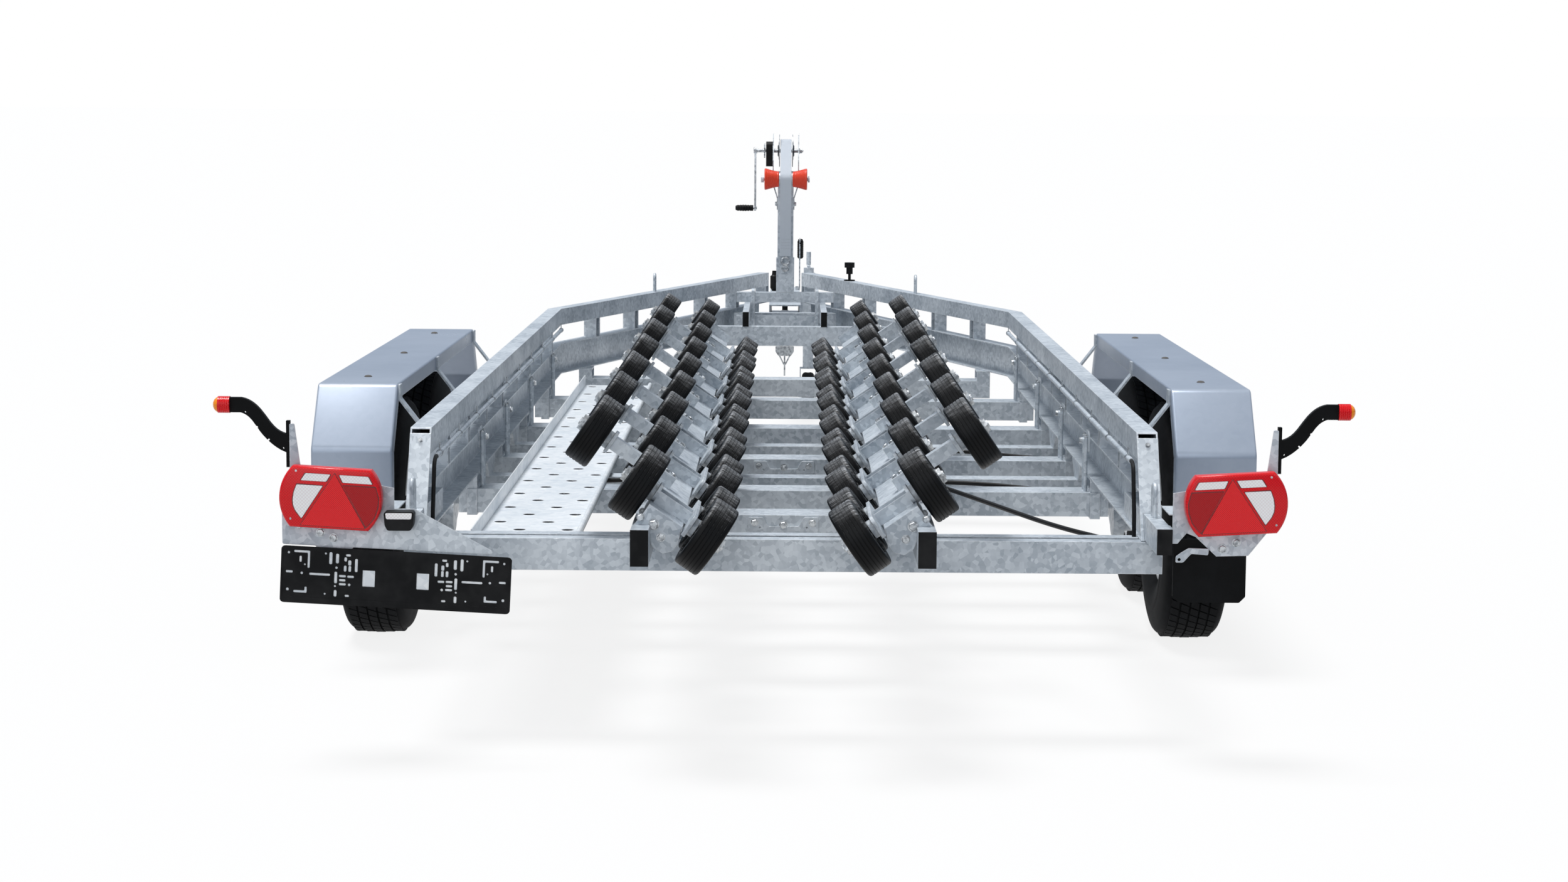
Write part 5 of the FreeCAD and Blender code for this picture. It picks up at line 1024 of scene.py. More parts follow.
def cut_sheet(name: str, outlines: list[Outline], thickness: float, place: Matrix, finish: Finish,
              edge: float = 0.0004) -> Piece:
    """Makes a flat sheet with holes through it.

    Args:
        name: Name of the piece.
        outlines: The outer outline and then one for each hole, in local X and Y.
        thickness: Thickness along local Z, from zero up.
        place: Frame of the sheet.
        finish: Its finish.
        edge: Width of the broken edges.

    Returns:
        The piece, at the origin.
    """
    curve = bpy.data.curves.new(name, "CURVE")
    curve.dimensions = "2D"
    curve.fill_mode = "BOTH"
    curve.extrude = thickness / 2 - edge
    curve.bevel_depth = edge
    curve.bevel_resolution = 0
    curve.offset = -edge
    for outline in outlines:
        spline = curve.splines.new("POLY")
        spline.points.add(len(outline) - 1)
        for point, (x, y) in zip(spline.points, outline):
            point.co = (x, y, 0.0, 1.0)
        spline.use_cyclic_u = True
    mould = Mould.of_curve(curve)
    mould.mesh.transform(place @ Matrix.Translation((0.0, 0.0, thickness / 2)))
    return mould.cast(name, finish)


def bend(back: Vector, here: Vector, ahead: Vector, radius: float, steps: int) -> list[Vector]:
    """Rounds a corner with a quadratic curve.

    Args:
        back: Corner before it.
        here: The corner.
        ahead: Corner after it.
        radius: Distance from the corner at which the curve starts and ends.
        steps: Steps along the curve.

    Returns:
        The points of the curve.
    """
    reach = [(end - here).normalized() * min(radius, (end - here).length * 0.45) for end in (back, ahead)]
    start, end = (here + way for way in reach)
    shares = [k / steps for k in range(steps + 1)]
    return [start * (1 - t) ** 2 + here * (2 * t * (1 - t)) + end * t ** 2 for t in shares]


def rounded(outline: Iterable[Point], radius: float, steps: int = 4) -> Outline:
    """Rounds every corner of an outline by about one radius.

    Args:
        outline: The corners.
        radius: The radius.
        steps: Steps along each corner's curve.

    Returns:
        The rounded outline.
    """
    corners = [Vector(corner) for corner in outline]
    points = []
    for i, here in enumerate(corners):
        points += bend(corners[i - 1], here, corners[(i + 1) % len(corners)], radius, steps)
    return [(point.x, point.y) for point in points]


def oblong(centre: Point, width: float, height: float) -> Outline:
    """Returns the outline of a slot with round ends.

    Args:
        centre: Its middle.
        width: Its width.
        height: Its height.

    Returns:
        The outline.
    """
    x, y = centre
    a, b = width / 2, height / 2
    return rounded(box_outline(x - a, y - b, x + a, y + b), min(a, b) * 0.9, 3)


def join(name: str, pieces: list[Piece]) -> Piece:
    """Joins pieces that lie at the origin into one, which keeps every finish.

    Args:
        name: Name of the whole.
        pieces: The pieces, which are used up.

    Returns:
        The whole.
    """
    whole = bmesh.new()
    materials: list[bpy.types.Material] = []
    for piece in pieces:
        materials += [slot for slot in piece.data.materials if slot not in materials]
        lookup = [materials.index(slot) for slot in piece.data.materials]
        numbers = [0] * len(piece.data.polygons)
        piece.data.polygons.foreach_get("material_index", numbers)
        piece.data.polygons.foreach_set("material_index", [lookup[number] for number in numbers])
        whole.from_mesh(piece.data)
    discard(*pieces)
    data = bpy.data.meshes.new(name)
    whole.to_mesh(data)
    whole.free()
    for material in materials:
        data.materials.append(material)
    shade_mesh(data, Shade.EDGED)
    return link(name, data)


def fit_out(piece: Piece, body: str, slot: str, *nodes: str) -> Piece:
    """Lets a piece ride on a body and stand for nodes, and reports it.

    Args:
        piece: The finished piece.
        body: Body that carries it.
        slot: Material slot of the record; not used.
        nodes: CAD nodes that it replaces.

    Returns:
        The same piece.
    """
    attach(piece, body)
    if nodes:
        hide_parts(*nodes)
    log.info("%s: %d faces on %s", piece.name, len(piece.data.polygons), body)
    return piece


# Studio


@dataclass(frozen=True)
class Lamp:
    """A broad lamp far away, given by where it stands."""

    name: str
    strength: float
    softness_deg: float
    place: tuple[float, float, float]

    def on_floor(self) -> float:
        """Returns how bright it leaves a white floor."""
        place = Vector(self.place)
        return self.strength * place.z / place.length / math.pi


@dataclass
class Studio:
    """Camera at the photograph's place, soft lamps and a pale floor."""

    rear_distance: float = 6.674
    eye_height: float = 1.490
    pitch_deg: float = 6.666
    roll_deg: float = 0.4
    lens_mm: float = 66.44
    sensor_mm: float = 36.0
    floor_colour: str = "#bdbdbd"
    floor_lift: float = 0.78
    floor_size: float = 900.0
    floor_white: float = 1.003
    backdrop_white: float = 1.001
    sky_strength: float = 0.36
    sky_colour: str = "#e1eaf6"
    low_sky: str = "#77869b"
    middle_sky: str = "#c9d3df"
    high_sky: str = "#ffffff"
    sky_heights: tuple[float, float, float] = (0.02, 0.4, 0.75)
    lights: tuple[Lamp, ...] = (
        Lamp("overhead", 2.9, 22.0, (-1.6, 0.6, 8.0)),
        Lamp("behind_camera", 0.72, 50.0, (-2.5, -8.0, 3.6)),
    )

    def build(self) -> None:
        """Makes the camera first, then the world, the lamps and the floor."""
        self.camera()
        self.world()
        self.lamps()
        self.floor()
        bpy.context.scene.view_settings.view_transform = "Standard"

    def camera(self) -> None:
        """Stands behind the trailer and looks slightly down along it."""
        data = bpy.data.cameras.new("camera")
        data.lens = self.lens_mm
        data.sensor_width = self.sensor_mm
        camera = link("camera", data)
        camera.location = (0.0, world_y(0.0) - self.rear_distance, self.eye_height)
        aim = Matrix.Rotation(math.radians(90 - self.pitch_deg), 3, "X")
        camera.rotation_euler = (aim @ Matrix.Rotation(math.radians(self.roll_deg), 3, "Z")).to_euler()
        bpy.context.scene.camera = camera

    def world(self) -> None:
        """White for the camera, darker near the horizon in reflections, and dimmer as light."""
        world = bpy.data.worlds.new("studio")
        bpy.context.scene.world = world
        world.use_nodes = True
        wires = Wires(world.node_tree)
        path = wires.add("ShaderNodeLightPath").outputs
        way = wires.get("ShaderNodeTexCoord", output="Generated")
        height = wires.get("ShaderNodeSeparateXYZ", {"Vector": way}, "Z")
        mirrored = wires.get(
            "ShaderNodeValToRGB",
            {"Fac": height, "stops": zip(self.sky_heights, (self.low_sky, self.middle_sky, self.high_sky))},
        )
        lit = wires.get(
            "ShaderNodeMix",
            {"data_type": "RGBA", "Factor": path["Is Glossy Ray"], 6: linear(self.sky_colour), 7: mirrored},
            2,
        )
        tint = wires.get(
            "ShaderNodeMix",
            {"data_type": "RGBA", "Factor": path["Is Camera Ray"], 6: lit, 7: linear("#ffffff")},
            2,
        )
        strength = wires.get(
            "ShaderNodeMapRange",
            {"Value": self.seen_directly(wires), "To Min": self.sky_strength, "To Max": self.backdrop_white},
        )
        sky = wires.get("ShaderNodeBackground", {"Color": tint, "Strength": strength})
        wires.add("ShaderNodeOutputWorld", {"Surface": sky})

    def glow_strength(self) -> float:
        """Works out the glow that brings the unshaded floor up to the white of the backdrop.

        Returns:
            Strength of the floor's own light.
        """
        direct = sum(lamp.on_floor() for lamp in self.lights)
        unshaded = linear(self.floor_colour)[0] * (direct + self.sky_strength)
        return (self.floor_white - (1 - self.floor_lift) * unshaded) / self.floor_lift

    @staticmethod
    def seen_directly(wires: Wires) -> Socket:
        """Adds a value of 1 for camera, glossy and transmission rays, and 0 for the rest.

        Args:
            wires: Tree that gets it.

        Returns:
            The value.
        """
        path = wires.add("ShaderNodeLightPath").outputs
        first = wires.get(
            "ShaderNodeMath",
            {"operation": "MAXIMUM", 0: path["Is Camera Ray"], 1: path["Is Glossy Ray"]},
        )
        return wires.get("ShaderNodeMath", {"operation": "MAXIMUM", 0: first, 1: path["Is Transmission Ray"]})

    def lamps(self) -> None:
        """Hangs the broad lamps, each turned to the trailer."""
        for light in self.lights:
            data = bpy.data.lights.new(light.name, "SUN")
            data.energy = light.strength
            data.angle = math.radians(light.softness_deg)
            lamp = link(light.name, data)
            lamp.location = light.place
            lamp.rotation_euler = (-Vector(light.place)).to_track_quat("-Z", "Y").to_euler()

    def floor(self) -> None:
        """A large plain floor that shows the trailer's shadow."""
        half = self.floor_size / 2
        data = bpy.data.meshes.new("floor")
        corners = [(x, y, 0.0) for x, y in box_outline(-half, -half, half, half)]
        data.from_pydata(corners, [], [(0, 1, 2, 3)])
        material = bpy.data.materials.new("studio floor")
        material.use_nodes = True
        wires = Wires(material.node_tree)
        matt = wires.get("ShaderNodeBsdfDiffuse", {"Color": linear(self.floor_colour)})
        glow = wires.get("ShaderNodeEmission", {"Strength": self.glow_strength()})
        share = wires.get(
            "ShaderNodeMapRange",
            {"Value": self.seen_directly(wires), "To Min": 0.0, "To Max": self.floor_lift},
        )
        mixed = wires.get("ShaderNodeMixShader", {0: share, 1: matt, 2: glow})
        wires.add("ShaderNodeOutputMaterial", {"Surface": mixed})
        data.materials.append(material)
        link("floor", data)


# Fasteners


@dataclass
class Fasteners:
    """Bolts and nuts of the whole trailer, collected by kind and laid as patterns."""

    pattern: Pattern
    across_flats: float = 0.018
    head_height: float = 0.0075
    nut_height: float = 0.0105
    washer_radius: float = 0.0125
    washer_height: float = 0.0022
    chamfer: float = 0.0011
    heads: dict[str, list[Spot]] = field(default_factory=dict)
    nuts: dict[str, list[Spot]] = field(default_factory=dict)

    def bolt(self, place: Vector, way: Vector, scale: float = 1.0, body: str = "trailer") -> None:
        """Notes a bolt head that stands on a face.

        Args:
            place: Point on the face.
            way: Way out of the face.
            scale: Size against an M12 bolt.
            body: Body that carries it.
        """
        self.heads.setdefault(body, []).append((place, way, scale))

    def nut(self, place: Vector, way: Vector, scale: float = 1.0, body: str = "trailer") -> None:
        """Notes a nut with its washer and bolt end, as a bolt is noted."""
        self.nuts.setdefault(body, []).append((place, way, scale))

    def hexagon(self, height: float) -> Mould:
        """Starts a mould with a washer and a hexagon with chamfered corners on it.

        Args:
            height: Height of the hexagon.

        Returns:
            The mould, with Z out of the face.
        """
        mould = Mould()
        low, high, outer = self.washer_height, self.washer_height + height, self.across_flats / math.sqrt(3)
        mould.rod(0.0, low, self.washer_radius, 20)
        steps = ((low, outer), (high - self.chamfer, outer), (high, outer - self.chamfer))
        mould.skin([mould.ring(circle(radius, 6), z, Matrix.Identity(4)) for z, radius in steps])
        return mould

    def nut_item(self) -> Piece:
        """Makes the nut on its washer, with the bolt's end standing out of it.

        Returns:
            The nut, with Z out of the face.
        """
        mould = self.hexagon(self.nut_height)
        low, shank = self.washer_height + self.nut_height - 0.001, self.across_flats / 3
        end = [(low, 0.0), (low, shank), (low + 0.005, shank), (low + 0.006, shank * 0.8), (low + 0.006, 0.0)]
        mould.lathe(end, 16)
        return mould.cast("nut_item", PLATED)

    def build(self) -> None:
        """Lays every bolt and nut, one piece for each kind and body."""
        head, nut = self.hexagon(self.head_height).cast("bolt_head_item", PLATED), self.nut_item()
        for kind, item, noted in (("bolts", head, self.heads), ("nuts", nut, self.nuts)):
            for body, spots in noted.items():
                piece = self.pattern.lay(f"{kind}_{body}", item, spots, PLATED, math.tau)
                fit_out(piece, body, "plated_steel")
        discard(head, nut)


# Sub-assemblies


class CadDress:
    """Gives the nodes that stay as they are the finish of their material slot."""

    def build(self) -> None:
        """Puts the finish in each node's material slots."""
        slots = {row["node"]: row["material_slot"] for row in frame["record"]["subparts"]}
        for name, node in frame["nodes"].items():
            finish = SLOT_FINISHES[slots[name]]
            for slot in node.material_slots:
                slot.material = finish.material()
            log.info("%s dressed as %s", name, finish.name)


class TreadRing(PatternTree):
    """Tree that sets tread blocks round a tyre's circumference."""

    def __init__(self) -> None:
        """Builds the tree with its named inputs."""
        kinds = {"Item": "Object", "Count": "Int", "Radius": "Float", "Centre": "Vector", "Start": "Float"}
        super().__init__("tread ring", **kinds)
        count, radius, centre, start = (self.given[name] for name in list(kinds)[1:])
        share = self.get(
            "ShaderNodeMath",
            {"operation": "DIVIDE", 0: self.get("GeometryNodeInputIndex"), 1: count},
        )
        turn = self.get(
            "ShaderNodeMath",
            {
                "operation": "ADD",
                0: self.get("ShaderNodeMath", {"operation": "MULTIPLY", 0: share, 1: math.tau}),
                1: start,
            },
        )
        spin = self.get("ShaderNodeCombineXYZ", {"X": turn})
        out = self.get("ShaderNodeCombineXYZ", {"Z": radius})
        reach = self.get("ShaderNodeVectorRotate", {"rotation_type": "X_AXIS", "Vector": out, "Angle": turn})
        spot = self.get("ShaderNodeVectorMath", {"operation": "ADD", 0: reach, 1: centre})
        points = self.get("GeometryNodePoints", {"Count": count})
        moved = self.get("GeometryNodeSetPosition", {"Geometry": points, "Position": spot})
        joined = self.add("GeometryNodeJoinGeometry")
        for geometry in (self.stand(moved, spin), self.given["Geometry"]):
            self.tree.links.new(geometry, joined.inputs["Geometry"])
        self.close(joined.outputs["Geometry"])


@dataclass
class RoadWheels:
    """Four road tyres with a block tread, and the bolts of their rims."""

    fasteners: Fasteners
    centre_x: float = 1.128
    radius: float = 0.333
    bead_radius: float = 0.178
    half_width: float = 0.094
    stations: tuple[float, float] = (1400.0, 2160.0)
    tread_depth: float = 0.0075
    tread_sink: float = 0.002
    crown_fall: float = 0.045
    pitches: int = 68
    rows: tuple[float, ...] = (-0.0535, -0.0265, 0.0, 0.0265, 0.0535)
    block_share: float = 0.84
    block_width: float = 0.0215
    block_skew: float = 0.45
    bolt_circle: float = 0.056
    bolt_count: int = 5
    disc_face: float = 0.036
    shoulder: Shape = (
        (0.66, 0.00), (0.72, -0.02), (0.80, 0.03), (0.88, 0.12), (0.955, 0.27), (0.99, 0.42),
        (1.00, 0.52), (0.985, 0.54), (0.99, 0.58), (0.965, 0.70), (0.93, 0.80), (0.90, 0.865),
        (0.875, 0.90), (0.84, 0.93), (0.79, 0.962), (0.70, 0.985), (0.55, 0.994), (0.30, 0.999),
    )

    def places(self) -> list[tuple[str, Side, Vector]]:
        """Returns the name, the side and the centre of each wheel.

        Returns:
            One row for each wheel, the rear ones first.
        """
        return [
            (f"{place}_{side.name.lower()}", side, side.point(self.centre_x, world_y(station), self.radius))
            for place, station in zip(("rear", "front"), self.stations) for side in Side
        ]

    def profile(self) -> Outline:
        """Returns the section of the carcass, as distances across and radii.

        Returns:
            The closed section, from one bead over the crown to the other.
        """
        bead, top = self.bead_radius, self.radius - self.tread_depth
        points = [(self.half_width * across, bead + (top - bead) * out) for across, out in self.shoulder]
        return [(-x, r) for x, r in points] + [(0.0, top)] + points[::-1]

    def block(self) -> Piece:
        """Makes one tread block, with X across the tyre, Y along its turn and Z outwards.

        Returns:
            The block, with its top at zero.
        """
        long = math.pi * self.radius / self.pitches * self.block_share
        wide, skew = self.block_width / 2, long * self.block_skew
        outline = [(-long - skew, -wide), (long - skew, -wide), (long + skew, wide), (-long + skew, wide)]
        mould = Mould()
        mould.plate(outline, -self.tread_depth - self.tread_sink, 0.0)
        mould.soften(0.0012, 1)
        mould.mesh.transform(Matrix.Rotation(math.pi / 2, 4, "Z"))
        return mould.cast("tread_block_item", TYRE_RUBBER)

    def tyre(self, name: str, centre: Vector, ring: TreadRing, block: Piece) -> Piece:
        """Makes one tyre and sets its rows of blocks.

        Args:
            name: Name of the wheel.
            centre: Centre of the wheel.
            ring: Tree that sets a row.
            block: One tread block.

        Returns:
            The tyre.
        """
        mould = Mould()
        mould.lathe(self.profile(), 96, frame_on(centre, TO_RIGHT))
        tyre = mould.cast(f"road_tyre_{name}", TYRE_RUBBER, Shade.SOFT)
        for row, across in enumerate(self.rows):
            tyre.data = ring.bake(
                tyre, Item=block, Count=self.pitches, Centre=centre + TO_RIGHT * across,
                Radius=self.radius - 0.0003 - abs(across) * self.crown_fall,
                Start=(row % 2) * math.pi / self.pitches, Finish=TYRE_RUBBER.material(),
            )
        shade_mesh(tyre.data, Shade.EDGED)
        return tyre

    def build(self) -> None:
        """Makes the four tyres and notes the bolts of the rims."""
        ring, block = TreadRing(), self.block()
        for name, side, centre in self.places():
            tyre = self.tyre(name, centre, ring, block)
            fit_out(tyre, f"wheel_{name}", "tyre_rubber", f"tyre_{name}")
            for across, up in circle(self.bolt_circle, self.bolt_count):
                place = centre + side.out * self.disc_face + Vector((0.0, across, up))
                self.fasteners.bolt(place, side.out, 0.95, f"wheel_{name}")
        discard(block)


@dataclass(frozen=True)
class RollerRow:
    """A row: its distance uphill, its number of steps, and where in a step its rollers stand, in mm."""

    name: str
    offset: float
    count: int
    shifts: tuple[float, ...] = (0.0,)
    nut_way: int = 1


@dataclass
class HullRollers:
    """The sloping rows of rubber rollers, with grooved treads, ribbed hubs and axle nuts."""

    pattern: Pattern
    slope_deg: float = 34.5
    foot_x: float = 0.1695
    foot_z: float = 0.534
    radius: float = 0.086
    half_width: float = 0.030
    edge: float = 0.008
    bore: float = 0.0101
    recess: float = 0.007
    rim_radius: float = 0.062
    hub_radius: float = 0.022
    groove_count: int = 5
    groove_width: float = 0.0022
    groove_depth: float = 0.0016
    rib_count: int = 12
    rib_half: float = 0.0022
    pitch: float = 610.0
    first_station: float = -225.0
    inner: RollerRow = RollerRow("inner", 0.0, 8, (-105.0, 105.0), -1)
    middle: RollerRow = RollerRow("middle", 0.188, 9)
    outer: RollerRow = RollerRow("outer", 0.332, 7, (305.0,))
    washer_radius: float = 0.021
    washer_height: float = 0.0025
    nut_height: float = 0.0105
    nut_flats: float = 0.0335
    axle_radius: float = 0.0098

    def tread(self) -> Outline:
        """Returns the roller's section as heights and radii, with Z uphill.

        Returns:
            The closed section, from the lower bore round to the upper one.
        """
        half, edge, top, rim, hub = self.half_width, self.edge, self.radius, self.rim_radius, self.hub_radius
        turns = [math.pi / 2 * k / 4 for k in range(1, 4)]
        corner = [(half - edge * (1 - math.cos(t)), top - edge * (1 - math.sin(t))) for t in turns]
        points = [(-half, self.bore), (-half, top - edge)] + [(-x, r) for x, r in corner]
        wide, low, flat = self.groove_width / 2, top - self.groove_depth, 2 * (half - edge)
        for k in range(self.groove_count):
            middle = -half + edge + flat * (k + 0.5) / self.groove_count
            points += [(middle - wide, top), (middle - wide / 2, low), (middle + wide / 2, low),
                       (middle + wide, top)]
        return points + corner[::-1] + [
            (half, top - edge), (half, rim + 0.003), (half - 0.001, rim), (half - self.recess, rim - 0.004),
            (half - self.recess, hub + 0.003), (half - 0.001, hub + 0.001), (half, hub), (half, self.bore),
        ]

    def roller(self) -> Piece:
        """Makes one roller with its radial ribs, about local Z.

        Returns:
            The roller, with its ribs on the uphill face.
        """
        mould = Mould()
        mould.lathe(self.tread(), 44)
        own = mould.mesh.loops.layers.uv.new("tread")
        for face in mould.mesh.faces:
            middle = face.calc_center_median()
            seam = math.atan2(middle.y, middle.x)
            for loop in face.loops:
                spot = loop.vert.co
                turn = seam + (math.atan2(spot.y, spot.x) - seam + math.pi) % math.tau - math.pi
                loop[own].uv = (turn * self.radius, spot.z)
        floor = self.half_width - self.recess
        rib = box_outline(self.hub_radius + 0.002, -self.rib_half, self.rim_radius - 0.0015, self.rib_half)
        for k in range(self.rib_count):
            place = Matrix.Rotation(math.tau * k / self.rib_count, 4, "Z")
            mould.plate(rib, floor - 0.001, self.half_width - 0.0012, place)
        return mould.cast("hull_roller_item", ROLLER_RUBBER)

    def nut(self) -> Piece:
        """Makes the axle nut on its washer, about local Z from the roller's face.

        Returns:
            The nut, with Z away from the roller.
        """
        mould = Mould()
        mould.rod(0.0, self.washer_height, self.washer_radius, 24)
        mould.plate(circle(self.nut_flats / math.sqrt(3), 6), self.washer_height, self.nut_height)
        low, high, radius = self.nut_height - 0.001, self.nut_height + 0.003, self.axle_radius
        mould.lathe([(low, 0.0), (low, radius), (high, radius - 0.0006), (high, 0.0)], 20)
        return mould.cast("roller_nut_item", PLATED)

    @staticmethod
    def note_sky(data: bpy.types.Mesh) -> None:
        """Stores on each face how far it looks up, which the painted sheen of the rubber's streaks follows.

        Args:
            data: Mesh of the piece.
        """
        layer = data.attributes.new("skyward", "FLOAT", "FACE")
        looks = [min(1.0, max(0.0, (face.normal.z - 0.5) * 2.4)) ** 1.6 for face in data.polygons]
        layer.data.foreach_set("value", looks)

    def slope(self, side: Side) -> tuple[Vector, Vector, Vector]:
        """Returns the foot of a side's slope, its way uphill and its way out of the slope.

        Args:
            side: Side of the trailer.

        Returns:
            The foot, the way uphill and the way square to the slope.
        """
        lean = math.radians(self.slope_deg)
        uphill = side.point(math.cos(lean), 0.0, math.sin(lean))
        square = side.point(-math.sin(lean), 0.0, math.cos(lean))
        return side.point(self.foot_x, 0.0, self.foot_z), uphill, square

    def stations(self, row: RollerRow) -> list[float]:
        """Returns the stations of a row's steps."""
        return [self.first_station + self.pitch * i for i in range(row.count)]

    def spots(self, row: RollerRow) -> list[Spot]:
        """Returns centre, uphill way and scale of every roller of a row.

        Args:
            row: The row.

        Returns:
            The spots, side by side and from the rear forwards.
        """
        found = []
        for side in Side:
            foot, uphill, _ = self.slope(side)
            foot += uphill * row.offset
            places = [station + shift for station in self.stations(row) for shift in row.shifts]
            found += [(foot + FORWARDS * world_y(place), uphill, 1.0) for place in places]
        return found

    def build(self) -> None:
        """Lays the rollers of each row and their axle nuts."""
        roller, nut = self.roller(), self.nut()
        nuts = []
        for row in (self.inner, self.middle, self.outer):
            spots = self.spots(row)
            piece = self.pattern.lay(f"{row.name}_hull_rollers", roller, spots, ROLLER_RUBBER, math.tau)
            self.note_sky(piece.data)
            fit_out(piece, "trailer", "roller_rubber", f"{row.name}_rollers")
            for place, uphill, scale in spots:
                way = uphill * row.nut_way
                nuts.append((place + way * (self.half_width + 0.0002), way, scale))
        fit_out(self.pattern.lay("roller_axle_nuts", nut, nuts, PLATED, math.tau), "trailer", "plated_steel")
        discard(roller, nut)


@dataclass
class TailLights:
    """Combination lights: red body, triangle reflector, clear windows and a darker stop field."""

    centre_x: float = 1.015
    centre_z: float = 0.603
    station: float = -218.0
    tilt_deg: float = 3.2
    half_width: float = 0.115
    half_height: float = 0.069
    bulge: float = 0.027
    side_steps: int = 16
    body_depth: float = 0.0405
    triangle: Shape = ((-0.008, 0.057), (-0.081, -0.0625), (0.063, -0.0625))
    windows: tuple[Shape, ...] = (
        ((-0.083, 0.0545), (-0.0185, 0.0545), (-0.027, 0.038), (-0.093, 0.038)),
        ((0.0015, 0.0545), (0.057, 0.0545), (0.067, 0.038), (0.0105, 0.038)),
        ((0.0175, 0.028), (0.076, 0.028), (0.0815, 0.010), (0.083, -0.006), (0.0815, -0.019),
         (0.076, -0.031), (0.062, -0.048)),
    )
    stop_field: Shape = (
        (-0.1005, 0.031), (-0.0285, 0.031), (-0.083, -0.060), (-0.090, -0.053), (-0.101, -0.036),
        (-0.107, -0.015), (-0.108, 0.006),
    )
    field_height: float = 0.0012
    triangle_height: float = 0.0024
    screws: Shape = ((0.079, 0.0585), (-0.099, -0.0335), (0.0865, -0.050))
    screw: Shape = ((0.0, 0.0), (0.0, 0.0026), (0.0012, 0.0026), (0.0018, 0.0018), (0.0014, 0.0))
    seam: float = 0.0024
    corner: float = 0.0025

    def outline(self, inset: float) -> Outline:
        """Returns the level edges and the bulging sides, drawn in by an inset.

        Args:
            inset: How far it is drawn in.

        Returns:
            The outline, about the light's middle.
        """
        edge, high = self.half_width - self.bulge, self.half_height - inset
        radius = (self.half_height ** 2 + self.bulge ** 2) / (2 * self.bulge)
        reach = math.asin(self.half_height / radius)
        points = []
        for way in (1, -1):
            for k in range(self.side_steps + 1):
                turn = way * reach * (2 * k / self.side_steps - 1)
                x = (radius - inset) * math.cos(turn) - (radius - self.bulge) + edge
                points.append((way * x, max(-high, min(high, (radius - inset) * math.sin(turn)))))
        return points

    def place(self, side: Side) -> Matrix:
        """Returns the frame of one light: X outwards, Y up and Z to the rear."""
        x = side.value * self.centre_x
        return rear_frame(x, world_y(self.station), self.centre_z, self.tilt_deg, side)

    def body(self, side: Side) -> Piece:
        """Makes the red body with a rounded front edge.

        Args:
            side: Side of the trailer.

        Returns:
            The body.
        """
        deep = self.body_depth
        steps = ((0.0, 0.0015), (0.010, 0.0015), (0.0105, 0.0), (deep - 0.006, 0.0),
                 (deep - 0.0035, 0.0008), (deep - 0.001, 0.003), (deep, 0.006))
        mould = Mould()
        mould.skin([mould.ring(self.outline(inset), z, self.place(side)) for z, inset in steps])
        return mould.cast("light_body", LENS_RED)

    def field(self, side: Side, outline: Shape, height: float, finish: Finish) -> list[Piece]:
        """Makes one raised field of the face with its dark seam.

        Args:
            side: Side of the trailer.
            outline: Its corners.
            height: How far it stands out of the body.
            finish: Its finish.

        Returns:
            The seam and the field.
        """
        middle = sum((Vector(corner) for corner in outline), Vector((0.0, 0.0))) / len(outline)
        ways = [Vector(corner) - middle for corner in outline]
        grown = [middle + way * (1 + self.seam / way.length) for way in ways]
        seam, lens = Mould(), Mould()
        for mould, corners, top in ((seam, grown, 0.0004), (lens, outline, height)):
            shape = rounded(corners, self.corner, 3)
            mould.plate(shape, self.body_depth - 0.001, self.body_depth + top, self.place(side))
        lens.soften(0.0004, 1)
        return [seam.cast("seam", LENS_SEAM), lens.cast("lens", finish)]

    def screw_heads(self, side: Side) -> Piece:
        """Makes the screws of one light.

        Args:
            side: Side of the trailer.

        Returns:
            The heads, as one piece.
        """
        mould = Mould()
        for x, y in self.screws:
            place = Matrix.Translation((x, y, self.body_depth - 0.001))
            mould.lathe(self.screw, 14, self.place(side) @ place)
        return mould.cast("light_screws", PLATED)

    def build(self) -> None:
        """Makes both lights."""
        pieces = []
        for side in Side:
            pieces.append(self.body(side))
            pieces += self.field(side, self.triangle, self.triangle_height, REFLECTOR_RED)
            pieces += self.field(side, self.stop_field, self.field_height, LENS_DEEP_RED)
            for window in self.windows:
                pieces += self.field(side, window, self.field_height, LENS_CLEAR)
            pieces.append(self.screw_heads(side))
        fit_out(join("combination_lights", pieces), "trailer", "tail_light", "tail_lights")


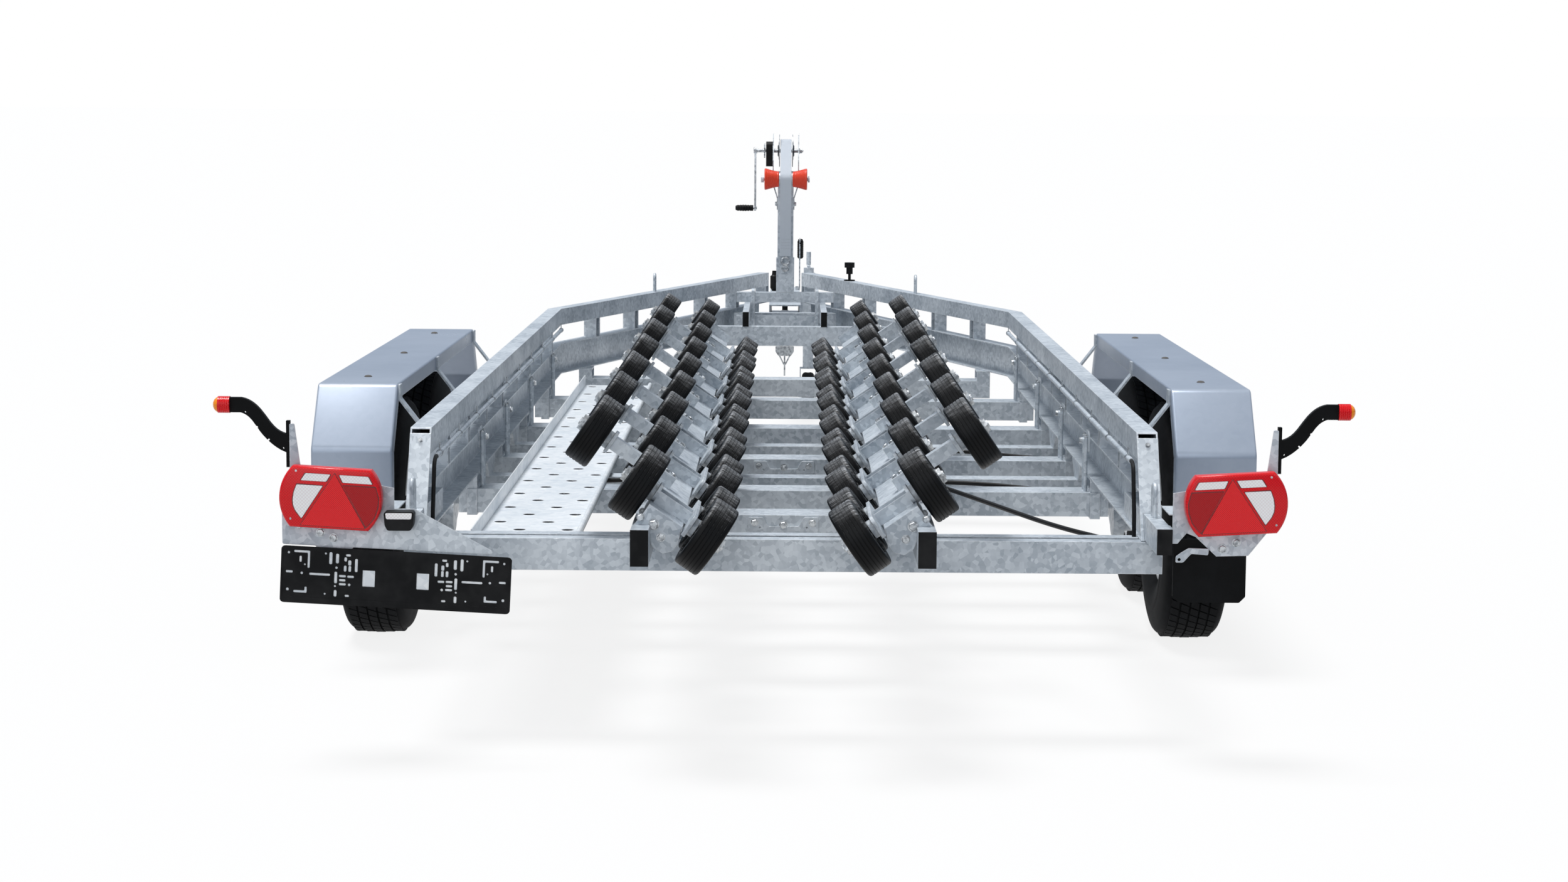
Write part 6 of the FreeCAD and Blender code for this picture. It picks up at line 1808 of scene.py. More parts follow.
@dataclass
class PlateHolder:
    """Black number-plate holder with its moulded slots and windows, in mm from its top left corner."""

    centre_x: float = -0.874
    centre_z: float = 0.415
    station: float = -218.0
    tilt_deg: float = -2.8
    width: float = 0.520
    height: float = 0.130
    thickness: float = 0.008
    corner: float = 0.010
    face: float = 0.0012
    back_inset: float = 0.007
    slot_growth: float = 0.0012
    elbow_width: float = 0.0052
    elbows: tuple[tuple[float, ...], ...] = ((29.0, 12.0, 62.5, 49.0), (30.0, 103.5, 57.5, 92.0))
    slots: tuple[tuple[float, ...], ...] = (
        (44.0, 29.0, 4.0, 12.6), (112.0, 24.0, 6.0, 26.5),
        (127.0, 24.0, 6.0, 21.0), (151.5, 15.5, 10.0, 4.0), (145.5, 25.0, 5.0, 8.5), (155.0, 32.5, 6.0, 11.0),
        (170.0, 37.5, 5.4, 29.0), (145.0, 46.0, 5.0, 12.6), (155.5, 46.0, 5.0, 12.6), (19.5, 59.0, 14.5, 4.0),
        (88.0, 62.0, 46.0, 4.0), (124.5, 67.5, 5.4, 25.5), (139.5, 63.5, 14.5, 4.0), (158.0, 64.0, 14.0, 4.0),
        (139.5, 73.0, 13.4, 4.0), (140.0, 82.0, 14.5, 4.0), (124.5, 103.5, 5.4, 14.0),
        (151.0, 108.0, 8.6, 3.6),
    )
    dots: tuple[tuple[float, ...], ...] = (
        (17.0, 15.5, 2.8), (54.0, 41.0, 2.2), (125.5, 45.0, 3.0), (47.5, 61.0, 3.0), (155.5, 82.5, 3.2),
        (123.5, 87.0, 2.4), (16.5, 99.5, 3.4), (101.0, 106.0, 2.4), (100.5, 14.0, 2.4),
    )
    window: tuple[float, ...] = (199.0, 66.0, 28.0, 37.0)

    def place(self) -> Matrix:
        """Returns its frame: X to the right, Y up and Z to the rear."""
        return rear_frame(self.centre_x, world_y(self.station), self.centre_z, self.tilt_deg)

    def at(self, across_mm: float, down_mm: float, way: int = 1) -> Point:
        """Turns distances from the left and top edges, or the right one if way is -1, into a point."""
        return way * (across_mm * MM - self.width / 2), self.height / 2 - down_mm * MM

    def elbow(self, corners: tuple[float, ...], way: int) -> Outline:
        """Returns the outline of an angled slot.

        Args:
            corners: Where it starts and where it ends, across and down in mm.
            way: 1 for the left half of the holder and -1 for the right.

        Returns:
            The outline, which turns at the end of its level arm.
        """
        start_x, start_y = self.at(*corners[:2])
        end_x, end_y = self.at(*corners[2:])
        half = self.elbow_width / 2
        drop = math.copysign(half, end_y - start_y)
        outline = [
            (start_x, start_y - drop), (end_x + half, start_y - drop), (end_x + half, end_y),
            (end_x - half, end_y), (end_x - half, start_y + drop), (start_x, start_y + drop),
        ]
        return rounded([(way * x, y) for x, y in outline], half * 0.8, 2)

    def outlines(self) -> list[Outline]:
        """Returns the outer outline and every opening, the right half mirrored from the left.

        Returns:
            The outlines, the outer one first.
        """
        a, b = self.width / 2, self.height / 2
        holes = [rounded(box_outline(-a, -b, a, b), self.corner)]
        for way in (1, -1):
            for across, down, width, height in self.slots:
                size = (width * MM + self.slot_growth, height * MM + self.slot_growth)
                holes.append(oblong(self.at(across, down, way), *size))
            holes += [self.elbow(elbow, way) for elbow in self.elbows]
            for across, down, radius in self.dots:
                holes.append(circle(radius * MM, 10, self.at(across, down, way)))
            across, down, width, height = self.window
            x, y = self.at(across, down, way)
            a, b = width * MM / 2, height * MM / 2
            holes.append(rounded(box_outline(x - a, y - b, x + a, y + b), 0.001, 2))
        return holes

    def build(self) -> None:
        """Makes the perforated face, its backing, and raised strips along its foot and ends."""
        place, floor, a, b = self.place(), self.thickness - self.face, self.width / 2, self.height / 2
        raised = place @ Matrix.Translation((0.0, 0.0, floor))
        sheet = cut_sheet("plate_face", self.outlines(), self.face, raised, BLACK_PLASTIC, 0.0002)
        back, rim, c = Mould(), Mould(), self.back_inset
        back.plate(box_outline(c - a, c - b, a - c, b - c), 0.0, floor - 0.0004, place)
        strip = rounded(box_outline(0.004 - a, 0.0015 - b, a - 0.004, 0.0145 - b), 0.004)
        rim.plate(strip, 0.0015, self.thickness + 0.0008, place)
        for x in (0.0025 - a, a - 0.0025):
            end = box_outline(x - 0.0022, 0.006 - b, x + 0.0022, b - 0.006)
            rim.plate(end, 0.0015, self.thickness + 0.0005, place)
        rim.soften(0.0008, 2)
        pieces = [sheet, back.cast("plate_backing", ZINC_TREAD), rim.cast("plate_rim", BLACK_PLASTIC)]
        fit_out(join("number_plate_holder", pieces), "trailer", "plate_surface", "plate_holder")


@dataclass
class MarkerLamps:
    """Marker lamps at the ends of the arms: a red body with a round amber end."""

    end_x: float = 1.283
    centre_z: float = 0.808
    station: float = -207.0
    length: float = 0.038
    radius: float = 0.019
    rib_count: int = 5
    rib_pitch: float = 0.0042

    def build(self) -> None:
        """Makes both lamps, each about its own axis out of the trailer."""
        pieces = []
        long, radius, split = self.length, self.radius, self.length * 0.7
        ribs = [(0.0, 0.0), (0.0, radius)]
        for k in range(self.rib_count):
            z = 0.004 + k * self.rib_pitch
            ribs += [(z, radius), (z + 0.0006, radius - 0.0008), (z + 0.0012, radius)]
        dome = [(split, 0.0), (split, radius - 0.0015), (split + 0.004, radius - 0.003),
                (long - 0.003, radius * 0.62), (long - 0.0005, radius * 0.35), (long - 0.0002, 0.0)]
        for side in Side:
            start = side.point(self.end_x - long, world_y(self.station), self.centre_z)
            place = frame_on(start, side.out)
            red, amber = Mould(), Mould()
            red.lathe(ribs + [(split, radius), (split, 0.0)], 32, place)
            amber.lathe(dome, 32, place)
            pieces += [red.cast("marker_red", LENS_RED), amber.cast("marker_amber", LENS_AMBER)]
        fit_out(join("side_marker_lamps", pieces), "trailer", "marker_light", "marker_lamps")


@dataclass
class PlateLamp:
    """Number-plate lamp: a black rounded housing with a bright lens along its top."""

    centre_x: float = -0.863
    low_z: float = 0.530
    width: float = 0.068
    height: float = 0.043
    depth: float = 0.034
    station: float = -218.0

    def build(self) -> None:
        """Makes the housing and its lens."""
        a, b, deep = self.width / 2, self.height / 2, self.depth
        place = rear_frame(self.centre_x, world_y(self.station), self.low_z + b)
        right = [(a - 0.008, -b), (a - 0.002, -b + 0.012), (a, b - 0.004), (a - 0.004, b)]
        strip = [(a - 0.006, b - 0.0165), (a - 0.004, b - 0.003)]
        housing, lens = Mould(), Mould()
        housing.plate(rounded(mirrored(right), 0.004, 3), 0.0, deep - 0.004, place)
        housing.soften(0.002, 2)
        lens.plate(rounded(mirrored(strip), 0.003, 3), deep - 0.006, deep - 0.001, place)
        lens.soften(0.0015, 2)
        pieces = [housing.cast("lamp_housing", BLACK_PLASTIC), lens.cast("lamp_lens", LENS_CLEAR)]
        fit_out(join("number_plate_lamp", pieces), "trailer", "black_plastic", "plate_lamp")


@dataclass
class Mudguards:
    """Folded sheet mudguards with rolled folds and turned-down lips."""

    centre_x: float = 1.128
    half_width: float = 0.106
    lip: float = 0.040
    thickness: float = 0.003
    fold_radius: float = 0.006
    crease_radius: float = 0.012
    top: float = 0.745
    knee: float = 0.586
    skirt: float = 0.118
    rear: float = 815.0
    front: float = 2940.0
    slant_run: float = 130.0
    rivet_inset: float = 190.0
    middle_rivet: float = 1877.0
    rivet: Shape = ((-0.001, 0.0), (-0.001, 0.011), (0.001, 0.011), (0.004, 0.007), (0.005, 0.0))

    def path(self) -> list[Vector]:
        """Returns the side view of the outer face as Y and Z, with rounded creases.

        Returns:
            The points, from the rear skirt to the front one.
        """
        low, knee, top = self.knee - self.skirt, self.knee, self.top
        corners = [Vector((world_y(station), z)) for station, z in (
            (self.rear, low), (self.rear, knee), (self.rear + self.slant_run, top),
            (self.front - self.slant_run, top), (self.front, knee), (self.front, low),
        )]
        points = [corners[0]]
        for back, here, ahead in zip(corners, corners[1:], corners[2:]):
            points += bend(back, here, ahead, self.crease_radius, 6)
        return points + [corners[-1]]

    def section(self) -> Outline:
        """Returns the cross-section as distance across and depth below the outer face.

        Returns:
            The section, from the left lip over the top to the right one.
        """
        half, r = self.half_width, self.fold_radius
        turns = [math.pi / 2 * k / 5 for k in range(5, -1, -1)]
        fold = [(half - r * (1 - math.cos(t)), r * (1 - math.sin(t))) for t in turns]
        return mirrored(fold + [(half, self.lip)])

    def shell(self, side: Side) -> Piece:
        """Makes one mudguard with its thickness inside the outer face.

        Args:
            side: Side of the trailer.

        Returns:
            The mudguard.
        """
        section, mould, rings = self.section(), Mould(), []
        for point, way in steps_along(self.path()):
            inward, ring = Vector((way.y, -way.x)).normalized(), []
            for inset, part in ((0.0, section), (self.thickness, section[::-1])):
                for across, depth in part:
                    wide = math.copysign(abs(across) - (inset if depth > 1e-6 else 0.0), across)
                    spot = point + inward * (max(depth, inset) if depth < self.fold_radius else depth)
                    ring.append(mould.mesh.verts.new((side.value * self.centre_x + wide, *spot)))
            rings.append(ring)
        mould.sleeve(rings)
        for ring in (rings[0], rings[-1]):
            for k in range(len(section) - 1):
                mould.mesh.faces.new((ring[k], ring[k + 1], ring[-2 - k], ring[-1 - k]))
        return mould.cast(f"mudguard_{side.name.lower()}", ZINC_SHEET, Shade.SOFT)

    def build(self) -> None:
        """Makes both mudguards and the dark rivets along the middle of their tops."""
        shells = [self.shell(side) for side in Side]
        fit_out(join("folded_mudguards", shells), "trailer", "walkway_sheet", "mudguards")
        rivets, reach = Mould(), self.slant_run + self.rivet_inset
        for side in Side:
            for station in (self.rear + reach, self.middle_rivet, self.front - reach):
                spot = side.point(self.centre_x, world_y(station), self.top)
                rivets.lathe(self.rivet, 20, Matrix.Translation(spot))
        fit_out(rivets.cast("mudguard_rivets", CAST_IRON), "trailer", "galvanised_steel")


@dataclass
class SideBeamFittings:
    """Nuts of the U-bolts, and the clips that hold the conduits to the side beams."""

    pattern: Pattern
    fasteners: Fasteners
    clamp_stations: tuple[float, ...] = (1200.0, 1900.0, 2720.0, 3600.0)
    rod_x: float = 0.825
    rod_spread: float = 24.0
    rod_top: float = 0.592
    nut_sink: float = 0.004
    bolt_x: float = 0.816
    bolt_z: float = 0.577
    conduit_x: float = 0.828
    conduit_z: float = 0.648
    conduit_radius: float = 0.007
    clip_half: float = 0.007
    clip_top: float = 0.026
    clip_pitch: float = 420.0
    clip_first: float = 236.0
    clip_count: int = 10
    end_x: float = 0.860
    end_foot: float = 0.478
    end_rise: float = 0.242
    end_run: float = 128.0
    end_station: float = 12.0
    end_bolts: tuple[float, float] = (0.516, 0.690)

    def clip(self) -> Piece:
        """Makes a clip with Z up: a ring round the conduit and a tab above it.

        Returns:
            The clip, about the middle of the conduit.
        """
        mould, half = Mould(), self.clip_half
        inner, outer = self.conduit_radius - 0.0004, self.conduit_radius + 0.0016
        section = box_outline(-half, inner, half, outer)
        along = frame_on(Vector((0.0, 0.0, 0.0)), FORWARDS)
        mould.lathe(section, 14, along)
        mould.plate(box_outline(-0.0012, 0.006, 0.0012, self.clip_top), -half, half, along)
        return mould.cast("conduit_clip_item", PLATED)

    def build(self) -> None:
        """Lays the clips and notes the nuts and bolts of the clamps and of the beams' ends."""
        clip = self.clip()
        spots = []
        for side in Side:
            for i in range(self.clip_count):
                y = world_y(self.clip_first + self.clip_pitch * i)
                spots.append((side.point(self.conduit_x, y, self.conduit_z), UP, 1.0))
            for station in self.clamp_stations:
                for way in (-1, 1):
                    y = world_y(station + way * self.rod_spread)
                    self.fasteners.nut(side.point(self.rod_x, y, self.rod_top - self.nut_sink), UP, 0.5)
                self.fasteners.bolt(side.point(self.bolt_x, world_y(station), self.bolt_z), -side.out, 0.8)
            out = Vector((0.0, -self.end_rise, self.end_run * MM)).normalized()
            for z in self.end_bolts:
                y = world_y(self.end_station + (z - self.end_foot) / self.end_rise * self.end_run)
                self.fasteners.bolt(side.point(self.end_x, y, z) + out * self.nut_sink, out, 0.5)
        fit_out(self.pattern.lay("conduit_clips", clip, spots, PLATED), "trailer", "plated_steel")
        discard(clip)


@dataclass
class CrossmemberFittings:
    """Notched brackets on two crossmembers, each on two round bolts with a hexagon between."""

    fasteners: Fasteners
    stations: tuple[float, ...] = (670.0, 1840.0)
    half_width: float = 0.090
    top: float = 0.4395
    drop: float = 0.040
    lip: float = 0.004
    notch: Shape = ((0.052, -0.004), (0.040, -0.027))
    hole: Point = (0.060, -0.030)
    thickness: float = 0.006
    bolt_x: float = 0.074
    bolt_drop: float = 0.018
    hexagon_z: float = 0.415

    def build(self) -> None:
        """Makes the brackets and notes their bolts."""
        pieces = []
        right = [(self.half_width, -self.drop), (self.half_width, -self.lip), *self.notch]
        outline = mirrored(right)
        holes = [circle(0.0025, 10, (way * self.hole[0], self.hole[1])) for way in (-1, 1)]
        for station in self.stations:
            y = world_y(station)
            place, name = rear_frame(0.0, y, self.top), f"notched_bracket_{int(station)}"
            pieces.append(cut_sheet(name, [rounded(outline, 0.005), *holes], self.thickness, place, ZINC))
            for side in Side:
                spot = side.point(self.bolt_x, y - self.thickness, self.top - self.bolt_drop)
                self.fasteners.bolt(spot, BACKWARDS, 0.8)
            self.fasteners.nut(Vector((0.0, y, self.hexagon_z)), BACKWARDS, 0.9)
        fit_out(join("notched_brackets", pieces), "trailer", "galvanised_steel")


@dataclass
class BrakeRodGuide:
    """Guide of the brake rod under the front crossmember: a tapered plate, a fork and the rod's end."""

    station: float = 5266.0
    top: float = 0.4895
    half_width: float = 0.038
    taper: float = 0.026
    drop: float = 0.040
    fork: float = 0.036
    reach: float = 0.082
    thickness: float = 0.005

    def build(self) -> None:
        """Makes the plate and bends the fork's two legs in to the rod."""
        y, low = world_y(self.station), self.top - self.drop
        right = [(self.taper, -self.drop), (self.half_width, -self.drop * 0.55), (self.half_width, 0.0)]
        steel = Mould()
        steel.plate(rounded(mirrored(right), 0.003, 3), 0.0, self.thickness, rear_frame(0.0, y, self.top))
        y -= self.thickness / 2
        for way in (-1, 1):
            x = way * self.taper * 0.8
            steel.bar([Vector((x, y, low + 0.006)), Vector((x, y, low)),
                       Vector((way * 0.003, y, low - self.fork))], 0.0028, 8)
        steel.bar([Vector((0.0, y, low + 0.004)), Vector((0.0, y, low - self.reach))], 0.0036, 8)
        fit_out(steel.cast("brake_rod_guide", PLATED), "trailer", "galvanised_steel")


@dataclass
class CradleFastenings:
    """Bolts of the cradle: through the brackets, the arms and the feet of the outer arms."""

    fasteners: Fasteners
    rollers: HullRollers
    bracket_half: float = 0.004
    end_station: float = -316.0
    bracket_bolts: tuple[tuple[float, ...], ...] = (
        (0.288, 0.559, 1.0), (0.272, 0.530, 0.8), (0.3165, 0.575, 0.7),
    )
    web_height: float = -0.011
    arm_bolts: tuple[float, ...] = (0.078, 0.110)
    outer_bolts: tuple[float, ...] = (0.122, 0.140)
    outer_top: float = 0.017

    def build(self) -> None:
        """Notes the bolts of every bracket and arm."""
        rolls = self.rollers
        middle, outer = rolls.stations(rolls.middle), rolls.stations(rolls.outer)
        halfway = [station + rolls.pitch / 2 for station in outer]
        for side in Side:
            foot, uphill, square = rolls.slope(side)
            for station in [self.end_station] + middle:
                for x, z, scale in self.bracket_bolts:
                    place = side.point(x, world_y(station) - self.bracket_half, z)
                    self.fasteners.bolt(place, BACKWARDS, scale)
            for stations, offsets, height, scale in (
                (middle, self.arm_bolts, self.web_height, 0.85),
                (halfway, self.outer_bolts, self.outer_top, 0.6),
            ):
                for station in stations:
                    for offset in offsets:
                        place = foot + uphill * offset + square * height + FORWARDS * world_y(station)
                        self.fasteners.bolt(place, square, scale)


@dataclass
class LightBracketFittings:
    """Bolts of the light brackets, and the small bent bracket under the right one."""

    fasteners: Fasteners
    station: float = -218.0
    thickness: float = 0.004
    bolts: tuple[tuple[float, ...], ...] = (
        (-1.0914, 0.534, 0.45), (-1.0435, 0.521, 0.8), (-1.014, 0.509, 0.8), (1.0215, 0.512, 0.8),
        (0.9898, 0.498, 0.8),
    )
    outline: Shape = (
        (0.885, 0.466), (0.902, 0.466), (0.920, 0.486), (0.958, 0.483), (0.960, 0.498), (0.914, 0.499),
        (0.896, 0.488), (0.885, 0.480),
    )
    hole: Point = (0.893, 0.473)

    def build(self) -> None:
        """Makes the small bracket and notes the bolts."""
        y = world_y(self.station)
        outlines = [rounded(self.outline, 0.003), circle(0.0036, 12, self.hole)]
        place = rear_frame(0.0, y, 0.0)
        bracket = cut_sheet("bent_spring_bracket", outlines, self.thickness, place, ZINC)
        fit_out(bracket, "trailer", "galvanised_steel")
        for x, z, scale in self.bolts:
            self.fasteners.bolt(Vector((x, y, z)), BACKWARDS, scale)


@dataclass
class Walkway:
    """Two pressed walkway sheets: an upright outer edge, a rolled inner bead and round grip holes."""

    pattern: Pattern
    outer_x: float = -0.742
    width: float = 0.250
    floor: float = 0.440
    thickness: float = 0.003
    flange: float = 0.040
    bead: float = 0.014
    sections: tuple[tuple[float, float], ...] = ((122.0, 2517.0), (2523.0, 4030.0))
    columns: tuple[float, ...] = (0.034, 0.094, 0.154, 0.212)
    pitch: float = 264.0
    margin: float = 60.0
    hole_radius: float = 0.0150
    collar: float = 0.0050
    rise: float = 0.0016
    depth: float = 0.0090

    def holes(self, start: float, end: float) -> Outline:
        """Returns the places of the grip holes of one sheet, in staggered columns.

        Args:
            start: Station of the sheet's rear edge.
            end: Station of its front edge.

        Returns:
            The middles of the holes, as X and Y.
        """
        places = []
        for column, across in enumerate(self.columns):
            station = start + self.pitch * (0.4 + 0.5 * (column % 2))
            while station < end - self.margin:
                places.append((self.outer_x + across, world_y(station)))
                station += self.pitch
        return places

    def collar_item(self) -> Piece:
        """Makes the pressed rim of one hole, with Z up from the sheet.

        Returns:
            The collar, about the middle of the hole.
        """
        mould, rise = Mould(), self.rise
        inner, outer = self.hole_radius - 0.0005, self.hole_radius + self.collar
        mould.lathe([(-0.001, inner), (rise, inner + 0.0008), (rise, inner + 0.0018),
                     (rise * 0.3, outer - 0.0015), (0.0001, outer), (-0.001, outer - 0.001)], 20)
        return mould.cast("grip_collar_item", ZINC_TREAD)

    def throat_item(self) -> Piece:
        """Makes the wall that the punch drags down below one hole, painted dark partly for its dirt and
        partly as painted shade.

        Returns:
            The wall, about the middle of the hole.
        """
        mould, inner, top = Mould(), self.hole_radius - 0.0008, self.rise - 0.0004
        mould.lathe([(-self.depth, inner - 0.002), (top, inner), (top, inner + 0.001),
                     (-self.depth, inner - 0.0012)], 20)
        return mould.cast("grip_throat_item", SHADED_PUNCHED_EDGE)

    def sheet(self, start: float, end: float, holes: Outline) -> list[Piece]:
        """Makes one sheet with its edges.

        Args:
            start: Station of its rear edge.
            end: Station of its front edge.
            holes: Places of its grip holes.

        Returns:
            The deck and its edges.
        """
        low, high = world_y(start), world_y(end)
        left, right, floor, radius = self.outer_x, self.outer_x + self.width, self.floor, self.bead / 2
        outlines = [box_outline(left, low, right, high)]
        outlines += [circle(self.hole_radius, 14, place) for place in holes]
        flat = Matrix.Translation((0.0, 0.0, floor))
        deck = cut_sheet("deck", outlines, self.thickness, flat, ZINC_TREAD)
        fold = box_outline(left, floor, left + self.thickness, floor + self.flange)
        turns = [math.pi * k / 10 for k in range(11)]
        roll = [(right - radius - radius * math.cos(t), floor + radius + radius * math.sin(t)) for t in turns]
        roll += [(right, floor), (right - self.bead, floor)]
        edge = Mould()
        for outline in (fold, roll):
            along = frame_on(Vector((0.0, low, 0.0)), FORWARDS)
            edge.plate([(-x, z) for x, z in outline], 0.0, high - low, along)
        return [deck, edge.cast("edges", ZINC_TREAD)]

    def build(self) -> None:
        """Makes both sheets and lays the collars."""
        collar, throat = self.collar_item(), self.throat_item()
        sheets, spots = [], []
        for start, end in self.sections:
            holes = self.holes(start, end)
            sheets += self.sheet(start, end, holes)
            spots += [(Vector((x, y, self.floor + self.thickness)), UP, 1.0) for x, y in holes]
        sheets.append(self.pattern.lay("walkway_collars", collar, spots, ZINC_TREAD))
        sheets.append(self.pattern.lay("walkway_throats", throat, spots, SHADED_PUNCHED_EDGE))
        fit_out(join("walkway_plates", sheets), "trailer", "walkway_sheet", "walkway")
        discard(collar, throat)


@dataclass
class BowRoller:
    """Two flared polymer cones on a pin, either side of the post's lug."""

    centre: tuple[float, float, float] = (0.0, 2.0065, 1.165)
    inner: float = 0.0293
    length: float = 0.062
    waist: float = 0.033
    radius: float = 0.046
    bore: float = 0.0081
    ring_count: int = 8
    flare: float = 1.35

    def profile(self) -> Outline:
        """Returns the section of a cone: shallow rings on a flare, and a rounded lip.

        Returns:
            The closed section, as distances out of the middle and radii.
        """
        start, end, wide = self.inner, self.inner + self.length, self.radius
        points = [(start, self.bore), (start, self.waist - 0.002), (start + 0.002, self.waist)]
        for k in range(1, self.ring_count + 1):
            t = k / (self.ring_count + 1)
            radius = self.waist + (wide - self.waist) * t ** self.flare
            z = start + 0.002 + (self.length - 0.008) * t
            points += [(z - 0.0012, radius), (z, radius - 0.0006), (z + 0.0012, radius + 0.0002)]
        return points + [
            (end - 0.004, wide), (end - 0.001, wide - 0.0015), (end, wide - 0.005), (end, wide - 0.010),
            (end - 0.006, wide - 0.013), (end - 0.006, 0.018), (end, 0.016), (end, self.bore),
        ]

    def build(self) -> None:
        """Makes both cones."""
        pieces = []
        for side in Side:
            mould = Mould()
            mould.lathe(self.profile(), 48, frame_on(Vector(self.centre), side.out))
            pieces.append(mould.cast("bow_cone", ORANGE_POLYMER))
        fit_out(join("bow_roller_cones", pieces), "bow_rollers", "bow_roller_plastic", "bow_roller")


@dataclass
class Winch:
    """Hand winch: drum with its wound strap, the strap to the hook, crank, ratchet and hook."""

    fasteners: Fasteners
    axis: tuple[float, float, float] = (0.0, 2.1865, 1.283)
    crank: tuple[float, float, float] = (-0.133, 2.2485, 1.283)
    nose: tuple[float, float] = (2.0065, 1.165)
    post_station: float = 5900.0
    post_half: float = 0.034
    post_bolt: Point = (0.038, 1.055)
    post_bolt_spread: float = 16.0
    foot_nut: Point = (0.018, -0.095)
    plate_outer: float = 0.057
    cover_depth: float = 0.029
    flange_x: float = 0.027
    flange_radius: float = 0.070
    shaft_radius: float = 0.008
    shaft_start: float = -0.047
    core_radius: float = 0.022
    wound_radius: float = 0.050
    strap_width: float = 0.048
    strap_thickness: float = 0.004
    strap_gap: float = 0.012
    slack: float = 0.003
    nose_radius: float = 0.02864
    strap_radius: float = 0.0503
    stitch_rows: int = 4
    stitch_columns: int = 11
    stitch_pitch: float = 0.0035
    hook_z: float = 0.832
    ring_radius: float = 0.016
    bend_radius: float = 0.013
    arm_length: float = 0.250
    arm_half: float = 0.012
    grip_length: float = 0.084
    grip_radius: float = 0.014
    grip_ribs: int = 6
    teeth: int = 14
    tooth_radii: Point = (0.026, 0.032)

    def drum(self) -> Piece:
        """Makes the drum with pressed flanges, and the strap wound on it in rolls.

        Returns:
            The drum with its strap.
        """
        place = frame_on(Vector(self.axis), TO_RIGHT)
        start, end = -self.plate_outer - 0.002, self.plate_outer + 0.012
        shaft, rim = self.shaft_radius, self.flange_radius
        steel, cloth = Mould(), Mould()
        steel.lathe([(start, 0.0), (start, shaft), (end - 0.001, shaft), (end, shaft - 0.001), (end, 0.0)],
                    20, place)
        flange = (
            (0.0, shaft - 0.001), (0.0, rim * 0.55), (0.0, rim - 0.004), (0.0, rim), (0.0015, rim + 0.0002),
            (0.003, rim - 0.001), (0.003, rim * 0.6), (0.005, rim * 0.5), (0.005, self.core_radius + 0.004),
            (0.009, self.core_radius), (0.009, shaft - 0.001),
        )
        for way in (-1, 1):
            steel.lathe([(way * (self.flange_x + z), radius) for z, radius in flange], 48, place)
        half, wound = self.strap_width / 2, self.wound_radius
        right = [(half - 0.003, wound), (half - 0.001, wound - 0.0006), (half, wound - 0.003),
                 (half, self.core_radius - 0.004)]
        cloth.lathe(mirrored(right), 64, place)
        roll = cloth.cast("wound_strap", STRAP)
        self.map_strap(roll.data)
        return join("drum_and_strap", [steel.cast("drum_steel", PLATED), roll])

    def map_strap(self, data: bpy.types.Mesh) -> None:
        """Maps the wound strap in metres: across it along X, and round the axis for its length.

        Args:
            data: Mesh of the piece.
        """
        layer = data.uv_layers.new(name="strap")
        for loop in data.loops:
            point = data.vertices[loop.vertex_index].co
            y, z = point.y - self.axis[1], point.z - self.axis[2]
            layer.data[loop.index].uv = (point.x, math.atan2(z, y) * max(math.hypot(y, z), 0.01))

    def path(self) -> list[Vector]:
        """Returns the strap's inner line as Y and Z: off the drum, round the nose, down to the hook.

        Returns:
            The points, from the drum to the hook.
        """
        drum, nose = Vector(self.axis[1:]), Vector(self.nose)
        run = drum - nose
        way = math.atan2(run.y, run.x) + math.asin((self.strap_radius - self.nose_radius) / run.length)
        normal = Vector((-math.sin(way), math.cos(way)))
        hook = Vector((world_y(self.post_station) - self.post_half - self.strap_gap, self.hook_z))
        fall = hook - nose
        first = math.pi / 2 + way
        last = math.tau + math.atan2(fall.y, fall.x) - math.acos(self.nose_radius / fall.length)
        leave, land = drum + normal * self.strap_radius, nose + normal * self.nose_radius
        points = [leave.lerp(land, k / 8) for k in range(8)]
        turns = [first + (last - first) * k / 12 for k in range(13)]
        points += [nose + Vector((math.cos(t), math.sin(t))) * self.nose_radius for t in turns]
        start = points[-1]
        for t in (k / 24 for k in range(1, 25)):
            points.append(start.lerp(hook, t) + Vector((-self.slack, 0.0)) * math.sin(math.pi * t))
        return points

    def strap(self) -> Piece:
        """Makes the strap as a ribbon with soft edges, mapped along its length.

        Returns:
            The strap.
        """
        half, thick = self.strap_width / 2, self.strap_thickness
        across = [self.strap_width * k / 6 - half for k in range(1, 6)]
        edge = [(half - 0.0008, thick), (half, thick * 0.7), (half, thick * 0.3), (half - 0.0008, 0.0)]
        section = [(-x, d) for x, d in reversed(edge)] + [(x, thick) for x in across]
        section += edge + [(-x, 0.0) for x in across]
        path = self.path()
        mould, rings, places, gone = Mould(), [], {}, 0.0
        for i, (point, way) in enumerate(steps_along(path)):
            out = Vector((way.y, -way.x)).normalized()
            gone += (point - path[i - 1]).length if i else 0.0
            rings.append([mould.mesh.verts.new((x, *(point + out * d))) for x, d in section])
            places |= {vert: (x, gone) for vert, (x, _) in zip(rings[-1], section)}
        along = mould.mesh.loops.layers.uv.new("strap")
        mould.skin(rings)
        for loop in (loop for face in mould.mesh.faces if len(face.verts) == 4 for loop in face.loops):
            loop[along].uv = places[loop.vert]
        return mould.cast("winch_strap_webbing", STRAP)

    def stitches(self) -> Piece:
        """Makes the bar-tacks that close the strap's loop above the hook.

        Returns:
            The stitches, as one piece.
        """
        path, mould = self.path(), Mould()
        for row in range(self.stitch_rows):
            spot = path[-3 - row].lerp(path[-4 - row], 0.5)
            for column in range(self.stitch_columns):
                x = self.stitch_pitch * (column - (self.stitch_columns - 1) / 2)
                place = Matrix.Translation((x, spot.x - self.strap_thickness - 0.0002, spot.y))
                mould.rod(-0.0011, 0.0011, 0.0005, 5, place)
        return mould.cast("strap_stitches", STRAP_THREAD)

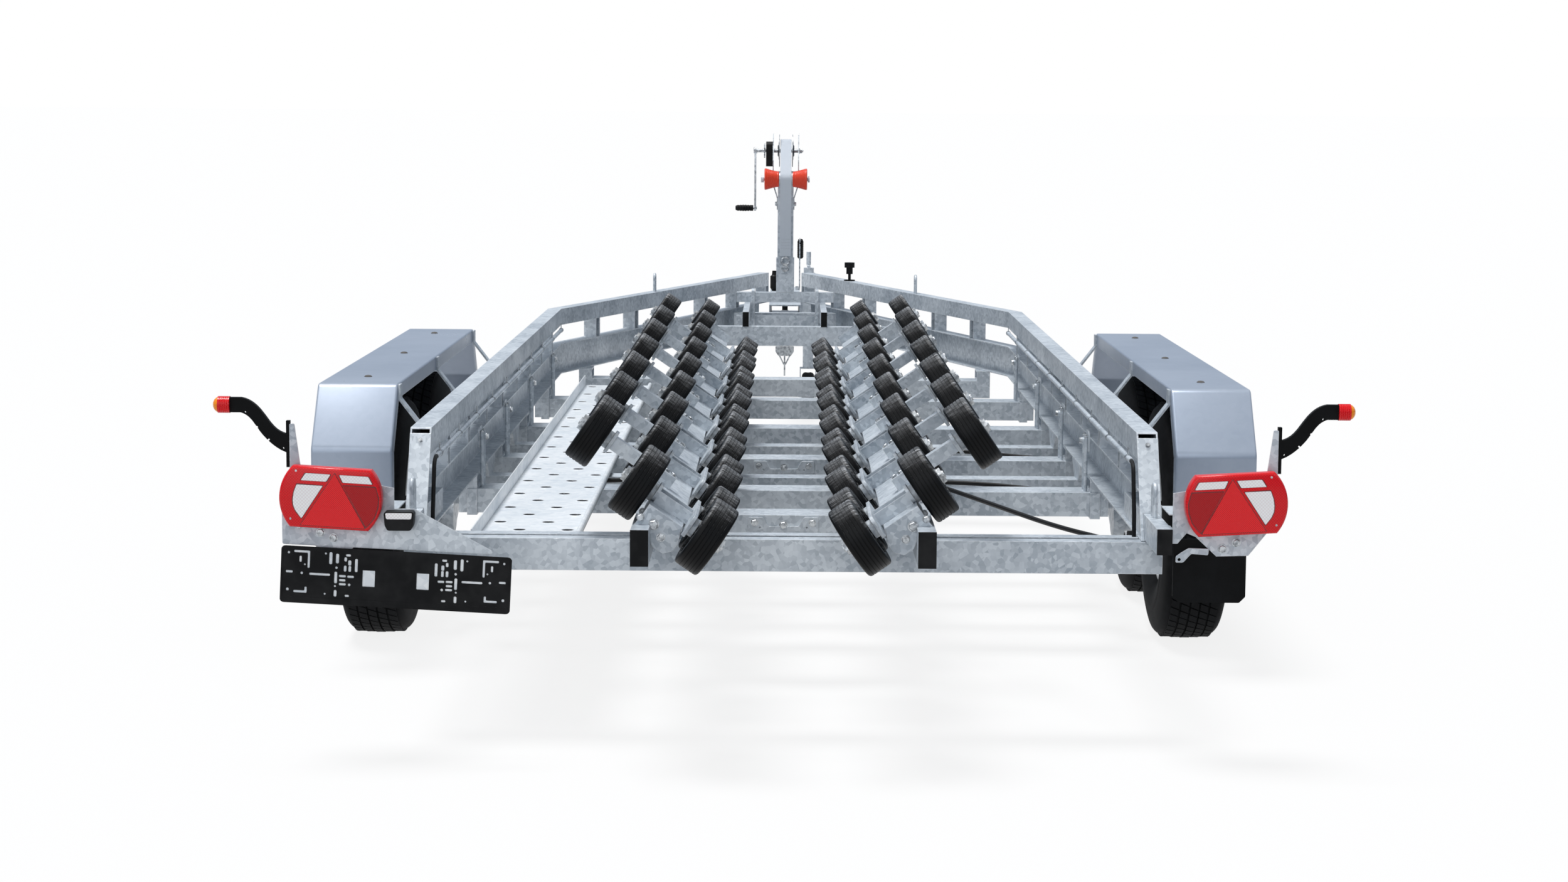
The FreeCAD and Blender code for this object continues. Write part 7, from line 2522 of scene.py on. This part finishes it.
    def crank_steel(self) -> Piece:
        """Makes the crank's shaft, boss, arm and spindle, and the ratchet wheel.

        Returns:
            The steel of the crank.
        """
        x, y, z = self.crank
        reach, steel, wide = self.shaft_start - x, Mould(), self.arm_half
        steel.lathe([(0.0, 0.0), (0.0, 0.008), (reach + 0.007, 0.008), (reach + 0.008, 0.0)], 20,
                    frame_on(Vector((self.shaft_start, y, z)), TO_LEFT))
        steel.lathe([(0.0, 0.0), (0.0, 0.013), (0.0145, 0.013), (0.016, 0.0115), (0.016, 0.0)], 24,
                    frame_on(Vector((x + 0.008, y, z)), TO_LEFT))
        arm = circle(wide, 16)[:9]
        arm += [(-across * 0.9, -up - self.arm_length) for across, up in arm]
        steel.plate(arm, -0.004, 0.004, frame_on(Vector((x, y, z)), TO_RIGHT))
        spindle = frame_on(Vector((x + 0.008, y, z - self.arm_length)), TO_LEFT)
        steel.rod(0.0, 0.008 + self.grip_length, 0.006, 16, spindle)
        ratchet = []
        for k in range(self.teeth):
            for share, radius in zip((0.0, 0.85), self.tooth_radii):
                turn = math.tau * (k + share) / self.teeth
                ratchet.append((radius * math.cos(turn), radius * math.sin(turn)))
        gear = Vector((-self.plate_outer - self.cover_depth - 0.004, y, z))
        steel.plate(ratchet, 0.0, 0.006, frame_on(gear, TO_LEFT))
        return steel.cast("crank_steel", PLATED)

    def crank_grip(self) -> Piece:
        """Makes the ribbed grip on the crank's spindle.

        Returns:
            The grip.
        """
        x, y, z = self.crank
        grip, radius, end = Mould(), self.grip_radius, self.grip_length + 0.002
        profile = [(0.008, 0.0063), (0.008, radius - 0.003), (0.010, radius - 0.001)]
        middle = (self.grip_ribs - 1) / 2
        for k in range(self.grip_ribs):
            start, bulge = 0.016 + k * 0.011, radius - 0.0012 * abs(k - middle) / middle
            profile += [(start, bulge), (start + 0.0065, bulge), (start + 0.008, bulge - 0.0014),
                        (start + 0.0095, bulge - 0.0014)]
        profile += [(end - 0.004, radius - 0.003), (end, radius - 0.006), (end, 0.0063)]
        grip.lathe(profile, 28, frame_on(Vector((x, y, z - self.arm_length)), TO_LEFT))
        return grip.cast("crank_grip", BLACK_PLASTIC)

    def hook(self) -> Piece:
        """Makes the strap's hook: a ring through the loop, a bent hook and its foot on the post.

        Returns:
            The hook.
        """
        mould, face = Mould(), world_y(self.post_station) - self.post_half
        for y, drop, radius, turn, sweep, steps, thick in (
            (face - 0.014, 0.022, self.ring_radius, 0.0, 360.0, 24, 0.0045),
            (face - 0.015, 0.052, self.bend_radius, 100.0, -290.0, 14, 0.0042),
        ):
            turns = [math.radians(turn + sweep * k / steps) for k in range(steps + 1)]
            line = [(radius * math.cos(t), self.hook_z - drop + radius * math.sin(t)) for t in turns]
            mould.bar([Vector((x, y, z)) for x, z in line], thick)
        foot = rounded(box_outline(-0.012, -0.009, 0.012, 0.009), 0.003)
        mould.plate(foot, 0.0, 0.010, rear_frame(0.0, face, self.hook_z - 0.042))
        return mould.cast("snap_hook", PLATED)

    def build(self) -> None:
        """Makes every moving and fixed part of the winch that shows, and notes its bolts."""
        fit_out(self.drum(), "drum", "plated_steel", "winch_drum")
        fit_out(self.strap(), "trailer", "strap_webbing", "winch_strap")
        fit_out(self.stitches(), "trailer", "strap_webbing")
        crank = join("crank_and_grip", [self.crank_steel(), self.crank_grip()])
        fit_out(crank, "crank", "plated_steel", "winch_crank")
        fit_out(self.hook(), "trailer", "plated_steel", "strap_hook")
        _, y, z = self.axis
        for side in Side:
            x, height = self.post_bolt
            for shift in (-self.post_bolt_spread, self.post_bolt_spread):
                spot = side.point(x, world_y(self.post_station + shift), height)
                self.fasteners.bolt(spot, side.out, 0.8)
            ahead, up = self.foot_nut
            self.fasteners.nut(side.point(self.plate_outer, y + ahead, z + up), side.out, 0.7)
        self.fasteners.nut(Vector((self.plate_outer, y, z)), TO_RIGHT)


@dataclass
class HubCaps:
    """Pressed hub caps and tyre valves."""

    wheels: RoadWheels
    face: float = 0.064
    radius: float = 0.030
    valve_circle: float = 0.150
    valve_start: float = 0.040
    valve_deg: float = 67.5
    valve: Shape = (
        (0.0, 0.0), (0.0, 0.0055), (0.010, 0.0048), (0.022, 0.0036), (0.024, 0.0042), (0.032, 0.0042),
        (0.034, 0.0034), (0.034, 0.0),
    )

    def build(self) -> None:
        """Makes a cap and a valve for each wheel."""
        face, radius = self.face, self.radius
        profile = [
            (face - 0.004, 0.0), (face - 0.004, radius + 0.003), (face + 0.001, radius + 0.003),
            (face + 0.001, radius), (face + 0.010, radius - 0.001), (face + 0.013, radius - 0.004),
            (face + 0.014, radius * 0.55), (face + 0.012, radius * 0.5), (face + 0.012, 0.0),
        ]
        turn = Matrix.Rotation(math.radians(self.valve_deg), 4, "Z")
        stem = turn @ Matrix.Translation((self.valve_circle, 0.0, self.valve_start))
        for name, side, centre in self.wheels.places():
            place, cap, valve = frame_on(centre, side.out), Mould(), Mould()
            cap.lathe(profile, 40, place)
            valve.lathe(self.valve, 14, place @ stem)
            pieces = [cap.cast("cap", PLATED), valve.cast("valve", BLACK_PLASTIC)]
            fit_out(join(f"hub_cap_{name}", pieces), f"wheel_{name}", "plated_steel")


@dataclass
class Coupling:
    """Bellows of the overrun, bolts of the housing, and the grip of the handbrake lever."""

    fasteners: Fasteners
    gaiter_start: float = 7585.0
    gaiter_length: float = 0.120
    collar: float = 0.006
    axis_z: float = 0.426
    outer_radius: float = 0.0425
    inner_radius: float = 0.0315
    bore: float = 0.022
    folds: int = 7
    fold_steps: int = 6
    deck: float = 0.598
    lever_x: float = 0.072
    grip_ends: Shape = ((7203.0, 0.155), (7168.0, 0.243))
    grip_radius: float = 0.0145
    grip_ribs: int = 8
    side_bolts: tuple[float, ...] = (7390.0, 7540.0)
    deck_bolts: tuple[float, ...] = (7300.0, 7390.0)

    def gaiter(self) -> Piece:
        """Makes the rubber bellows with round folds.

        Returns:
            The bellows.
        """
        outer, inner, end = self.outer_radius, self.inner_radius, self.gaiter_length
        profile = [(0.0, self.bore), (0.0, outer), (self.collar, outer)]
        fold = (end - 2 * self.collar) / self.folds
        for k in range(1, self.folds * self.fold_steps + 1):
            t = k / self.fold_steps
            wave = (1 + math.cos(math.tau * t)) / 2
            profile.append((self.collar + fold * t, inner + (outer - inner) * wave ** 0.8))
        profile += [(end, outer), (end, self.bore)]
        mould = Mould()
        mould.lathe(profile, 40, frame_on(Vector((0.0, world_y(self.gaiter_start), self.axis_z)), FORWARDS))
        return mould.cast("overrun_bellows", CABLE_SHEATH, Shade.SOFT)

    def lever_grip(self) -> Piece:
        """Makes the ribbed grip on the upper third of the handbrake lever.

        Returns:
            The grip.
        """
        low, high = (Vector((self.lever_x, world_y(y), self.deck + z)) for y, z in self.grip_ends)
        length, radius = (high - low).length, self.grip_radius
        profile = [(0.0, 0.0), (0.0, radius - 0.0025)]
        for k in range(self.grip_ribs):
            z = 0.004 + k * (length - 0.010) / self.grip_ribs
            profile += [(z, radius), (z + 0.006, radius), (z + 0.0075, radius - 0.0013)]
        mould = Mould()
        mould.lathe(profile + [(length, 0.011), (length, 0.0)], 24, frame_on(low, high - low))
        return mould.cast("lever_grip", BLACK_PLASTIC)

    def build(self) -> None:
        """Makes the bellows and the grip, and notes the bolts of the housing."""
        fit_out(self.gaiter(), "trailer", "black_plastic", "gaiter")
        fit_out(self.lever_grip(), "trailer", "black_plastic")
        for side in Side:
            for station in self.side_bolts:
                self.fasteners.bolt(side.point(0.046, world_y(station), self.axis_z), side.out, 0.9)
            for station in self.deck_bolts:
                self.fasteners.bolt(side.point(0.058, world_y(station), self.deck), UP, 0.7)


@dataclass
class Cables:
    """Black cables of the brakes and lamps, laid along the route that holds them all the way."""

    inner_x: float = 0.835
    half_chassis: float = 0.885
    conduit_radius: float = 0.007
    conduit_start: float = 170.0
    conduit_z: float = 0.648
    seat: float = 90.0
    beam_bottom: float = 0.478
    lamp_radius: float = 0.005
    brake_radius: float = 0.006
    stations: tuple[float, float] = (1400.0, 2160.0)
    cradle_z: float = 0.4463
    brake_z: float = 0.424
    sweep: float = 180.0
    axle_reach: float = 130.0
    tube_radius: float = 40.0
    abutment: float = 24.0
    plate_x: float = 1.074
    arrival: Point = (-50.0, 0.385)

    def run(self, name: str, points: list[tuple[float, float, float]], radius: float) -> Piece:
        """Sweeps one cable along a smooth curve.

        Args:
            name: Name of the cable.
            points: Its control points as X, station in mm and Z.
            radius: Its radius.

        Returns:
            The cable.
        """
        curve = bpy.data.curves.new(name, "CURVE")
        curve.dimensions = "3D"
        curve.bevel_depth = radius
        curve.bevel_resolution = 3
        curve.use_fill_caps = True
        spline = curve.splines.new("NURBS")
        spline.points.add(len(points) - 1)
        for point, (x, station, z) in zip(spline.points, points):
            point.co = (x, world_y(station), z, 1.0)
        spline.order_u = 3
        spline.use_endpoint_u = True
        return Mould.of_curve(curve).cast(name, CABLE_SHEATH, Shade.SOFT)

    def lamp_drop(self, side: Side) -> Piece:
        """Makes the cable that drops from a conduit to the rear crossbeam.

        Args:
            side: Side of the trailer.

        Returns:
            The cable.
        """
        x, top, low, seat = self.inner_x - self.conduit_radius, self.conduit_z, self.beam_bottom, self.seat
        route = ((self.conduit_start, top), (seat + 40, top), (seat + 26, top - 0.05),
                 (seat + 16, (top + low) / 2), (seat, low + 0.04), (seat, low))
        return self.run("lamp_drop", [(side.value * x, y, z) for y, z in route], self.lamp_radius)

    def crossing(self) -> Piece:
        """Makes the cable that crosses to the cradle.

        Returns:
            The cable.
        """
        z, start = self.cradle_z, self.inner_x - 0.045
        route = [
            (start, 112.0, z + 0.008), (start, 182.0, z + 0.008), (start - 0.11, 420.0, z + 0.004),
            (start - 0.235, 816.0, z + 0.002), (0.455, 1140.0, z), (0.400, 1284.0, z),
            (0.316, 1392.0, z), (0.316, 1392.0, self.beam_bottom),
        ]
        return self.run("cradle_crossing", route, self.brake_radius)

    def brake(self, side: Side, station: float) -> list[Piece]:
        """Makes the brake cable of one wheel and its abutment.

        Args:
            side: Side of the trailer.
            station: Station of the wheel.

        Returns:
            The cable and the block that holds its sheath.
        """
        z, sweep, half = self.brake_z, self.sweep, self.half_chassis
        front = station + self.axle_reach - self.tube_radius
        beside, shift, end_z = front - 2 * self.brake_radius / MM, *self.arrival
        end = (station + shift, end_z)
        points = [
            (0.150, beside, z), (half * 0.36, beside, z), (half * 0.56, beside - sweep * 0.08, z),
            (half * 0.70, beside - sweep * 0.42, z), (half * 0.84, beside - sweep, z),
            (half * 0.98, beside - sweep - 12.0, z - 0.004), (self.plate_x - 0.060, *end),
            (self.plate_x, *end),
        ]
        cable = self.run("brake_cable", [(side.value * x, y, z) for x, y, z in points], self.brake_radius)
        block = Mould()
        outline = box_outline(0.142, world_y(front - self.abutment), 0.150, world_y(front))
        block.plate([(side.value * x, y) for x, y in outline], z - 0.016, z + 0.012)
        return [cable, block.cast("abutment", PLATED)]

    def build(self) -> None:
        """Makes the cables of both sides and the one that crosses to the cradle."""
        pieces = []
        for side in Side:
            pieces.append(self.lamp_drop(side))
            for station in self.stations:
                pieces += self.brake(side, station)
        pieces.append(self.crossing())
        fit_out(join("chassis_cables", pieces), "trailer", "black_plastic", "cables")


@dataclass
class JockeyWheel:
    """Small wheel of the jockey: rubber tread on a steel disc with pressed ribs."""

    centre: tuple[float, float, float] = (0.112, 3.2615, 0.110)
    radius: float = 0.110
    half_width: float = 0.030
    rim_radius: float = 0.068
    bore: float = 0.0081
    rib_count: int = 6

    def build(self) -> None:
        """Makes the tyre, the disc and its ribs."""
        place = frame_on(Vector(self.centre), TO_RIGHT)
        half, r, rim, hub = self.half_width, self.radius, self.rim_radius, self.half_width + 0.0018
        tyre, disc = Mould(), Mould()
        tyre.lathe(mirrored([
            (0.002, r), (0.003, r - 0.002), (0.005, r - 0.002), (0.006, r), (half - 0.016, r),
            (half - 0.008, r * 0.975), (half - 0.002, r * 0.90), (half + 0.0002, r * 0.78), (half, rim),
            (half - 0.004, rim - 0.003),
        ]), 64, place)
        disc.lathe(mirrored([
            (0.024, rim - 0.003), (0.018, rim - 0.005), (0.004, rim - 0.014), (0.004, 0.030),
            (0.012, 0.024), (hub, 0.020), (hub, self.bore),
        ]), 48, place)
        for k in range(self.rib_count):
            turn = place @ Matrix.Rotation(math.tau * k / self.rib_count, 4, "Z")
            disc.plate(box_outline(0.024, -0.003, rim - 0.010, 0.003), -0.012, 0.012, turn)
        pieces = [tyre.cast("tread", TYRE_RUBBER), disc.cast("disc", RIM_PAINT)]
        fit_out(join("jockey_tyre_and_disc", pieces), "jockey_roll", "jockey_rubber", "jockey_wheel")


def main() -> None:
    """Builds the studio and dresses the trailer, one sub-assembly after another."""
    logging.basicConfig(level=logging.INFO, format="%(name)s: %(message)s")
    Studio().build()
    CadDress().build()
    pattern = Pattern()
    fasteners = Fasteners(pattern)
    wheels, rollers = RoadWheels(fasteners), HullRollers(pattern)
    for assembly in (
        wheels, rollers, TailLights(), PlateHolder(), MarkerLamps(), PlateLamp(), JockeyWheel(), Mudguards(),
        SideBeamFittings(pattern, fasteners), CrossmemberFittings(fasteners), BrakeRodGuide(),
        CradleFastenings(fasteners, rollers), LightBracketFittings(fasteners), Walkway(pattern),
        BowRoller(), Winch(fasteners), HubCaps(wheels), Coupling(fasteners), Cables(), fasteners,
    ):
        assembly.build()


if __name__ == "__main__":
    main()
